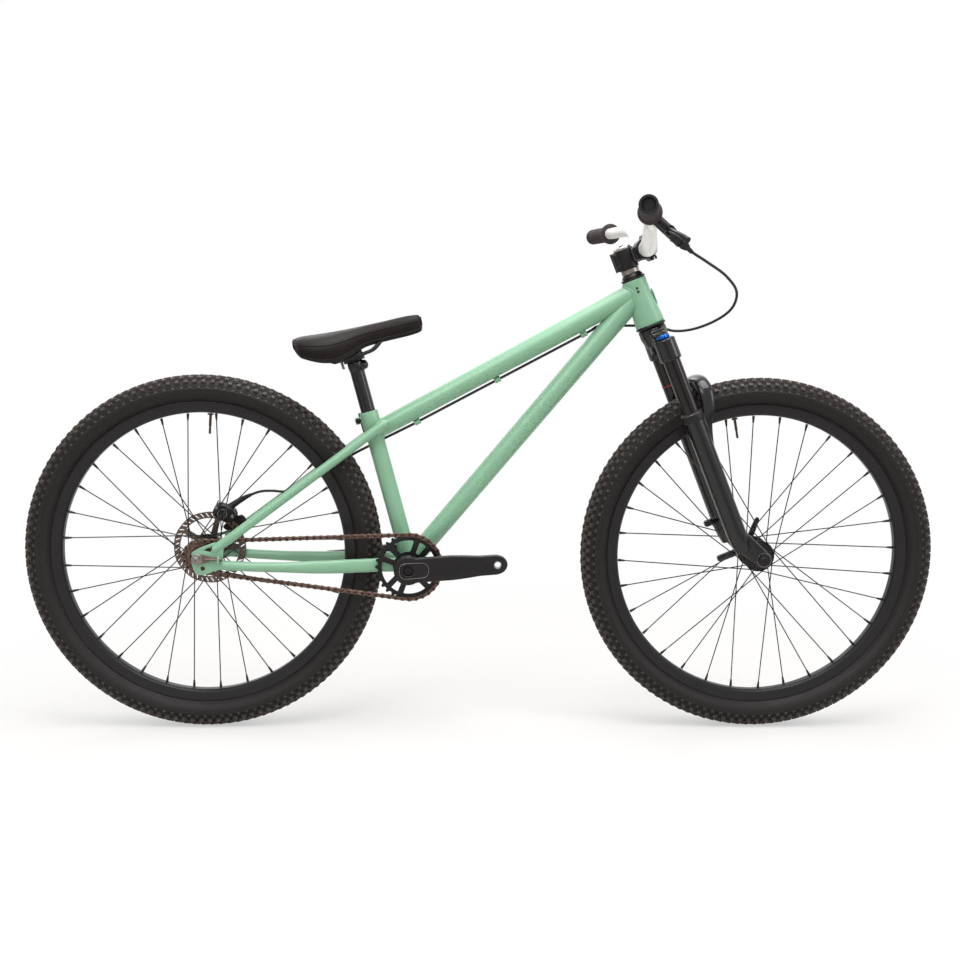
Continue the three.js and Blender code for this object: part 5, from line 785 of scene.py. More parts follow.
    def ring(self, part: Shape, count: int, finish: Finish, turn: Sequence[float] | None = None,
             step: Sequence[float] = (0, 0, 0)) -> Shape:
        """Repeats a part about the Y axis, or in a row.

        Args:
            part: The part, in its first place.
            count: How many copies there are.
            finish: What the copies are made of.
            turn: The turn from one to the next; evenly round Y if left out.
            step: The move from one to the next.

        Returns:
            All the copies.
        """
        whole = scratch(part, "part")
        spin = Vector(turn) if turn is not None else Vector((0, 2 * math.pi / count, 0))
        return self._run(scratch(Shape([Vector()], []), "holder"), self.ring_tree, whole, {
            "Part": whole, "Count": count, "Step": Vector(step), "Turn": spin,
            "Finish": finish.material()})

    def line(self, part: Shape, path: Sequence[Vector], count: int, first: int,
             finish: Finish) -> Shape:
        """Repeats a part along a closed line, at every second place.

        Args:
            part: The part, about the origin, with X along the line.
            path: The line's points.
            count: How many places the line has.
            first: 0 or 1, for the places that are used.
            finish: What the copies are made of.

        Returns:
            All the copies.
        """
        curve = bpy.data.curves.new("path", "CURVE")
        curve.dimensions = "3D"
        threads = curve.splines.new("POLY")
        threads.points.add(len(path) - 1)
        for spot, point in zip(threads.points, path):
            spot.co = (*point, 1)
        threads.use_cyclic_u = True
        holder = bpy.data.objects.new("holder", curve)
        bpy.context.scene.collection.objects.link(holder)
        whole = scratch(part, "part")
        return self._run(holder, self.line_tree, whole, {
            "Part": whole, "Count": count, "First": first, "Finish": finish.material()})


repeater = Repeater()


def make_piece(name: str, parts: Sequence[tuple[Shape, Finish]], body: Body | None,
               replaces: Sequence[str] = (), smooth: float = 38.0,
               place: Matrix | None = None) -> bpy.types.Object:
    """Makes one visible piece and says which body it rides on and what it stands for.

    Args:
        name: The piece's name.
        parts: Its shapes, each with its finish.
        body: The body that it rides on, or none if it is to bend between two.
        replaces: The CAD nodes that it stands for.
        smooth: Edges that turn by more than this many degrees stay crisp.
        place: The frame that its shapes are in; the model's own if left out.

    Returns:
        The new object.
    """
    finishes = list(dict.fromkeys(finish for _, finish in parts))
    mesh = bpy.data.meshes.new(name)
    whole = bmesh.new()
    for shape, finish in parts:
        part = (shape if place is None else shape.moved(place)).mesh(name, MM)
        for face in part.polygons:
            face.material_index = finishes.index(finish)
        whole.from_mesh(part)
        bpy.data.meshes.remove(part)
    whole.to_mesh(mesh)
    whole.free()
    for finish in finishes:
        mesh.materials.append(finish.material())
    mesh.shade_smooth()
    mesh.set_sharp_from_angle(angle=math.radians(smooth))
    piece = bpy.data.objects.new(name, mesh)
    bpy.context.scene.collection.objects.link(piece)
    if body is not None:
        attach(piece, body.value)
    if replaces:
        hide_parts(*replaces)
    log.info("%-28s %7d faces", name, len(mesh.polygons))
    return piece


STEERING = framed((313.0, 0, 767.1), Vector((0.92745, 0, 0.37396)), Vector((-0.37396, 0, 0.92745)))
SEAT = framed((-214.066, 0, 604.145), Vector((0.96547, 0, 0.2605)), Vector((-0.2605, 0, 0.96547)))
LEVER = framed((268.34, -244, 952.34), Vector((0.76229, -0.13434, -0.63314)),
               Vector((0.62669, -0.09129, 0.7739)))
SADDLE = shifted(-241.68, 0, 706.485) @ turned(-11.5, "Y")
RAILS = shifted(-241.68, 0, 706.485) @ turned(-18.5, "Y")
CRANK = shifted(-136.696, 0, 317.4)
REAR_AXLE = shifted(-524.25, 0, 336)
FRONT_AXLE = shifted(524.25, 0, 336)
CALIPER = framed((-524.25, 0, 336), Vector((0.9205, 0, -0.3907)), Vector((0.3907, 0, 0.9205)))
TOP_TUBE_REAR = Vector((-203.8, 0, 566.0))
TOP_TUBE_RADIUS = 16.6
TOP_TUBE_TAPER = 2.8


def at_share(path: Sequence[Vector], share: float) -> tuple[Vector, Vector]:
    """Finds a place on a line by its share of the line's length.

    Args:
        path: The line's points.
        share: The share, from 0 to 1.

    Returns:
        The point and the direction there.
    """
    spans = [(b - a).length for a, b in zip(path, path[1:])]
    left = share * sum(spans)
    for i, span in enumerate(spans):
        if left <= span or i == len(spans) - 1:
            way = (path[i + 1] - path[i]).normalized()
            return path[i] + way * left, way
        left -= span
    raise ValueError("the line has no length")


def bead(path: Sequence[Vector], radius: float, ripples: float = 0.0) -> Shape:
    """A closed ring of weld or rubber along a closed line.

    Args:
        path: The points of its middle line.
        radius: Half its thickness.
        ripples: How much each third point is thicker, as a share of the radius.

    Returns:
        The closed shape.
    """
    centre = sum(path, Vector()) / len(path)
    sides, points = 8, []
    for i, here in enumerate(path):
        tangent = (path[(i + 1) % len(path)] - path[i - 1]).normalized()
        out = here - centre
        normal = (out - tangent * out.dot(tangent)).normalized()
        across = tangent.cross(normal)
        thick = radius * (1 + ripples * (i % 3 == 0))
        points += [here + normal * (p.x * thick) + across * (p.y * thick) for p in ring(1, sides)]
    faces = [(i * sides + j, i * sides + (j + 1) % sides,
              (i + 1) % len(path) * sides + (j + 1) % sides, (i + 1) % len(path) * sides + j)
             for i in range(len(path)) for j in range(sides)]
    return Shape(points, faces)


def weld(start: Vector, end: Vector, radius: float, main: tuple[Vector, Vector, float],
         thick: float = 2.1) -> Shape:
    """The weld bead where one round tube runs into another.

    Args:
        start: A point on the joining tube's middle line, outside the other tube.
        end: A point on that line inside the other tube.
        radius: The joining tube's radius where they meet.
        main: The other tube's point, direction and radius.
        thick: Half the bead's thickness.

    Returns:
        The bead.
    """
    place = along(start, end)
    way = (end - start).normalized()
    foot, axis, reach = main
    path = []
    for spot in ring(radius, 90):
        here = place @ Vector((spot.x, spot.y, 0))
        off = (here - foot) - axis * (here - foot).dot(axis)
        lean = way - axis * way.dot(axis)
        a, b, c = lean.dot(lean), off.dot(lean), off.dot(off) - reach * reach
        if b * b - a * c > 0:
            path.append(here + way * ((-b - math.sqrt(b * b - a * c)) / a))
    return bead(path, thick, 0.22)


@dataclass
class Studio:
    """The photograph's camera, a pale floor and soft room light."""

    eye: tuple[float, float, float] = (-58.9, -2376.8, 773.6)
    yaw: float = 1.328
    pitch: float = 7.146
    roll: float = 0.403
    lens: float = 47.53

    def build(self) -> None:
        """Sets the camera, the room and its lamps."""
        self._camera()
        self._room()
        self._lamp("window_lamp", (-1.4, -2.4, 2.7), (0.0, 0.0, 0.4), 1.8, 42)
        self._lamp("ceiling_lamp", (0.2, -0.5, 3.2), (0.0, 0.0, 0.3), 2.4, 120)
        self._lamp("side_lamp", (2.9, -1.2, 1.8), (0.2, 0.0, 0.5), 1.2, 20)
        self._lamp("back_lamp", (-0.8, 2.6, 2.6), (0.0, 0.0, 0.4), 2.0, 26)

    def _camera(self) -> None:
        """Places the camera as worked out from the photograph."""
        yaw, pitch, roll = (math.radians(a) for a in (self.yaw, self.pitch, self.roll))
        ahead = Vector((math.sin(yaw) * math.cos(pitch), math.cos(yaw) * math.cos(pitch),
                        -math.sin(pitch)))
        right = Vector((math.cos(yaw), -math.sin(yaw), 0))
        up = right.cross(ahead)
        right, up = (right * math.cos(roll) + up * math.sin(roll),
                     up * math.cos(roll) - right * math.sin(roll))
        lens = bpy.data.cameras.new("camera")
        lens.lens, lens.sensor_width = self.lens, 36.0
        lens.clip_start, lens.clip_end = 0.05, 60.0
        camera = bpy.data.objects.new("camera", lens)
        camera.matrix_world = (Matrix.Translation(Vector(self.eye) * MM)
                               @ Matrix((right, up, -ahead)).transposed().to_4x4())
        bpy.context.scene.collection.objects.link(camera)
        bpy.context.scene.camera = camera

    @staticmethod
    def _room() -> None:
        """Lays a pale floor and makes a pale room that the camera and reflections see."""
        bpy.context.scene.view_settings.view_transform = "Standard"
        half = 14.0
        sheet = bpy.data.meshes.new("floor")
        sheet.from_pydata([(-half, -half, 0), (half, -half, 0), (half, half, 0), (-half, half, 0)],
                          [], [(0, 1, 2, 3)])
        floor = bpy.data.objects.new("floor", sheet)
        bpy.context.scene.collection.objects.link(floor)
        screed = Finish("pale_floor_screed", None, "#dcd9d6", "#d2cfcc", 0.7, specular=0.1,
                        grain_mm=6, grain_depth_mm=0.05, patch_mm=900)
        sheet.materials.append(screed.material())
        Studio._fade(screed.material().node_tree)
        world = bpy.data.worlds.new("pale_room")
        bpy.context.scene.world = world
        world.use_nodes = True
        tree = world.node_tree
        tree.nodes.clear()
        path = add_node(tree, "ShaderNodeLightPath")
        seen = add_node(tree, "ShaderNodeMath", {"operation": "MAXIMUM"}, {
            0: path.outputs["Is Camera Ray"], 1: path.outputs["Is Glossy Ray"]})
        seen = add_node(tree, "ShaderNodeMath", {"operation": "MAXIMUM"}, {
            0: seen.outputs["Value"], 1: path.outputs["Is Transmission Ray"]})
        light = add_node(tree, "ShaderNodeBackground", inputs={
            "Color": linear("#eef0f0"), "Strength": 0.4})
        wall = add_node(tree, "ShaderNodeBackground", inputs={
            "Color": linear("#ffffff"), "Strength": 1.0})
        both = add_node(tree, "ShaderNodeMixShader", inputs={
            0: seen.outputs["Value"], 1: light.outputs["Background"],
            2: wall.outputs["Background"]})
        add_node(tree, "ShaderNodeOutputWorld", inputs={"Surface": both.outputs["Shader"]})

    @staticmethod
    def _fade(tree: bpy.types.NodeTree) -> None:
        """Lets the floor run into the white behind it, and keeps the shadow near the object.

        Args:
            tree: The floor material's tree.
        """
        ends = next(n for n in tree.nodes if n.type == "OUTPUT_MATERIAL").inputs["Surface"]
        lit = ends.links[0].from_socket
        place = add_node(tree, "ShaderNodeTexCoord").outputs["Object"]
        out = add_node(tree, "ShaderNodeVectorMath", {"operation": "LENGTH"}, {0: place})
        far = add_node(tree, "ShaderNodeMapRange", {"interpolation_type": "SMOOTHSTEP"}, {
            "Value": out.outputs["Value"], "From Min": 0.5, "From Max": 1.5, "To Min": 0.5,
            "To Max": 1.0})
        seen = add_node(tree, "ShaderNodeMath", {"operation": "MULTIPLY"}, {
            0: far.outputs["Result"],
            1: add_node(tree, "ShaderNodeLightPath").outputs["Is Camera Ray"]})
        white = add_node(tree, "ShaderNodeEmission", inputs={"Color": linear("#ffffff")})
        both = add_node(tree, "ShaderNodeMixShader", inputs={
            0: seen.outputs["Value"], 1: lit, 2: white.outputs["Emission"]})
        tree.links.new(both.outputs["Shader"], ends)

    @staticmethod
    def _lamp(name: str, place: Sequence[float], target: Sequence[float], size: float,
              watts: float) -> None:
        """Adds a square soft lamp that faces a point.

        Args:
            name: The lamp's name.
            place: Where it hangs, in metres.
            target: The point that it faces.
            size: The length of its sides.
            watts: Its power.
        """
        lamp = bpy.data.lights.new(name, "AREA")
        lamp.size, lamp.energy = size, watts
        light = bpy.data.objects.new(name, lamp)
        light.location = Vector(place)
        light.rotation_euler = (Vector(target) - Vector(place)).to_track_quat("-Z", "Y").to_euler()
        bpy.context.scene.collection.objects.link(light)


@dataclass
class BrakeHose:
    """The rear brake's hose: a free loop round the head tube, and the run along the frame."""

    radius: float = 2.5
    guide_shares: tuple[float, ...] = (0.145, 0.449, 0.775)
    guide_radius: float = 5.0
    guide_length: float = 12.0
    eye_share: float = 0.724
    loop: Triples = (
        (380, -178, 877), (421, -142, 855), (450, -100, 828), (451, -60, 800), (429, -20, 777),
        (392, 8, 761), (360, 25, 758), (334, 35, 765.5), (306, 38, 767), (276, 37, 767),
        (240, 29, 767), (224, 20, 766), (212, 9, 764.5))
    past_seat_tube: Triples = ((-158, 11, 566), (-184, 21, 552.5), (-212, 27, 538))
    to_caliper: Triples = (
        (-304, 40, 480), (-340, 38.5, 461), (-374, 41, 447), (-402, 48, 447), (-425, 53.5, 445),
        (-448, 57.5, 436.5), (-466, 58.5, 427))

    def guides(self) -> list[Vector]:
        """Finds where the guides hang under the top tube.

        Returns:
            The middles of the three guides, from the rear.
        """
        start, end = TOP_TUBE_REAR, STEERING @ Vector((0, 0, 69))
        way = (end - start).normalized()
        below = Vector((way.z, 0, -way.x))
        return [start + (end - start) * share + below * (TOP_TUBE_RADIUS + TOP_TUBE_TAPER * share
                                                        + self.guide_radius)
                for share in self.guide_shares]

    def stay_eye(self) -> tuple[Vector, Vector]:
        """The middle and the direction of the eye under the left seatstay."""
        point, way = at_share(Frame().seatstay_line(), self.eye_share)
        return point + Vector((way.z, 0, -way.x)).normalized() * 13.6, way

    def build(self) -> None:
        guides = self.guides()
        way = (guides[2] - guides[0]).normalized()
        eye, stay_way = self.stay_eye()
        start = LEVER @ Vector(BrakeLever.outlet)
        out = (start - LEVER @ Vector((BrakeLever.clamp_radius, 0, 0))).normalized()
        route = [start, start + out * 12, *self.loop, guides[2] + way * (self.guide_length * 4 / 3),
                 guides[2] + way * 0.3]
        path = spline(route, 140)
        free = make_piece("brake_hose_loop_jacket", [(sweep(path, self.radius, 16), HOSE_JACKET)],
                          None, ["brake_hose_loop"])
        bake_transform(free)
        route = [guides[2], guides[1], guides[0], guides[0] - way * self.guide_length,
                 *self.past_seat_tube, eye + stay_way * self.guide_length, eye,
                 eye - stay_way * self.guide_length, *self.to_caliper]
        run = spline(route, 160)
        sleeves = [sweep(run[-13:], lambda t: (3.1 + 2.6 * t,) * 2, 20),
                   sweep([start - out * 2, start + out * 14], lambda t: (4.6 - t, 4.6 - t), 20)]
        make_piece("brake_hose_run_jacket", [
            (sweep(run, self.radius, 16), HOSE_JACKET), (sleeves[0], BLACK_NYLON)],
            Body.FRAME, ["brake_hose_frame_run"])
        make_piece("lever_hose_boot", [(sleeves[1], BLACK_NYLON)], Body.STEERING)


@dataclass
class Frame:
    """The welded steel frame, with its dropouts, chain tensioners and hose guides."""

    seat_tube_radius: float = 16.0
    down_radius: float = 17.4
    down_taper: float = 1.8
    shell_radius: float = 20.5
    shell_half: float = 36.5
    stay_radius: float = 8.6
    stay_half: float = 67.5
    stay_line: Pairs = (
        (0, 1.02), (0.13, 0.985), (0.38, 0.82), (0.6, 0.66), (0.74, 0.56), (0.86, 0.46), (1, 0.4))
    chainstay_line: Quads = (
        (0.09, 0.98, -1.15, 0), (0.25, 0.93, -1.25, 0), (0.45, 0.83, -1.1, 0.15),
        (0.62, 0.7, -0.85, 0.7), (0.77, 0.585, -0.4, 1), (0.88, 0.515, -0.1, 1), (1, 0.43, 0, 1))
    dropout: Pairs = (
        (-0.18, 0.2), (0.14, 0.37), (0.56, 0.52), (0.8, 0.36), (0.78, 0.02), (0.78, -0.3),
        (0.45, -0.4), (0.2, -0.5), (-0.05, -0.5), (-0.13, -0.34), (-0.18, -0.1), (-0.18, -0.088),
        (0.22, -0.088), (0.22, 0.088), (-0.18, 0.088))

    def seatstay_line(self) -> list[Vector]:
        """The left seatstay's middle line, from the dropout up."""
        low, high = Vector((-493.25, 0, 352.5)), TOP_TUBE_REAR + Vector((28, 0, 22.5))
        return spline([low + (high - low) * share + AXIS_Y * (wide * self.stay_half)
                       for share, wide in self.stay_line], 48)

    def chainstay_path(self) -> list[Vector]:
        """The left chainstay's middle line, from the dropout forwards."""
        start, end = REAR_AXLE.translation, CRANK.translation
        return spline([start + (end - start) * share + Vector((0, wide * self.stay_half, down * 9))
                       for share, wide, down, _ in self.chainstay_line], 44)

    def build(self) -> None:
        """Makes every welded part and what is bolted to it."""
        self._head_tube()
        self._main_tubes()
        self._shell()
        self._stays()
        for side in Side:
            self._rear_end(side)

    def _head_tube(self) -> None:
        """The tapered head tube, with its plain badge and two ports."""
        profile = fillet([(23.5, 2.5), (27.5, 2.5), (27.5, 11.5), (22.5, 61.8), (22.5, 91.5),
                          (18.5, 91.5), (18.5, 30)], 2.5)
        badge = plate(fillet([(-7, 34), (7, 34), (8, 60), (0, 66), (-8, 60)], 3, closed=True),
                      -0.9, 0.9, edge=0.4).moved(shifted(25.2) @ turned(90, "Z"))
        port = lathe([(0, -0.4), (2.2, -0.4), (2.2, 0.5), (1.9, 0.7), (1.4, 0.2), (0, 0.2)], 20)
        ports = [port.moved(shifted(-2.6, -22.3, z) @ turned(90, "X")) for z in (75, 68)]
        make_piece("head_tube_painted", [
            (lathe(profile, 96), MINT_ENAMEL), (badge, MINT_ENAMEL),
            (joined(ports), BLACK_NYLON)], Body.FRAME, ["head_tube"], place=STEERING)

    def _main_tubes(self) -> None:
        """Top, down and seat tubes with their weld beads and the guides for the hose."""
        shell, seat_way = CRANK @ Vector(), (TOP_TUBE_REAR - CRANK @ Vector()).normalized()
        head = (STEERING @ Vector(), (STEERING @ Vector((0, 0, 1)) - STEERING @ Vector()))
        top_end, down_end = STEERING @ Vector((-4, 0, 69)), STEERING @ Vector((-4, 0, 62))
        top = sweep(spline([TOP_TUBE_REAR, top_end], 40),
                    lambda t: (TOP_TUBE_RADIUS + TOP_TUBE_TAPER * t,) * 2, 48)
        welds = [weld(TOP_TUBE_REAR, top_end, 19.3, (*head, 22.6)),
                 weld(top_end, TOP_TUBE_REAR, 16.7, (shell, seat_way, self.seat_tube_radius))]
        hose = BrakeHose()
        way = (top_end - TOP_TUBE_REAR).normalized()
        guides = [sweep([g - way * 6, g + way * 6], 5.2, 20) for g in hose.guides()]
        guides += [block(10, 5, 8, 1.2).moved(along(g, g + way)) for g in hose.guides()]
        make_piece("top_tube_painted", [(joined([top, *welds, *guides]), MINT_ENAMEL)],
                   Body.FRAME, ["top_tube"])
        down = sweep(spline([shell, down_end], 48),
                     lambda t: (self.down_radius + self.down_taper * t,) * 2, 48)
        welds = [weld(shell, down_end, 19.1, (*head, 23.4)),
                 weld(down_end, shell, 17.5, (shell, AXIS_Y, self.shell_radius))]
        make_piece("down_tube_painted", [(joined([down, *welds]), MINT_ENAMEL)],
                   Body.FRAME, ["down_tube"])
        seat_top = SEAT @ Vector()
        tube = sweep(spline([shell, SEAT @ Vector((0, 0, -32))], 24), self.seat_tube_radius, 48)
        collar = rounded([(13.7, -34), (17.6, -34), (17.6, 0), (13.7, 0)], 1.4, 64)
        lug = block(15, 20, 13, 2.5).moved(shifted(-20.5, 0, -12))
        slit = block(7, 1.2, 36, 0.3).moved(shifted(-16.4, 0, -17))
        base = weld(seat_top, shell, 16.1, (shell, AXIS_Y, self.shell_radius))
        make_piece("seat_tube_painted", [
            (joined([tube, base, (collar + lug).moved(SEAT)]), MINT_ENAMEL),
            (slit.moved(SEAT), BLACK_NYLON)], Body.FRAME, ["seat_tube"])
        heads = [screw(5.3, 5, 2.4).moved(SEAT @ shifted(-21.6, side.value * 10.4, -12)
                                          @ turned(-90 * side.value, "X")) for side in Side]
        make_piece("seat_clamp_screw", [(joined(heads), DARK_ANODISED)], Body.FRAME,
                   ["seat_clamp_bolt"])

    def _shell(self) -> None:
        """The bottom bracket shell and its cups."""
        end, radius = self.shell_half, self.shell_radius
        profile = fillet([(17.5, -end), (radius, -end), (radius, end), (17.5, end)], 1.0)
        make_piece("bottom_bracket_shell_painted", [(lathe(profile, 72), MINT_ENAMEL)],
                   Body.FRAME, ["bottom_bracket_shell"], place=CRANK @ TO_Y)
        for side in Side:
            cup = rounded([(13.2, end + 0.1), (22, end + 0.1), (22, end + 5), (18, end + 7.6),
                           (13.2, end + 7.6)], 1.0, 72)
            notch = repeater.ring(block(1.6, 5, 3, 0.5).moved(shifted(21.4, end + 3)), 16,
                                  DARK_ANODISED)
            make_piece(f"bottom_bracket_cup_{side.word}_turned", [
                ((cup.moved(TO_Y) + notch).on(side), DARK_ANODISED)],
                Body.FRAME, [f"bottom_bracket_cup_{side.word}"], place=CRANK)

    def _capped(self, share: float) -> tuple[float, float]:
        """Rounds the seatstay over at its upper end.

        Args:
            share: The share of its length.

        Returns:
            Its radius there, twice.
        """
        left = min(1.0, (1 - share) / 0.035)
        size = self.stay_radius * math.sqrt(max(0.03, 1 - (1 - left) ** 2))
        return size, size

    def _stays(self) -> None:
        """Both pairs of stays, the left seatstay with the hose's eye."""
        seat_line, chain_line = self.seatstay_line(), self.chainstay_path()
        yokes = [row[3] for row in self.chainstay_line]

        def section(share: float) -> tuple[float, float]:
            """Flattens the chainstay where it passes the wheel and the chainring.

            Args:
                share: The share of its length.

            Returns:
                Its half width and half height there.
            """
            at = min(share * (len(yokes) - 1), len(yokes) - 1.001)
            yoke = yokes[int(at)] + (yokes[int(at) + 1] - yokes[int(at)]) * (at % 1)
            return 9 - 2 * yoke, 9 + 4 * yoke

        shell = CRANK @ Vector()
        for side in Side:
            upper = sweep(seat_line, self._capped, 32)
            if side is Side.LEFT:
                eye, way = BrakeHose().stay_eye()
                upper += sweep([eye - way * 6, eye + way * 6], 5.2, 20)
            lower = sweep(chain_line, section, 32)
            lower += weld(chain_line[-12], chain_line[-1], 9.2, (shell, AXIS_Y, 20.7), 1.8)
            for name, shape in (("seatstay", upper), ("chainstay", lower)):
                make_piece(f"{name}_{side.word}_painted", [(shape.on(side), MINT_ENAMEL)],
                           Body.FRAME, [f"{name}_{side.word}"])

    def _rear_end(self, side: Side) -> None:
        """One dropout with its eyelet, tensioner and axle nut.

        Args:
            side: Which side of the bike.
        """
        outline = fillet([(x * 60, z * 60) for x, z in self.dropout], 4.5, closed=True)
        eyelet = [Vector((9.6, -18)) + p for p in ring(4.2, 28)]
        window = fillet([(11.5, 16.5), (31, 25.5), (24, 12.5)], 2.2, closed=True)
        drop = plate(outline, 67.5, 73.5, [eyelet, window], edge=0.9)
        lug = block(4, 16, 12, 1.2).moved(shifted(39.7, 76.9))
        strap = [(-8, -8), (12, -8), (26, -3), (36, -3), (36, 3), (26, 3), (12, 8), (-8, 8)]
        eye = plate(fillet(strap, 3, closed=True), 73.8, 76.3, edge=0.5)
        thread = sweep([Vector((14, 78, 0)), Vector((46, 78, 0))], 2.1, 16)
        cap = screw(4.2, 4, 1.8).moved(shifted(42, 78) @ turned(90, "Y"))
        nut = rounded([(4.4, 78), (7.6, 78), (7.6, 84.6), (6.6, 85.4), (4.4, 85.4)], 0.5, 6)
        washer = rounded([(5.2, 76.4), (10.6, 76.4), (10.6, 77.4), (9.4, 77.6), (9.4, 79.4),
                          (8.4, 79.8), (5.2, 79.8)], 0.4, 48)
        end = lathe([(0, 70), (4.2, 70), (4.2, 85.8), (3.4, 86.4), (2, 86.4), (1.6, 84),
                     (0, 84)], 32)
        nut = (nut + washer + end).moved(TO_Y)
        for name, shape, finish, replaces in (
                (f"dropout_{side.word}_painted", drop + lug, MINT_ENAMEL,
                 [f"dropout_{side.word}"]),
                (f"chain_tensioner_{side.word}_steel", eye + thread + cap, ROTOR_STEEL,
                 [f"chain_tensioner_{side.word}"]),
                (f"rear_axle_nut_{side.word}", nut, BRUSHED_STEEL,
                 ["rear_axle"] if side is Side.RIGHT else [])):
            make_piece(name, [(shape.on(side), finish)], Body.FRAME, replaces, place=REAR_AXLE)


@dataclass
class Cockpit:
    """Headset, stem, handlebar and grips."""

    bar_half: float = 390.0
    bar_rise: float = 45.5
    bar_sweep: float = 54.5
    clamp_radius: float = 15.9
    grip_end_radius: float = 11.1
    grip_inner: float = 262.0
    bends: Triples = (
        (0.15, 0, 0), (0.4, 0.18, 0.05), (0.75, 0.68, 0.12), (1, 0.86, 0.19), (1.25, 0.92, 0.26))

    def bar_point(self, y: float, rise: float, back: float) -> Vector:
        """A point of the bar's middle line from its shares of rise and sweep."""
        return Vector((298.9 - back * self.bar_sweep, y, 909.0 + rise * self.bar_rise))

    def half_line(self) -> list[Vector]:
        """The left half of the bar's middle line, from the clamp outwards."""
        return [self.bar_point(34 + 88 * share, rise, back) for share, rise, back in self.bends]

    def build(self) -> None:
        """Makes the headset, the stem, the bar and the grips."""
        self._headset()
        self._stem()
        self._bar()
        for side in Side:
            self._grip(side)

    def _headset(self) -> None:
        """Both cups, the conical spacer and the bright tube over it."""
        upper = rounded([(16.5, 91.8), (22, 91.8), (23.2, 93.2), (22.6, 95.4), (17.5, 96.8),
                         (16.5, 96.8)], 0.8, 72)
        lower = rounded([(20, -2.8), (27, -2.8), (28.4, -1.4), (28.4, 1.2), (27.4, 2.2),
                         (20, 2.2)], 0.8, 72)
        cone = rounded([(15, 97.1), (21, 97.1), (16.9, 103.1), (16.9, 103.5), (15, 103.5)], 0.8, 72)
        rings = rounded([(14.6, 104), (16.6, 104), (16.6, 112.6), (14.6, 112.6)], 0.7, 72)
        make_piece("headset_upper_cup_turned", [(upper, DARK_ANODISED)], Body.FRAME,
                   ["headset_upper_cup"], place=STEERING)
        make_piece("headset_lower_cup_turned", [(lower, DARK_ANODISED)], Body.FRAME,
                   ["headset_lower_cup"], place=STEERING)
        make_piece("headset_spacer_turned", [(cone, DARK_ANODISED), (rings, BRUSHED_STEEL)],
                   Body.STEERING, ["headset_spacer"], place=STEERING)

    def _stem(self) -> None:
        """The stem's forged body, its faceplate, its bolts and the top cap."""
        clamp = rounded([(14.5, 112.9), (19, 112.9), (19, 150.9), (14.5, 150.9)], 1.8, 64)
        body = block(24, 36, 30, 4.5).moved(shifted(22, 0, 134))
        pinch = block(13, 28, 34, 3.0).moved(shifted(-17.5, 0, 131.9))
        slit = block(8, 1.4, 36, 0.3).moved(shifted(-21.5, 0, 131.9))
        middle = Vector((40, 136.9))
        rear_half = [middle + polar(19.8, 96 + i * 168 / 20) for i in range(21)]
        cradle = plate([*rear_half, (41, 112), (44, 112), (44, 162), (41, 162)][::-1], -25, 25,
                       edge=1.0)
        front_half = [middle + polar(19.8, -72 + i * 144 / 18) for i in range(19)]
        face = plate([(45.6, 112), *front_half, (45.6, 162)], -25, 25, edge=1.4)
        bolts = [screw(3.6, 3.4, 1.7).moved(shifted(48.6, y, z) @ turned(90, "Y"))
                 for y in (-18.5, 18.5) for z in (115.6, 158.2)]
        pinch_bolts = [screw(3.2, 3.0, 1.6).moved(shifted(-18.5, -14, z) @ turned(90, "X"))
                       for z in (122, 142)]
        cap = lathe([(0, 154.4), (5, 154.4), (5.6, 155.6), (14.6, 155.6), (16.5, 153.8),
                     (16.5, 151.1), (0, 151.1)], 64)
        cap_bolt = screw(4.2, 3.4, 2.0).moved(shifted(z=154.6))
        # The bright lines round a panel on each side of the stem are painted highlights of the
        # stem's face edges
        panel = fillet([(13, 122), (33, 122), (33, 147), (13, 147)], 5, closed=True)
        lines = [bead([Vector((p.x, side.value * 17.9, p.y)) for p in panel], 0.45)
                 for side in Side]
        make_piece("stem_forged", [
            (joined([clamp, body, pinch, cradle]), SATIN_METAL), (slit, BLACK_NYLON),
            (cap, BRIGHT_ALUMINIUM), (joined(lines), EDGE_CUT_AND_PAINTED_HIGHLIGHT),
            (joined([cap_bolt, *pinch_bolts]), BLACK_WIRE)],
            Body.STEERING, ["stem_body"], place=STEERING)
        make_piece("stem_faceplate_forged", [(face, SATIN_METAL), (joined(bolts), BLACK_WIRE)],
                   Body.STEERING, ["stem_faceplate"], place=STEERING)

    def _bar(self) -> None:
        """The swept and butted handlebar."""
        half = self.half_line()
        ends = [self.bar_point(200, 0.945, 0.43), self.bar_point(self.bar_half - 14, 0.995, 0.95)]
        left = [*half, *ends]
        right = [Vector((p.x, -p.y, p.z)) for p in reversed(left)]
        path = spline([*right, self.bar_point(0, 0, 0), *left], 180)

        def radius(share: float) -> tuple[float, float]:
            """Makes the bar thick at the clamp and thin at the grips.

            Args:
                share: The share of its length.

            Returns:
                Its radius there, twice.
            """
            out = abs(share - 0.5) * 2
            thick = min(1.0, max(0.0, (0.37 - out) / 0.29))
            thick = thick * thick * (3 - 2 * thick)
            size = self.grip_end_radius + (self.clamp_radius - self.grip_end_radius) * thick
            return size, size

        # The bar's near-white colour is a painted reflection of the pale room on polished metal
        make_piece("handlebar_polished", [(sweep(path, radius, 40), POLISHED_BAR)],
                   Body.STEERING, ["handlebar"])

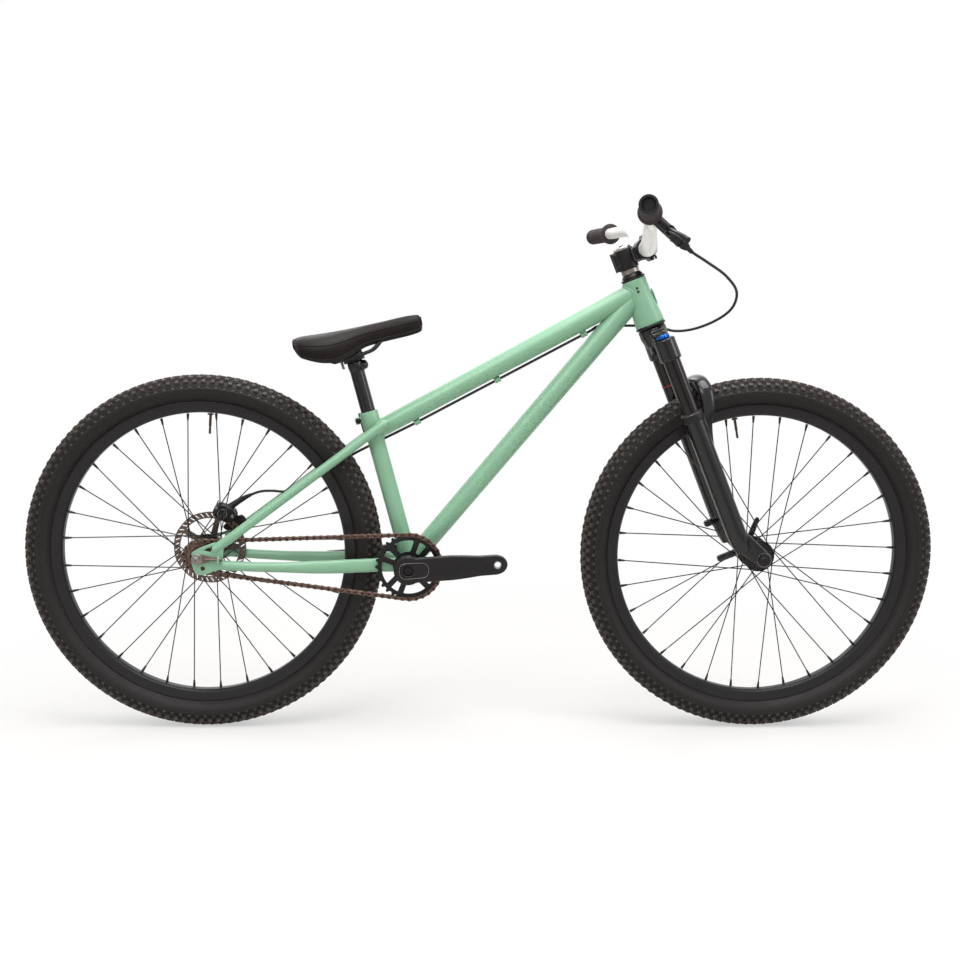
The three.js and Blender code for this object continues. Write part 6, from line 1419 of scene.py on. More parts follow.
    def _grip(self, side: Side) -> None:
        """One ribbed flanged grip with its recessed end cap.

        Args:
            side: Which side of the bike.
        """
        inner, outer = self.bar_point(self.grip_inner, 0.9617, 0.595), self.bar_point(
            self.bar_half, 1, 1)
        place = along(inner, outer)
        long = (outer - inner).length - 2.6
        core = rounded([(11.3, 0), (14.4, 0), (14.4, long - 5), (11.3, long - 5)], 1.2, 48)
        rib = rounded([(13.6, 8.2), (15.8, 8.8), (15.8, 10.4), (13.6, 11)], 0.4, 48)
        ribs = repeater.ring(rib, 28, GRIP_RUBBER, (0, 0, 0), (0, 0, 3.8))
        flange = rounded([(11.3, -2.5), (20.5, -2.5), (21, 0), (20.4, 2.4), (15, 6), (11.3, 6)],
                         1.2, 56)
        cap = lathe([(0, long - 8), (9.6, long - 8), (10.6, long - 7), (11, long - 1.4),
                     (11.8, long - 0.4), (15, long - 0.4), (15.8, long - 1.6), (15.8, long - 9),
                     (12, long - 10), (0, long - 10)], 48)
        parts = [(joined([core, ribs, flange]).moved(place), GRIP_RUBBER),
                 (cap.moved(place), BLACK_NYLON)]
        parts = [(shape.on(side), finish) for shape, finish in parts]
        make_piece(f"grip_{side.word}_rubber", parts, Body.STEERING, [f"grip_{side.word}"])


@dataclass
class BrakeLever:
    """The lever's clamp, cylinder and blade."""

    clamp_radius: float = 15.5
    pivot: tuple[float, float, float] = (44.0, -6.0, 0.0)
    outlet: tuple[float, float, float] = (82.0, 46.0, 0.0)
    blade_reach: float = 88.0
    blade_line: Pairs = ((0, 0), (0.04, -0.2), (0.11, -0.45), (0.2, -0.7), (0.3, -0.87), (0.42, -1))

    def build(self) -> None:
        """Makes the fixed body and the moving blade."""
        clamp = rounded([(11.3, -7), (self.clamp_radius, -7), (self.clamp_radius, 7),
                         (11.3, 7)], 1.5, 48).moved(TO_Y)
        hinge = block(8, 13, 9, 2).moved(shifted(-self.clamp_radius))
        across, ahead, _ = self.pivot
        ears = [plate(fillet([(-6, -7), (8, -7), (8, 7), (-6, 7)], 4, closed=True), -1.4, 1.4,
                      edge=0.6).moved(shifted(across, ahead, z) @ turned(90, "X"))
                for z in (-6.8, 6.8)]
        start, end = Vector((self.clamp_radius, 0, 0)), Vector(self.outlet)
        tank = lathe([(0, 0), (8.6, 0), (9.8, 2), (9.8, 50), (10, 51), (10, 60), (9, 62),
                      (8.4, 74), (7, 79), (5, 84.2), (0, 84.2)], 48).moved(along(start, end))
        arm = block(26, 12, 12, 4).moved(shifted(31, -1) @ turned(4, "Z"))
        bands = [rounded([(9.4, z), (10.6, z), (10.6, z + 2.2), (9.4, z + 2.2)], 0.5, 48).moved(
            along(start, end)) for z in (48, 62)]
        pin = sweep([Vector((across, ahead, z)) for z in (-9.2, 9.2)], 2.5, 20)
        bolt = screw(3.1, 3, 1.5).moved(shifted(-16, -6.4) @ turned(90, "X"))
        body = cast([clamp, hinge, tank, arm, *ears], 0.7, 3)
        make_piece("brake_lever_body_forged", [(body, DARK_ANODISED),
                                               (joined(bands + [pin, bolt]), BLACK_WIRE)],
                   Body.STEERING, ["brake_lever_body"], place=LEVER)
        self._blade()

    def _blade(self) -> None:
        """The curved blade with its pivot's boss."""
        pivot = Vector(self.pivot)
        line = spline([pivot + Vector((x, y, 0)) * self.blade_reach
                       for x, y in self.blade_line], 40)

        def section(share: float) -> tuple[float, float]:
            """Half the height and half the thickness at a share, with a hooked tip."""
            return 5.4 - 1.3 * math.sin(share * math.pi), 4.4 - 1.2 * math.sin(share * math.pi)

        hub = rounded([(2.7, -5.2), (5.6, -5.2), (5.6, 5.2), (2.7, 5.2)], 0.8, 40).moved(
            shifted(*self.pivot))
        blade = sweep(line, section, 24, AXIS_Z)
        make_piece("brake_lever_blade_forged", [(hub + blade, DARK_ANODISED)],
                   Body.LEVER_BLADE, ["brake_lever_blade"], place=LEVER)


@dataclass
class Fork:
    """The suspension fork: crown, stanchions, lowers, knob and axle."""

    leg_y: float = 62.0
    leg_x: float = 4.5
    stanchion_radius: float = 16.0
    leg_radius: float = 18.6
    lower_top: float = 172.0
    lower_bottom: float = 452.0
    axle_x: float = 34.71
    axle_z: float = -478.82
    post_heights: tuple[float, float] = (-401.0, -475.2)
    arch: Triples = (
        (0.16, 1, 1.2), (0.3, 1, 0.92), (0.5, 1, 0.66), (0.84, 0.98, 0.42), (1, 0.86, 0.16),
        (1, 0.6, 0.04), (1, 0, 0))

    def build(self) -> None:
        """Makes every piece of the fork."""
        self._crown()
        for side in Side:
            self._stanchion(side)
        self._lowers()
        self._knob()
        self._axle()

    def _crown(self) -> None:
        """The forged crown with its steerer tube."""
        x, y = self.leg_x, self.leg_y
        hub = lathe([(0, -3.3), (24.5, -3.3), (26.3, -5.3), (26.3, -20), (22, -37), (0, -37)], 56)
        sockets = [lathe([(0, -27.5), (18.4, -27.5), (20, -29.5), (20.2, -66), (19, -68.6),
                          (0, -68.6)], 56).moved(shifted(x, y * side.value)) for side in Side]
        outline = [(20, -7), (20, -35), (40, -57), (74, -60), (78, -40), (66, -28), (42, -22)]
        arms = [plate(fillet([(py * side.value, pz) for py, pz in outline], 7, closed=True),
                      -16, 16, edge=5).moved(shifted(x) @ turned(90, "Z")) for side in Side]
        bridge = block(31, 64, 30, 6).moved(shifted(3, 0, -22))
        whole = cast([hub, *sockets, *arms, bridge], 1.15, 6)
        steerer = lathe([(0, -3), (14.2, -3), (14.2, 148), (0, 148)], 48)
        make_piece("fork_crown_forged", [(whole, GLOSS_ENAMEL), (steerer, SATIN_METAL)],
                   Body.STEERING, ["fork_crown"], place=STEERING)

    def _stanchion(self, side: Side) -> None:
        """One honed tube; the left one carries the thin travel ring.

        Args:
            side: Which side of the bike.
        """
        tube = lathe([(0, -27.8), (self.stanchion_radius, -27.8), (self.stanchion_radius, -301),
                      (14.5, -302), (0, -302)], 64)
        place = STEERING @ shifted(self.leg_x, self.leg_y * side.value)
        parts = [(tube.moved(place), HONED_TUBE)]
        if side is Side.LEFT:
            loop = bead([Vector((16.4 * p.x, 16.4 * p.y, -123)) for p in ring(1, 64)], 0.9)
            parts.append((loop.moved(place), RED_RUBBER))
        make_piece(f"stanchion_{side.word}_honed", parts, Body.STEERING,
                   [f"stanchion_{side.word}"])

    def _lowers(self) -> None:
        """Both cast legs with their arch, dropouts and brake mounts."""
        x, y = self.leg_x, self.leg_y
        top, low = -self.lower_top, -self.lower_bottom
        legs, collars = [], []
        leg = lathe([(0, top - 4), (17.8, top - 4), (self.leg_radius, top - 10),
                     (self.leg_radius, -414), (17, -432), (13, low), (0, low)], 56)
        for side in Side:
            place = shifted(x, y * side.value)
            legs.append(leg.moved(place))
            collar = rounded([(16.3, top + 1), (19.6, top + 0.6), (20.6, top - 2), (20.6, top - 14),
                              (18.4, top - 17), (16.3, top - 17)], 1.0, 64)
            collars.append(collar.moved(place))
            foot = [Vector((self.axle_x + p.x, self.axle_z + p.y)) for p in ring(15, 40)]
            legs.append(plate(foot, 55.4, 69.2, edge=2.0).on(side))
            web = [(-9, -412), (22, -415), (48, -470), (40, -491), (26, -492), (-5, -446)]
            legs.append(plate(fillet(web, 8, closed=True), 55.6, 68.8, edge=3.0).on(side))
        half = [Vector((self.leg_x + 46 * out, y * wide, -123 - 118 * down))
                for out, wide, down in self.arch]
        line = spline([*half, *[Vector((p.x, -p.y, p.z)) for p in reversed(half[:-1])]], 70)

        def depth(share: float) -> float:
            """Half the arch's depth at a share, which grows from the legs to the middle."""
            rise = min(1.0, min(share, 1 - share) / 0.4)
            return 7.8 + 6.6 * rise * rise * (3 - 2 * rise)

        band = [p - AXIS_X * (depth(i / 70) - 7.8) for i, p in enumerate(line)]
        arch = sweep(band, lambda t: (depth(t), 6.6), 28, AXIS_X)
        posts = [block(40, 13, 13, 2.5).moved(shifted(-9.4, 51, z))
                 for z in self.post_heights]
        strut = sweep([Vector((8, 53, -392)), Vector((20, 53, -476))], 7, 16)
        whole = cast([*legs, arch, *posts, strut], 1.45, 5)
        # The bright ring on the outer face of the right axle foot is a painted highlight; the two
        # thinner rings sit at the top of the collars
        rings = [bead([Vector((self.axle_x + 12.8 * p.x, -69.2, self.axle_z + 12.8 * p.y))
                       for p in ring(1, 56)], 0.5),
                 *[bead([Vector((x + 20.4 * p.x, y * side.value + 20.4 * p.y, top - 2))
                         for p in ring(1, 56)], 0.4) for side in Side]]
        holes = [lathe([(0, -0.2), (3.2, -0.2), (4.6, 0.4), (4.6, 1.0), (0, 1.0)], 24).moved(
            shifted(-29.6, 51, z) @ turned(-90, "Y")) for z in self.post_heights]
        make_piece("fork_lowers_cast", [
            (whole, GLOSS_ENAMEL), (joined(collars), BLACK_NYLON), (joined(rings), EDGE_CUT_AND_PAINTED_HIGHLIGHT),
            (joined(holes), BRUSHED_STEEL)], Body.LOWERS, ["fork_lowers"], place=STEERING)

    def _knob(self) -> None:
        """The blue compression knob with its finger scallops."""
        cap = lathe([(0, -26.6), (10.4, -26.6), (11.2, -25.6), (11.2, -21.6), (9.6, -19.9),
                     (4, -19.9), (3.2, -20.8), (0, -20.8)], 56)
        fins = repeater.ring(block(1.6, 5.4, 2.2, 0.5).moved(shifted(11.1, -23.4)), 14,
                             BLUE_ANODISED)
        make_piece("compression_knob_turned", [(cap + fins.moved(turned(90, "X")), BLUE_ANODISED)],
                   Body.KNOB, ["compression_knob"],
                   place=STEERING @ shifted(self.leg_x, -self.leg_y))

    def _axle(self) -> None:
        """The through axle and its lever."""
        rod = lathe([(0, -73), (5, -73), (7.5, -71), (7.5, 69.4), (11.2, 69.6), (11.2, 72.4),
                     (10.4, 73.1), (0, 73.1)], 48)
        cap = lathe([(0, -73.1), (4.6, -73.1), (5.2, -72.2), (10.4, -72.2), (11.1, -71),
                     (11.1, -69.4), (0, -69.4)], 48)
        make_piece("front_axle_turned", [(rod + cap, DARK_ANODISED)],
                   Body.LOWERS, ["front_axle"], place=FRONT_AXLE @ TO_Y)
        blade = plate(fillet([(-9, -6.4), (8, -6.4), (50, -5), (62, -4), (62, 4), (50, 5), (8, 6.4),
                              (-9, 6.4)], 5, closed=True), 73.6, 80.2, edge=1.8)
        pin = screw(4.4, 2.6, 2.0).moved(shifted(y=77.6) @ turned(-90, "X"))
        make_piece("front_axle_lever_forged", [
            (blade.moved(FRONT_AXLE @ turned(-70, "Y")), DARK_ANODISED),
            (pin.moved(FRONT_AXLE), BLACK_WIRE)], Body.AXLE_LEVER, ["front_axle_lever"])


@dataclass
class Wheel:
    """One spoked wheel with its tyre."""

    word: str
    place: Matrix
    body: Body
    right_flange: float
    left_flange: float
    hub_ends: tuple[float, float]
    spoke_share: float
    valve_degrees: float
    tyre_radius: float = 336.0
    tyre_half: float = 28.0
    knob_height: float = 4.2
    knobs: int = 124
    rim_edge: float = 286.0
    rim_bed: float = 265.0
    rim_half: float = 15.0
    spoke_radius: float = 1.05
    spokes_per_side: int = 16
    tip_radius: float = 264.0
    root_radius: float = 27.4

    def build(self) -> None:
        """Makes tyre, rim, hub, spokes and valve."""
        self._tyre()
        self._rim()
        self._hub()
        for side in Side:
            self._spokes(side)
        self._valve()

    def _knob(self, wide: float, long: float, high: float) -> Shape:
        """A tread knob standing up from the origin along Z, narrower at its top.

        Args:
            wide: Its width across the tyre.
            long: Its length along the tyre.
            high: Its height.

        Returns:
            The knob.
        """
        points = []
        for share, z in ((1.1, -1.2), (0.94, high - 0.7), (0.8, high)):
            points += [Vector((x * long / 2 * share, y * wide / 2 * share, z))
                       for x, y in ((-1, -1), (1, -1), (1, 1), (-1, 1))]
        sides = [(a + i, a + (i + 1) % 4, a + 4 + (i + 1) % 4, a + 4 + i)
                 for a in (0, 4) for i in range(4)]
        return Shape(points, [*sides, (0, 1, 2, 3), (8, 9, 10, 11)])

    def _tyre(self) -> None:
        """The carcass, its mould lines and four rows of knobs on each side."""
        crown = self.tyre_radius - self.knob_height
        half = [(crown, 0), (crown - 1.2, 8), (crown - 4.6, 15), (crown - 10.5, 21.5),
                (crown - 19, 25.9), (311, self.tyre_half - 0.2), (301, 26.2), (292, 20.6),
                (286.4, 13.8), (284, 12.8), (280, 12.8)]
        line = spline([Vector((r, y, 0)) for r, y in half], 60)
        outer = [(p.x, p.y) for p in line] + [(280, 8), (300, 0)]
        mirrored = [(r, -y) for r, y in reversed(outer[1:-1])]
        carcass = lathe([*outer, *mirrored], 200)
        ridges = [bead([Vector((r * math.cos(a), y * side.value, r * math.sin(a)))
                        for a in [2 * math.pi * i / 200 for i in range(200)]], 0.5)
                  for r, y in ((291.4, 19.6), (303.6, 27.1), (316.6, 27.0)) for side in Side]
        rows = [(4.3, 6.6, 8.2, 0.0, 2.0), (13.2, 7.2, 9.0, 0.5, 19.0), (20.8, 6.6, 8.0, 0.0, 42.0),
                (25.6, 4.6, 6.0, 0.5, 60.0)]
        tread = []
        for y, wide, long, share, lean in rows:
            at = min(line, key=lambda p, y=y: abs(p.y - y) if p.x > 305 else 99.0)
            high = self.knob_height if lean < 50 else 2.2
            knob = self._knob(wide, long, high).moved(turned(-lean, "X"))
            knob = knob.moved(turned(share * 360 / self.knobs, "Y") @ shifted(0, y, at.x))
            both = knob + knob.mirrored().moved(turned(180 / self.knobs, "Y"))
            tread.append(repeater.ring(both, self.knobs, TREAD_RUBBER))
        make_piece(f"{self.word}_tyre_moulded", [
            (joined([carcass.moved(TO_Y), *ridges]), TYRE_RUBBER),
            (joined(tread), TREAD_RUBBER)],
            self.body, [f"{self.word}_tyre"], smooth=46, place=self.place)

    def _rim(self) -> None:
        """The double-walled rim."""
        edge, bed, half = self.rim_edge, self.rim_bed, self.rim_half
        outside = [(edge, half), (edge - 3, half), (edge - 7, half - 0.7), (bed + 3.5, half - 2.6),
                   (bed, half - 8)]
        inside = [(edge - 8, 6), (edge - 5, half - 1.8), (edge, half - 1.6)]
        profile = fillet([*outside, *[(r, -y) for r, y in reversed(outside)],
                          *[(r, -y) for r, y in reversed(inside)], *inside], 1.1, closed=True)
        make_piece(f"{self.word}_rim_rolled", [(lathe(profile, 220), RIM_ANODISED)], self.body,
                   [f"{self.word}_rim"], place=self.place @ TO_Y)

    def _hub(self) -> None:
        """The turned hub shell with its two flanges."""
        right, left = self.hub_ends
        a, b = self.right_flange, self.left_flange
        profile = fillet([(7.7, right), (10.3, right), (10.3, right + 3), (14.6, a - 4), (15, a),
                          (29.8, a), (29.8, a + 3.3), (17, a + 4.4), (14.2, a + 10), (14.2, b - 10),
                          (17, b - 4.4), (29.8, b - 3.3), (29.8, b), (15, b), (14.6, b + 4),
                          (10.3, (left + b) / 2), (10.3, left), (7.7, left)], 0.8)
        make_piece(f"{self.word}_hub_turned", [(lathe(profile, 96), DARK_ANODISED)], self.body,
                   [f"{self.word}_hub"], place=self.place @ TO_Y)

    def _spokes(self, side: Side) -> None:
        """One side's crossed spokes with their heads and nipples.

        Args:
            side: Which flange they start from.
        """
        flange = self.right_flange if side is Side.RIGHT else self.left_flange
        root_y = flange + side.value * 1.6
        step = 360 / self.spokes_per_side
        first = self.spoke_share + (0.5 if side is Side.LEFT else 0)
        wires, nipples = [], []
        for parity in (0, 1):
            tip_degrees = (parity + first) * step
            root_degrees = tip_degrees + (3 if parity == 0 else -3) * step
            tip, root = polar(self.tip_radius, tip_degrees), polar(self.root_radius, root_degrees)
            foot = Vector((root.x, root_y, root.y))
            head = Vector((tip.x, side.value * 2.5, tip.y))
            way = (head - foot).normalized()
            bend = foot - way * 0.4
            wire = sweep([bend - AXIS_Y * (side.value * 5.4), bend - AXIS_Y * (side.value * 1.2),
                          bend + way * 1.6, foot + way * 14, head], self.spoke_radius, 8, way)
            knob = sweep([bend - AXIS_Y * (side.value * 6.6), bend - AXIS_Y * (side.value * 5.2)],
                         2.0, 8, way)
            seat = sweep([head - way * 13, head - way * 12, head - way * 2.5, head - way * 2, head],
                         lambda t: (1.3 + 0.4 * (t > 0.05) + 0.9 * (t > 0.8),) * 2, 8, AXIS_Y)
            turn = (0, -2 * math.radians(step), 0)
            count = self.spokes_per_side // 2
            wires.append(repeater.ring(wire + knob, count, BLACK_WIRE, turn))
            nipples.append(repeater.ring(seat, count, BLACK_WIRE, turn))
        make_piece(f"{self.word}_spokes_{side.word}_drawn",
                   [(joined(wires + nipples), BLACK_WIRE)], self.body,
                   [f"{self.word}_spokes_{side.word}"], place=self.place)

    def _valve(self) -> None:
        """The valve stem with its lock ring and cap."""
        foot = polar(self.tip_radius, self.valve_degrees)
        end = polar(self.tip_radius - 39.5, self.valve_degrees)
        place = along(Vector((foot.x, 0, foot.y)), Vector((end.x, 0, end.y)))
        stem = lathe([(0, 0), (2.5, 0), (2.5, 24), (1.9, 26), (2.2, 28), (2.2, 37.6), (1.4, 39),
                      (0, 39)], 24)
        thread = bead([Vector((2.5 * p.x, 2.5 * p.y, 4)) for p in ring(1, 24)], 0.25)
        threads = repeater.ring(thread, 18, BRASS_WITH_PAINTED_SHADE, (0, 0, 0), (0, 0, 1.1))
        lock = rounded([(2.6, 0.4), (5.8, 0.4), (5.8, 3.2), (2.6, 3.2)], 0.6, 18)
        # The stem's dark brown is brass darkened with painted shade
        make_piece(f"{self.word}_valve_stem", [(joined([stem, threads, lock]), BRASS_WITH_PAINTED_SHADE)],
                   self.body, [f"{self.word}_valve"], place=self.place @ place)


@dataclass
class Drivetrain:
    """Chain, chainring, sprocket and crank."""

    pitch: float = 12.7
    ring_teeth: int = 30
    sprocket_teeth: int = 14
    chain_y: float = -48.0
    tooth_half: float = 0.95
    links: int = 84
    tilt: float = 4.2
    arm_reach: float = 165.0
    arm_height: float = 22.5
    arm_line: Pairs = (
        (0, 1), (0.5, 1), (0.65, 0.92), (0.8, 0.81), (1, 0.8), (1.07, 0.6), (1.11, 0.2))

    def _pitch_radius(self, teeth: int) -> float:
        """The radius that a toothed wheel carries the chain's pins at."""
        return self.pitch / 2 / math.sin(math.pi / teeth)

    def _chain_line(self) -> list[Vector]:
        """Lays the chain's closed middle line round both toothed wheels.

        Returns:
            Its points, from the chainring's front.
        """
        big, small = self._pitch_radius(self.ring_teeth), self._pitch_radius(self.sprocket_teeth)
        ahead, behind = CRANK @ Vector(), REAR_AXLE @ Vector()
        way = behind - ahead
        lean = math.acos((big - small) / way.length)
        facing = math.atan2(way.z, way.x)

        def arc(centre: Vector, radius: float, start: float, end: float) -> list[Vector]:
            """Draws an arc in the chain's plane.

            Args:
                centre: Its centre.
                radius: Its radius.
                start: The angle at which it starts, in radians.
                end: The angle at which it ends.

            Returns:
                Its points.
            """
            turns = [start + (end - start) * i / 60 for i in range(61)]
            return [Vector((centre.x + radius * math.cos(turn), self.chain_y,
                            centre.z + radius * math.sin(turn))) for turn in turns]

        upper, lower = facing - lean, facing + lean
        return [*arc(ahead, big, 0, upper), *arc(behind, small, upper, lower),
                *arc(ahead, big, lower, 2 * math.pi)[:-1]]

    def build(self) -> None:
        """Makes the whole drive."""
        self._chain()
        self._chainring()
        self._sprocket()
        for side in Side:
            self._arm(side)

    def _link(self, half_gap: float, thick: float) -> Shape:
        """Two waisted side plates with the pins between them.

        Args:
            half_gap: How far each plate's inner face is from the chain's middle.
            thick: The plate's thickness.

        Returns:
            The link, with X along the chain.
        """
        half, eye = self.pitch / 2, 4.2
        outline = [(half + eye * math.cos(a), eye * math.sin(a))
                   for a in [math.radians(-120 + i * 30) for i in range(9)]]
        outline += [(0, 2.9)]
        outline += [(-x, z) for x, z in reversed(outline[:-1])] + [(0, -2.9)]
        side = plate(outline, half_gap, half_gap + thick, edge=0.25, steps=1)
        pins = [lathe([(0, -3.9), (1.9, -3.9), (1.9, 3.9), (0, 3.9)], 10).moved(
            shifted(x) @ TO_Y) for x in (-half, half)]
        return joined([side, side.mirrored(), *pins])

    def _chain(self) -> None:
        """The chain, in inner and outer links by turns."""
        line = self._chain_line()
        outer = repeater.line(self._link(2.6, 1.1), line, self.links, 0, CHAIN_STEEL)
        inner = repeater.line(self._link(1.4, 1.0), line, self.links, 1, CHAIN_STEEL)
        make_piece("chain_links", [(outer + inner, CHAIN_STEEL)], Body.FRAME, ["chain"])

    def _toothed(self, teeth: int, start: float) -> list[Vector]:
        """Draws a toothed wheel.

        Args:
            teeth: How many teeth it has.
            start: The angle of one of them, in degrees.

        Returns:
            Its outline.
        """
        pitch, step = self._pitch_radius(teeth), 360 / teeth
        shape = ((-0.5, -3.3), (-0.3, -2.3), (-0.2, 0.2), (-0.09, 2.2), (0.09, 2.2), (0.2, 0.2),
                 (0.3, -2.3))
        return [polar(pitch + out, start + (i + share) * step) for i in range(teeth)
                for share, out in shape]

    def _chainring(self) -> None:
        """The chainring with its windows and a raised ring."""
        inner, outer, phase = 26.9, self._pitch_radius(self.ring_teeth) - 10.2, 57.8
        holes = []
        for quarter in range(4):
            for low, high in ((-0.09, 0.09), (0.23, 0.77)):
                lean = (high - low) / 8
                count = max(2, round((high - low) * 16))
                shares = [low + (high - low) * i / count for i in range(count + 1)]
                inside = [low + lean + (high - low - 2 * lean) * i / count
                          for i in range(count + 1)]
                corners = [polar(inner + 2.4, phase + (quarter + s) * 90) for s in inside]
                corners += [polar(outer, phase + (quarter + s) * 90) for s in reversed(shares)]
                holes.append(fillet(corners, 1.6, closed=True, steps=2))
        centre = ring(12.2, 40)
        disc = plate(self._toothed(self.ring_teeth, 0), self.chain_y - self.tooth_half,
                     self.chain_y + self.tooth_half, [centre, *holes], edge=0.35, steps=1)
        rim = bead([Vector((54.2 * p.x, -48.7, 54.2 * p.y)) for p in ring(1, 120)], 0.7)
        make_piece("chainring_machined", [(disc + rim, DARK_ANODISED)],
                   Body.CRANK, ["chainring"], place=CRANK)

    def _sprocket(self) -> None:
        """The sprocket with its driver and lock ring."""
        line = self._chain_line()
        spans = [(b - a).length for a, b in zip(line, [*line[1:], line[0]])]
        step = sum(spans) / self.links
        shares = [i * step / sum(spans) for i in range(self.links)]
        closed = [*line, line[0]]
        back = min((at_share(closed, share)[0] for share in shares), key=lambda p: p.x)
        axle = REAR_AXLE.translation
        start = math.degrees(math.atan2(back.z - axle.z, back.x - axle.x))
        disc = plate(self._toothed(self.sprocket_teeth, start), self.chain_y - self.tooth_half,
                     self.chain_y + self.tooth_half, [ring(9.4, 32)], edge=0.35, steps=1)
        driver = rounded([(7.7, -31.4), (18, -31.4), (18, -44), (13.4, -46.9), (13.4, -49.2),
                          (17.6, -49.2), (17.6, -51.4), (12.4, -52.2), (9.1, -54), (9.1, -67),
                          (7.7, -67)], 0.6, 64)
        make_piece("sprocket_machined", [
            (disc.moved(REAR_AXLE), CHAIN_STEEL), (driver.moved(REAR_AXLE @ TO_Y), DARK_ANODISED)],
            Body.SPROCKET, ["rear_sprocket"])

    def _arm(self, side: Side) -> None:
        """One crank arm with its boss, spindle end, pedal eye and a painted highlight along its
        edge.

        Args:
            side: Which side of the bike; the right one points forwards and carries the spindle.
        """
        top = [Vector((self.arm_reach * share, self.arm_height * high))
               for share, high in self.arm_line]
        back = [polar(26.6, 58 + i * 244 / 18) for i in range(19)]
        outline = [*back, *[Vector((p.x, -p.y)) for p in top[1:]], *reversed(top[1:])]
        eye = [Vector((self.arm_reach, 0)) + p for p in ring(7.2, 36)]
        arm = plate(fillet(outline, 4, closed=True, steps=2), 76.2, 90.8, [eye, ring(9.2, 40)],
                    edge=2.4, steps=4)
        oblong = fillet([(-16, -15), (38, -13.5), (38, 13.5), (-16, 15)], 14, closed=True, steps=8)
        # A bright metal line just inside the face's outline: a painted highlight along the rounded
        # edge
        painted_edge_highlight = inset(fillet(outline, 6, closed=True), 1.6)
        lines = [bead([Vector((p.x, 90.75, p.y)) for p in oblong], 0.4),
                 bead([Vector((p.x, 90.1, p.y)) for p in painted_edge_highlight], 0.32)]
        bush = rounded([(5.8, 77.4), (7.4, 77.4), (7.4, 90.2), (5.8, 90.2)], 0.5, 40)
        bush = bush.moved(shifted(self.arm_reach) @ TO_Y)
        boss = rounded([(12.2, 45.2), (21, 45.2), (25, 60), (26.2, 77), (12.2, 77)], 1.2, 64)
        bolt = lathe([(0, 84), (3.6, 84), (4.2, 86), (7.6, 86), (8.8, 84.8), (9.1, 80),
                      (0, 80)], 48)
        turn = turned(-self.tilt + (180 if side is Side.LEFT else 0), "Y")
        parts = [(arm + boss.moved(TO_Y), SATIN_METAL), (bolt.moved(TO_Y), DARK_ANODISED),
                 (bush, BRUSHED_STEEL), (joined(lines), EDGE_CUT_AND_PAINTED_HIGHLIGHT)]
        parts = [(shape.on(side), finish) for shape, finish in parts]
        if side is Side.RIGHT:
            spindle = lathe([(0, -83), (12, -83), (12, 83), (0, 83)], 48).moved(TO_Y)
            parts.append((spindle, BRUSHED_STEEL))
        make_piece(f"crank_arm_{side.word}_forged",
                   [(shape.moved(CRANK @ turn), finish) for shape, finish in parts],
                   Body.CRANK, [f"crank_arm_{side.word}"])


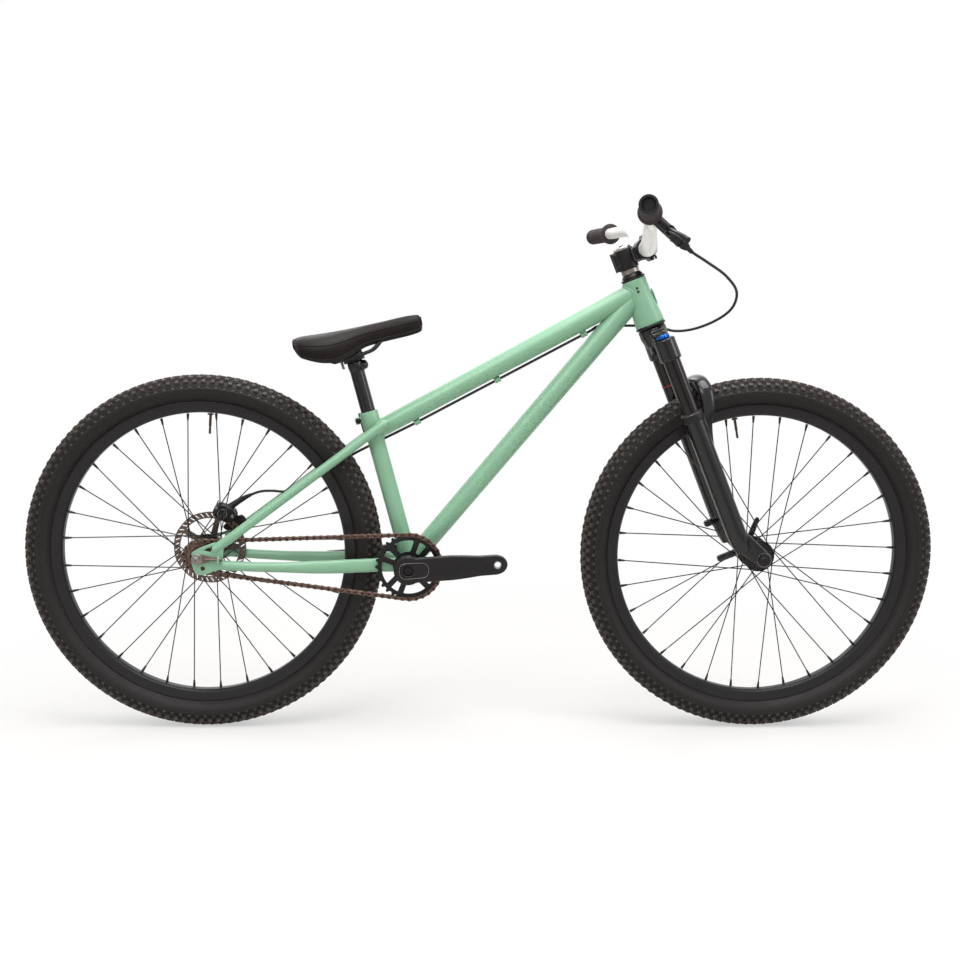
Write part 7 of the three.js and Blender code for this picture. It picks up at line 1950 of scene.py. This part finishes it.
@dataclass
class RearBrake:
    """The caliper with its finned body, and the rotor."""

    rotor_radius: float = 70.0
    band: float = 13.0
    centre_radius: float = 25.0
    arms: int = 5
    low: float = 50.1
    high: float = 52.0
    middle: tuple[float, float, float] = (0.0, 51.05, 75.0)

    def build(self) -> None:
        """Makes the rotor and the caliper."""
        self._rotor()
        self._caliper()

    def _rotor(self) -> None:
        """The rotor with its windows, the band's holes and the mounting bolts."""
        depth = self.rotor_radius - self.band - self.centre_radius
        windows = []
        for i in range(self.arms):
            inner = [polar(self.centre_radius, (i + 0.2 + 0.6 * k / 5) * 360 / self.arms)
                     for k in range(6)]
            outer = [polar(self.centre_radius + depth, (i + 0.95 - 0.85 * k / 12) * 360 / self.arms)
                     for k in range(13)]
            windows.append(fillet([*inner, *outer], 2.0, closed=True, steps=2))
        holes = [fillet([polar(59.6, k * 9), polar(59.6, k * 9 + 2.2), polar(67.2, k * 9 + 6.4),
                         polar(67.2, k * 9 + 4.4)], 0.9, closed=True, steps=2) for k in range(40)]
        wave = [polar(self.rotor_radius - 0.5 + 0.4 * math.cos(math.radians(a * 2 * 9)), a * 2)
                for a in range(180)]
        disc = plate(wave, self.low, self.high, [ring(10.7, 40), *windows, *holes], edge=0.25,
                     steps=1)
        bolts = repeater.ring(screw(3.4, 2.2, 1.7).moved(shifted(18, self.high - 0.2)
                                                         @ turned(-90, "X")), 6, DARK_ANODISED)
        make_piece("brake_rotor_ground", [(disc, ROTOR_STEEL), (bolts, BLACK_WIRE)],
                   Body.REAR_WHEEL, ["brake_rotor"], place=REAR_AXLE)

    def _caliper(self) -> None:
        """The two-sided caliper with its pad fins, cylinder caps, bracket and hose socket."""
        x, y, z = self.middle
        outline = fillet([(-20, -9), (-8, -15), (12, -15), (23, -9), (25, 4), (17, 13), (-4, 15),
                          (-20, 9)], 4, closed=True)
        halves = [plate([(x + p.x, z + p.y) for p in outline], y + low, y + high, edge=2.4)
                  for low, high in ((-15, -3.6), (3.6, 15))]
        bridge = block(26, 26, 8, 2.6).moved(shifted(x + 4, y, z + 9))
        caps = [lathe([(0, 0), (10.6, 0), (11.6, -1.2), (11.6, -6), (0, -6)], 48).moved(
            shifted(x - 1, y + side * 15.4, z - 2) @ turned(-90 * side, "X")) for side in (-1, 1)]
        bracket = plate(fillet([(6, -30), (18, -34), (44, -12), (44, 2), (32, 8), (14, -10)], 5,
                               closed=True), y + 3.5, y + 12, edge=1.6).moved(shifted(z=z))
        boot = [CALIPER.inverted() @ Vector(p)
                for p in (BrakeHose.to_caliper[-1], (-478, 58, 419), (-490, 56, 411))]
        socket = sweep(boot, lambda t: (5.6 + 1.6 * t,) * 2, 24)
        body = cast([*halves, bridge, *caps, bracket, socket], 0.75, 2)
        fins = repeater.ring(block(1.5, 9, 13, 0.5).moved(shifted(x - 19, y, z + 10)), 5,
                             SATIN_METAL, (0, 0, 0), (3.4, 0, 0))
        facing = rounded([(8.2, -15.9), (9.2, -15.9), (9.2, -16.8), (8.2, -16.8)], 0.3, 40).moved(
            shifted(x - 1, y, z - 2) @ TO_Y)
        dots = [screw(3.2, 2.6, 1.7).moved(shifted(px, y - 15, z + pz) @ turned(90, "X"))
                for px, pz in ((-15.5, 4), (18.5, 1))]
        bolts = [screw(4.6, 5, 2.4).moved(shifted(38, y + 3.6, z - 4) @ turned(90, "X")),
                 screw(4.6, 5, 2.4).moved(shifted(14, y + 11.8, z - 27) @ turned(-90, "X"))]
        parts = [(joined([body, fins, *bolts]), SATIN_METAL), (joined(dots), BRUSHED_STEEL),
                 (facing, EDGE_CUT_AND_PAINTED_HIGHLIGHT)]
        make_piece("brake_caliper_forged",
                   [(shape.moved(CALIPER), finish) for shape, finish in parts],
                   Body.FRAME, ["brake_caliper"])


@dataclass
class Saddle:
    """Seatpost, clamp, rails and saddle."""

    length: float = 238.0
    half_width: float = 66.0
    tail: float = -101.15
    top: float = 54.0
    depth: float = 21.0
    skirt: float = 52.0
    stations: Quads = (
        (0, 0.5, 0.36, 0.94), (0.02, 0.66, 0.5, 1.05), (0.07, 0.88, 0.68, 1.09),
        (0.2, 1, 0.93, 1.02), (0.3, 0.93, 1, 0.98), (0.42, 0.68, 0.88, 0.96),
        (0.54, 0.46, 0.68, 0.97), (0.7, 0.32, 0.62, 1.01), (0.9, 0.29, 0.58, 1.08),
        (0.98, 0.23, 0.52, 1.0), (1, 0.15, 0.4, 0.74))
    section: Pairs = ((0, 0), (0.4, 0.04), (0.72, 0.18), (0.93, 0.42), (1, 0.7), (0.95, 1))
    rail_line: Triples = (
        (0.33, 0.42, 0.86), (0.26, 0.62, 0.5), (0.19, 0.93, 0.12), (0.15, 1, 0), (-0.11, 1, 0),
        (-0.15, 1, 0.04), (-0.23, 1.1, 0.85), (-0.29, 1.2, 1.4))

    def build(self) -> None:
        """Makes the post, the clamp, the rails and the saddle."""
        self._post()
        self._clamp()
        self._rails()
        self._cover()

    def _post(self) -> None:
        """The seatpost with its bulging head."""
        tube = lathe([(0, -109.5), (12.4, -109.5), (13.6, -108.5), (13.6, 78), (14.4, 82),
                      (14.9, 86), (14.9, 94), (13.6, 98), (0, 98.6)], 56)
        chin = lathe([(0, -9), (8, -7.4), (11.4, -2), (11.4, 3), (8, 9), (0, 10.5)], 40).moved(
            shifted(12, 0, 86))
        head = cast([tube, chin], 1.0, 3)
        make_piece("seatpost_enamelled", [(head, GLOSS_ENAMEL)], Body.SEAT, ["seatpost"],
                   place=SEAT)

    def _clamp(self) -> None:
        """The two-part clamp with its side bolts and its rear bolt."""
        lower = block(39, 36, 8, 2.6).moved(shifted(z=-5.6))
        jaws = [rounded([(3.7, 0), (7.6, 0), (7.6, 34), (3.7, 34)], 1.2, 32).moved(
            shifted(-17, 22 * side.value, -0.4) @ turned(90, "Y")) for side in Side]
        bar = lathe([(0, -25), (5, -25), (6, -24), (6, 24), (5, 25), (0, 25)], 32).moved(
            shifted(z=-1) @ TO_Y)
        body = cast([lower, *jaws, bar], 0.8, 3)
        bolts = [screw(3.8, 3.4, 1.8).moved(shifted(4, 21.8 * side.value, -1)
                                            @ turned(-90 * side.value, "X")) for side in Side]
        rear = sweep([Vector((-24.2, 0, -17)), Vector((-24.2, 0, 6))], 2.5, 20)
        rear_head = screw(4.2, 3.2, 1.9).moved(shifted(-24.2, 0, 3.4))
        make_piece("saddle_clamp_forged", [
            (body, SATIN_METAL), (joined([*bolts, rear, rear_head]), BRUSHED_STEEL)],
            Body.SEAT, ["saddle_clamp"], place=RAILS)

    def _rails(self) -> None:
        """Both bent rails."""
        rails = []
        for side in Side:
            line = [Vector((self.length * share, 22 * spread * side.value, 29 * rise))
                    for share, spread, rise in self.rail_line]
            rails.append(sweep(spline(line, 60), 3.5, 20))
        make_piece("saddle_rails_bent", [(joined(rails), BLACK_WIRE)], Body.SEAT,
                   ["saddle_rails"], place=RAILS)

    def _skin(self, reach: float, lift: float) -> tuple[Shape, list[Vector], list[list[Vector]]]:
        """The saddle's skin at a depth below its own surface.

        Args:
            reach: How far inside the surface the skin is.
            lift: How far up its lower edge is moved.

        Returns:
            The open skin, its lower edge, and its rows of points.
        """
        rows = []
        for share, wide, deep, high in spline_rows(self.stations, 64):
            top = self.top - self.depth * (1 - high) - reach
            drop = max(4.0, self.skirt * deep + (high - 1) * self.depth - lift)
            width = max(2.0, self.half_width * wide - reach)
            across = spline([Vector((a, d, 0)) for a, d in self.section], 22)
            half = [Vector((self.tail + self.length * share, width * p.x, top - drop * p.y))
                    for p in across]
            rows.append([Vector((p.x, -p.y, p.z)) for p in reversed(half[1:])] + half)
        count = len(rows[0])
        points = [p for row in rows for p in row]
        faces = [(i * count + j, (i + 1) * count + j, (i + 1) * count + j + 1, i * count + j + 1)
                 for i in range(len(rows) - 1) for j in range(count - 1)]
        last = (len(rows) - 1) * count
        faces += [tuple(range(count)), tuple(range(last, last + count))]
        edge = [row[0] for row in rows] + rows[-1][1:] + [row[-1] for row in reversed(rows)][1:]
        edge += list(reversed(rows[0]))[1:-1]
        return Shape(points, faces), edge, rows

    def _cover(self) -> None:
        """The padded cover with its rolled hem and seams, and the shell under it."""
        skin, edge, rows = self._skin(1.2, 1.5)
        seams = [sweep([row[8] + Vector((0, -0.3, 0.3)) for row in rows[2:-2]], 0.7, 8),
                 sweep([row[-9] + Vector((0, 0.3, 0.3)) for row in rows[2:-2]], 0.7, 8)]
        cover = make_piece("saddle_cover_stretched", [
            (joined([thickened(skin, 5.0), bead(edge, 1.5), *seams]), SADDLE_LEATHER)],
            Body.SEAT, ["saddle_pad"], smooth=60, place=SADDLE)
        make_piece("saddle_shell_moulded", [(thickened(self._skin(9.0, 3.0)[0], 3.5), BLACK_NYLON)],
                   Body.SEAT, ["saddle_shell"], smooth=60, place=SADDLE)


def spline_rows(rows: Corners, count: int) -> list[tuple[float, ...]]:
    """Smooth values between rows of numbers, of which the first is the place along.

    Args:
        rows: Each row's place along and its values.
        count: How many spans the result has.

    Returns:
        The rows in between.
    """
    lines = [spline([Vector((row[0], row[k], 0)) for row in rows], count)
             for k in range(1, len(rows[0]))]
    return [(lines[0][i].x, *[line[i].y for line in lines]) for i in range(count + 1)]


def main() -> None:
    """Builds the studio, the cords and then every sub-assembly."""
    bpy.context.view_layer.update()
    Studio().build()
    BrakeHose().build()
    Frame().build()
    Cockpit().build()
    BrakeLever().build()
    Fork().build()
    Wheel("front", FRONT_AXLE, Body.FRONT_WHEEL, -27, 27, (-55, 55), 0.125, 100.6).build()
    Wheel("rear", REAR_AXLE, Body.REAR_WHEEL, -21, 32, (-30.9, 66.5), 0.25, 86.5).build()
    Drivetrain().build()
    RearBrake().build()
    Saddle().build()
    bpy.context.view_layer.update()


if __name__ == "__main__":
    main()
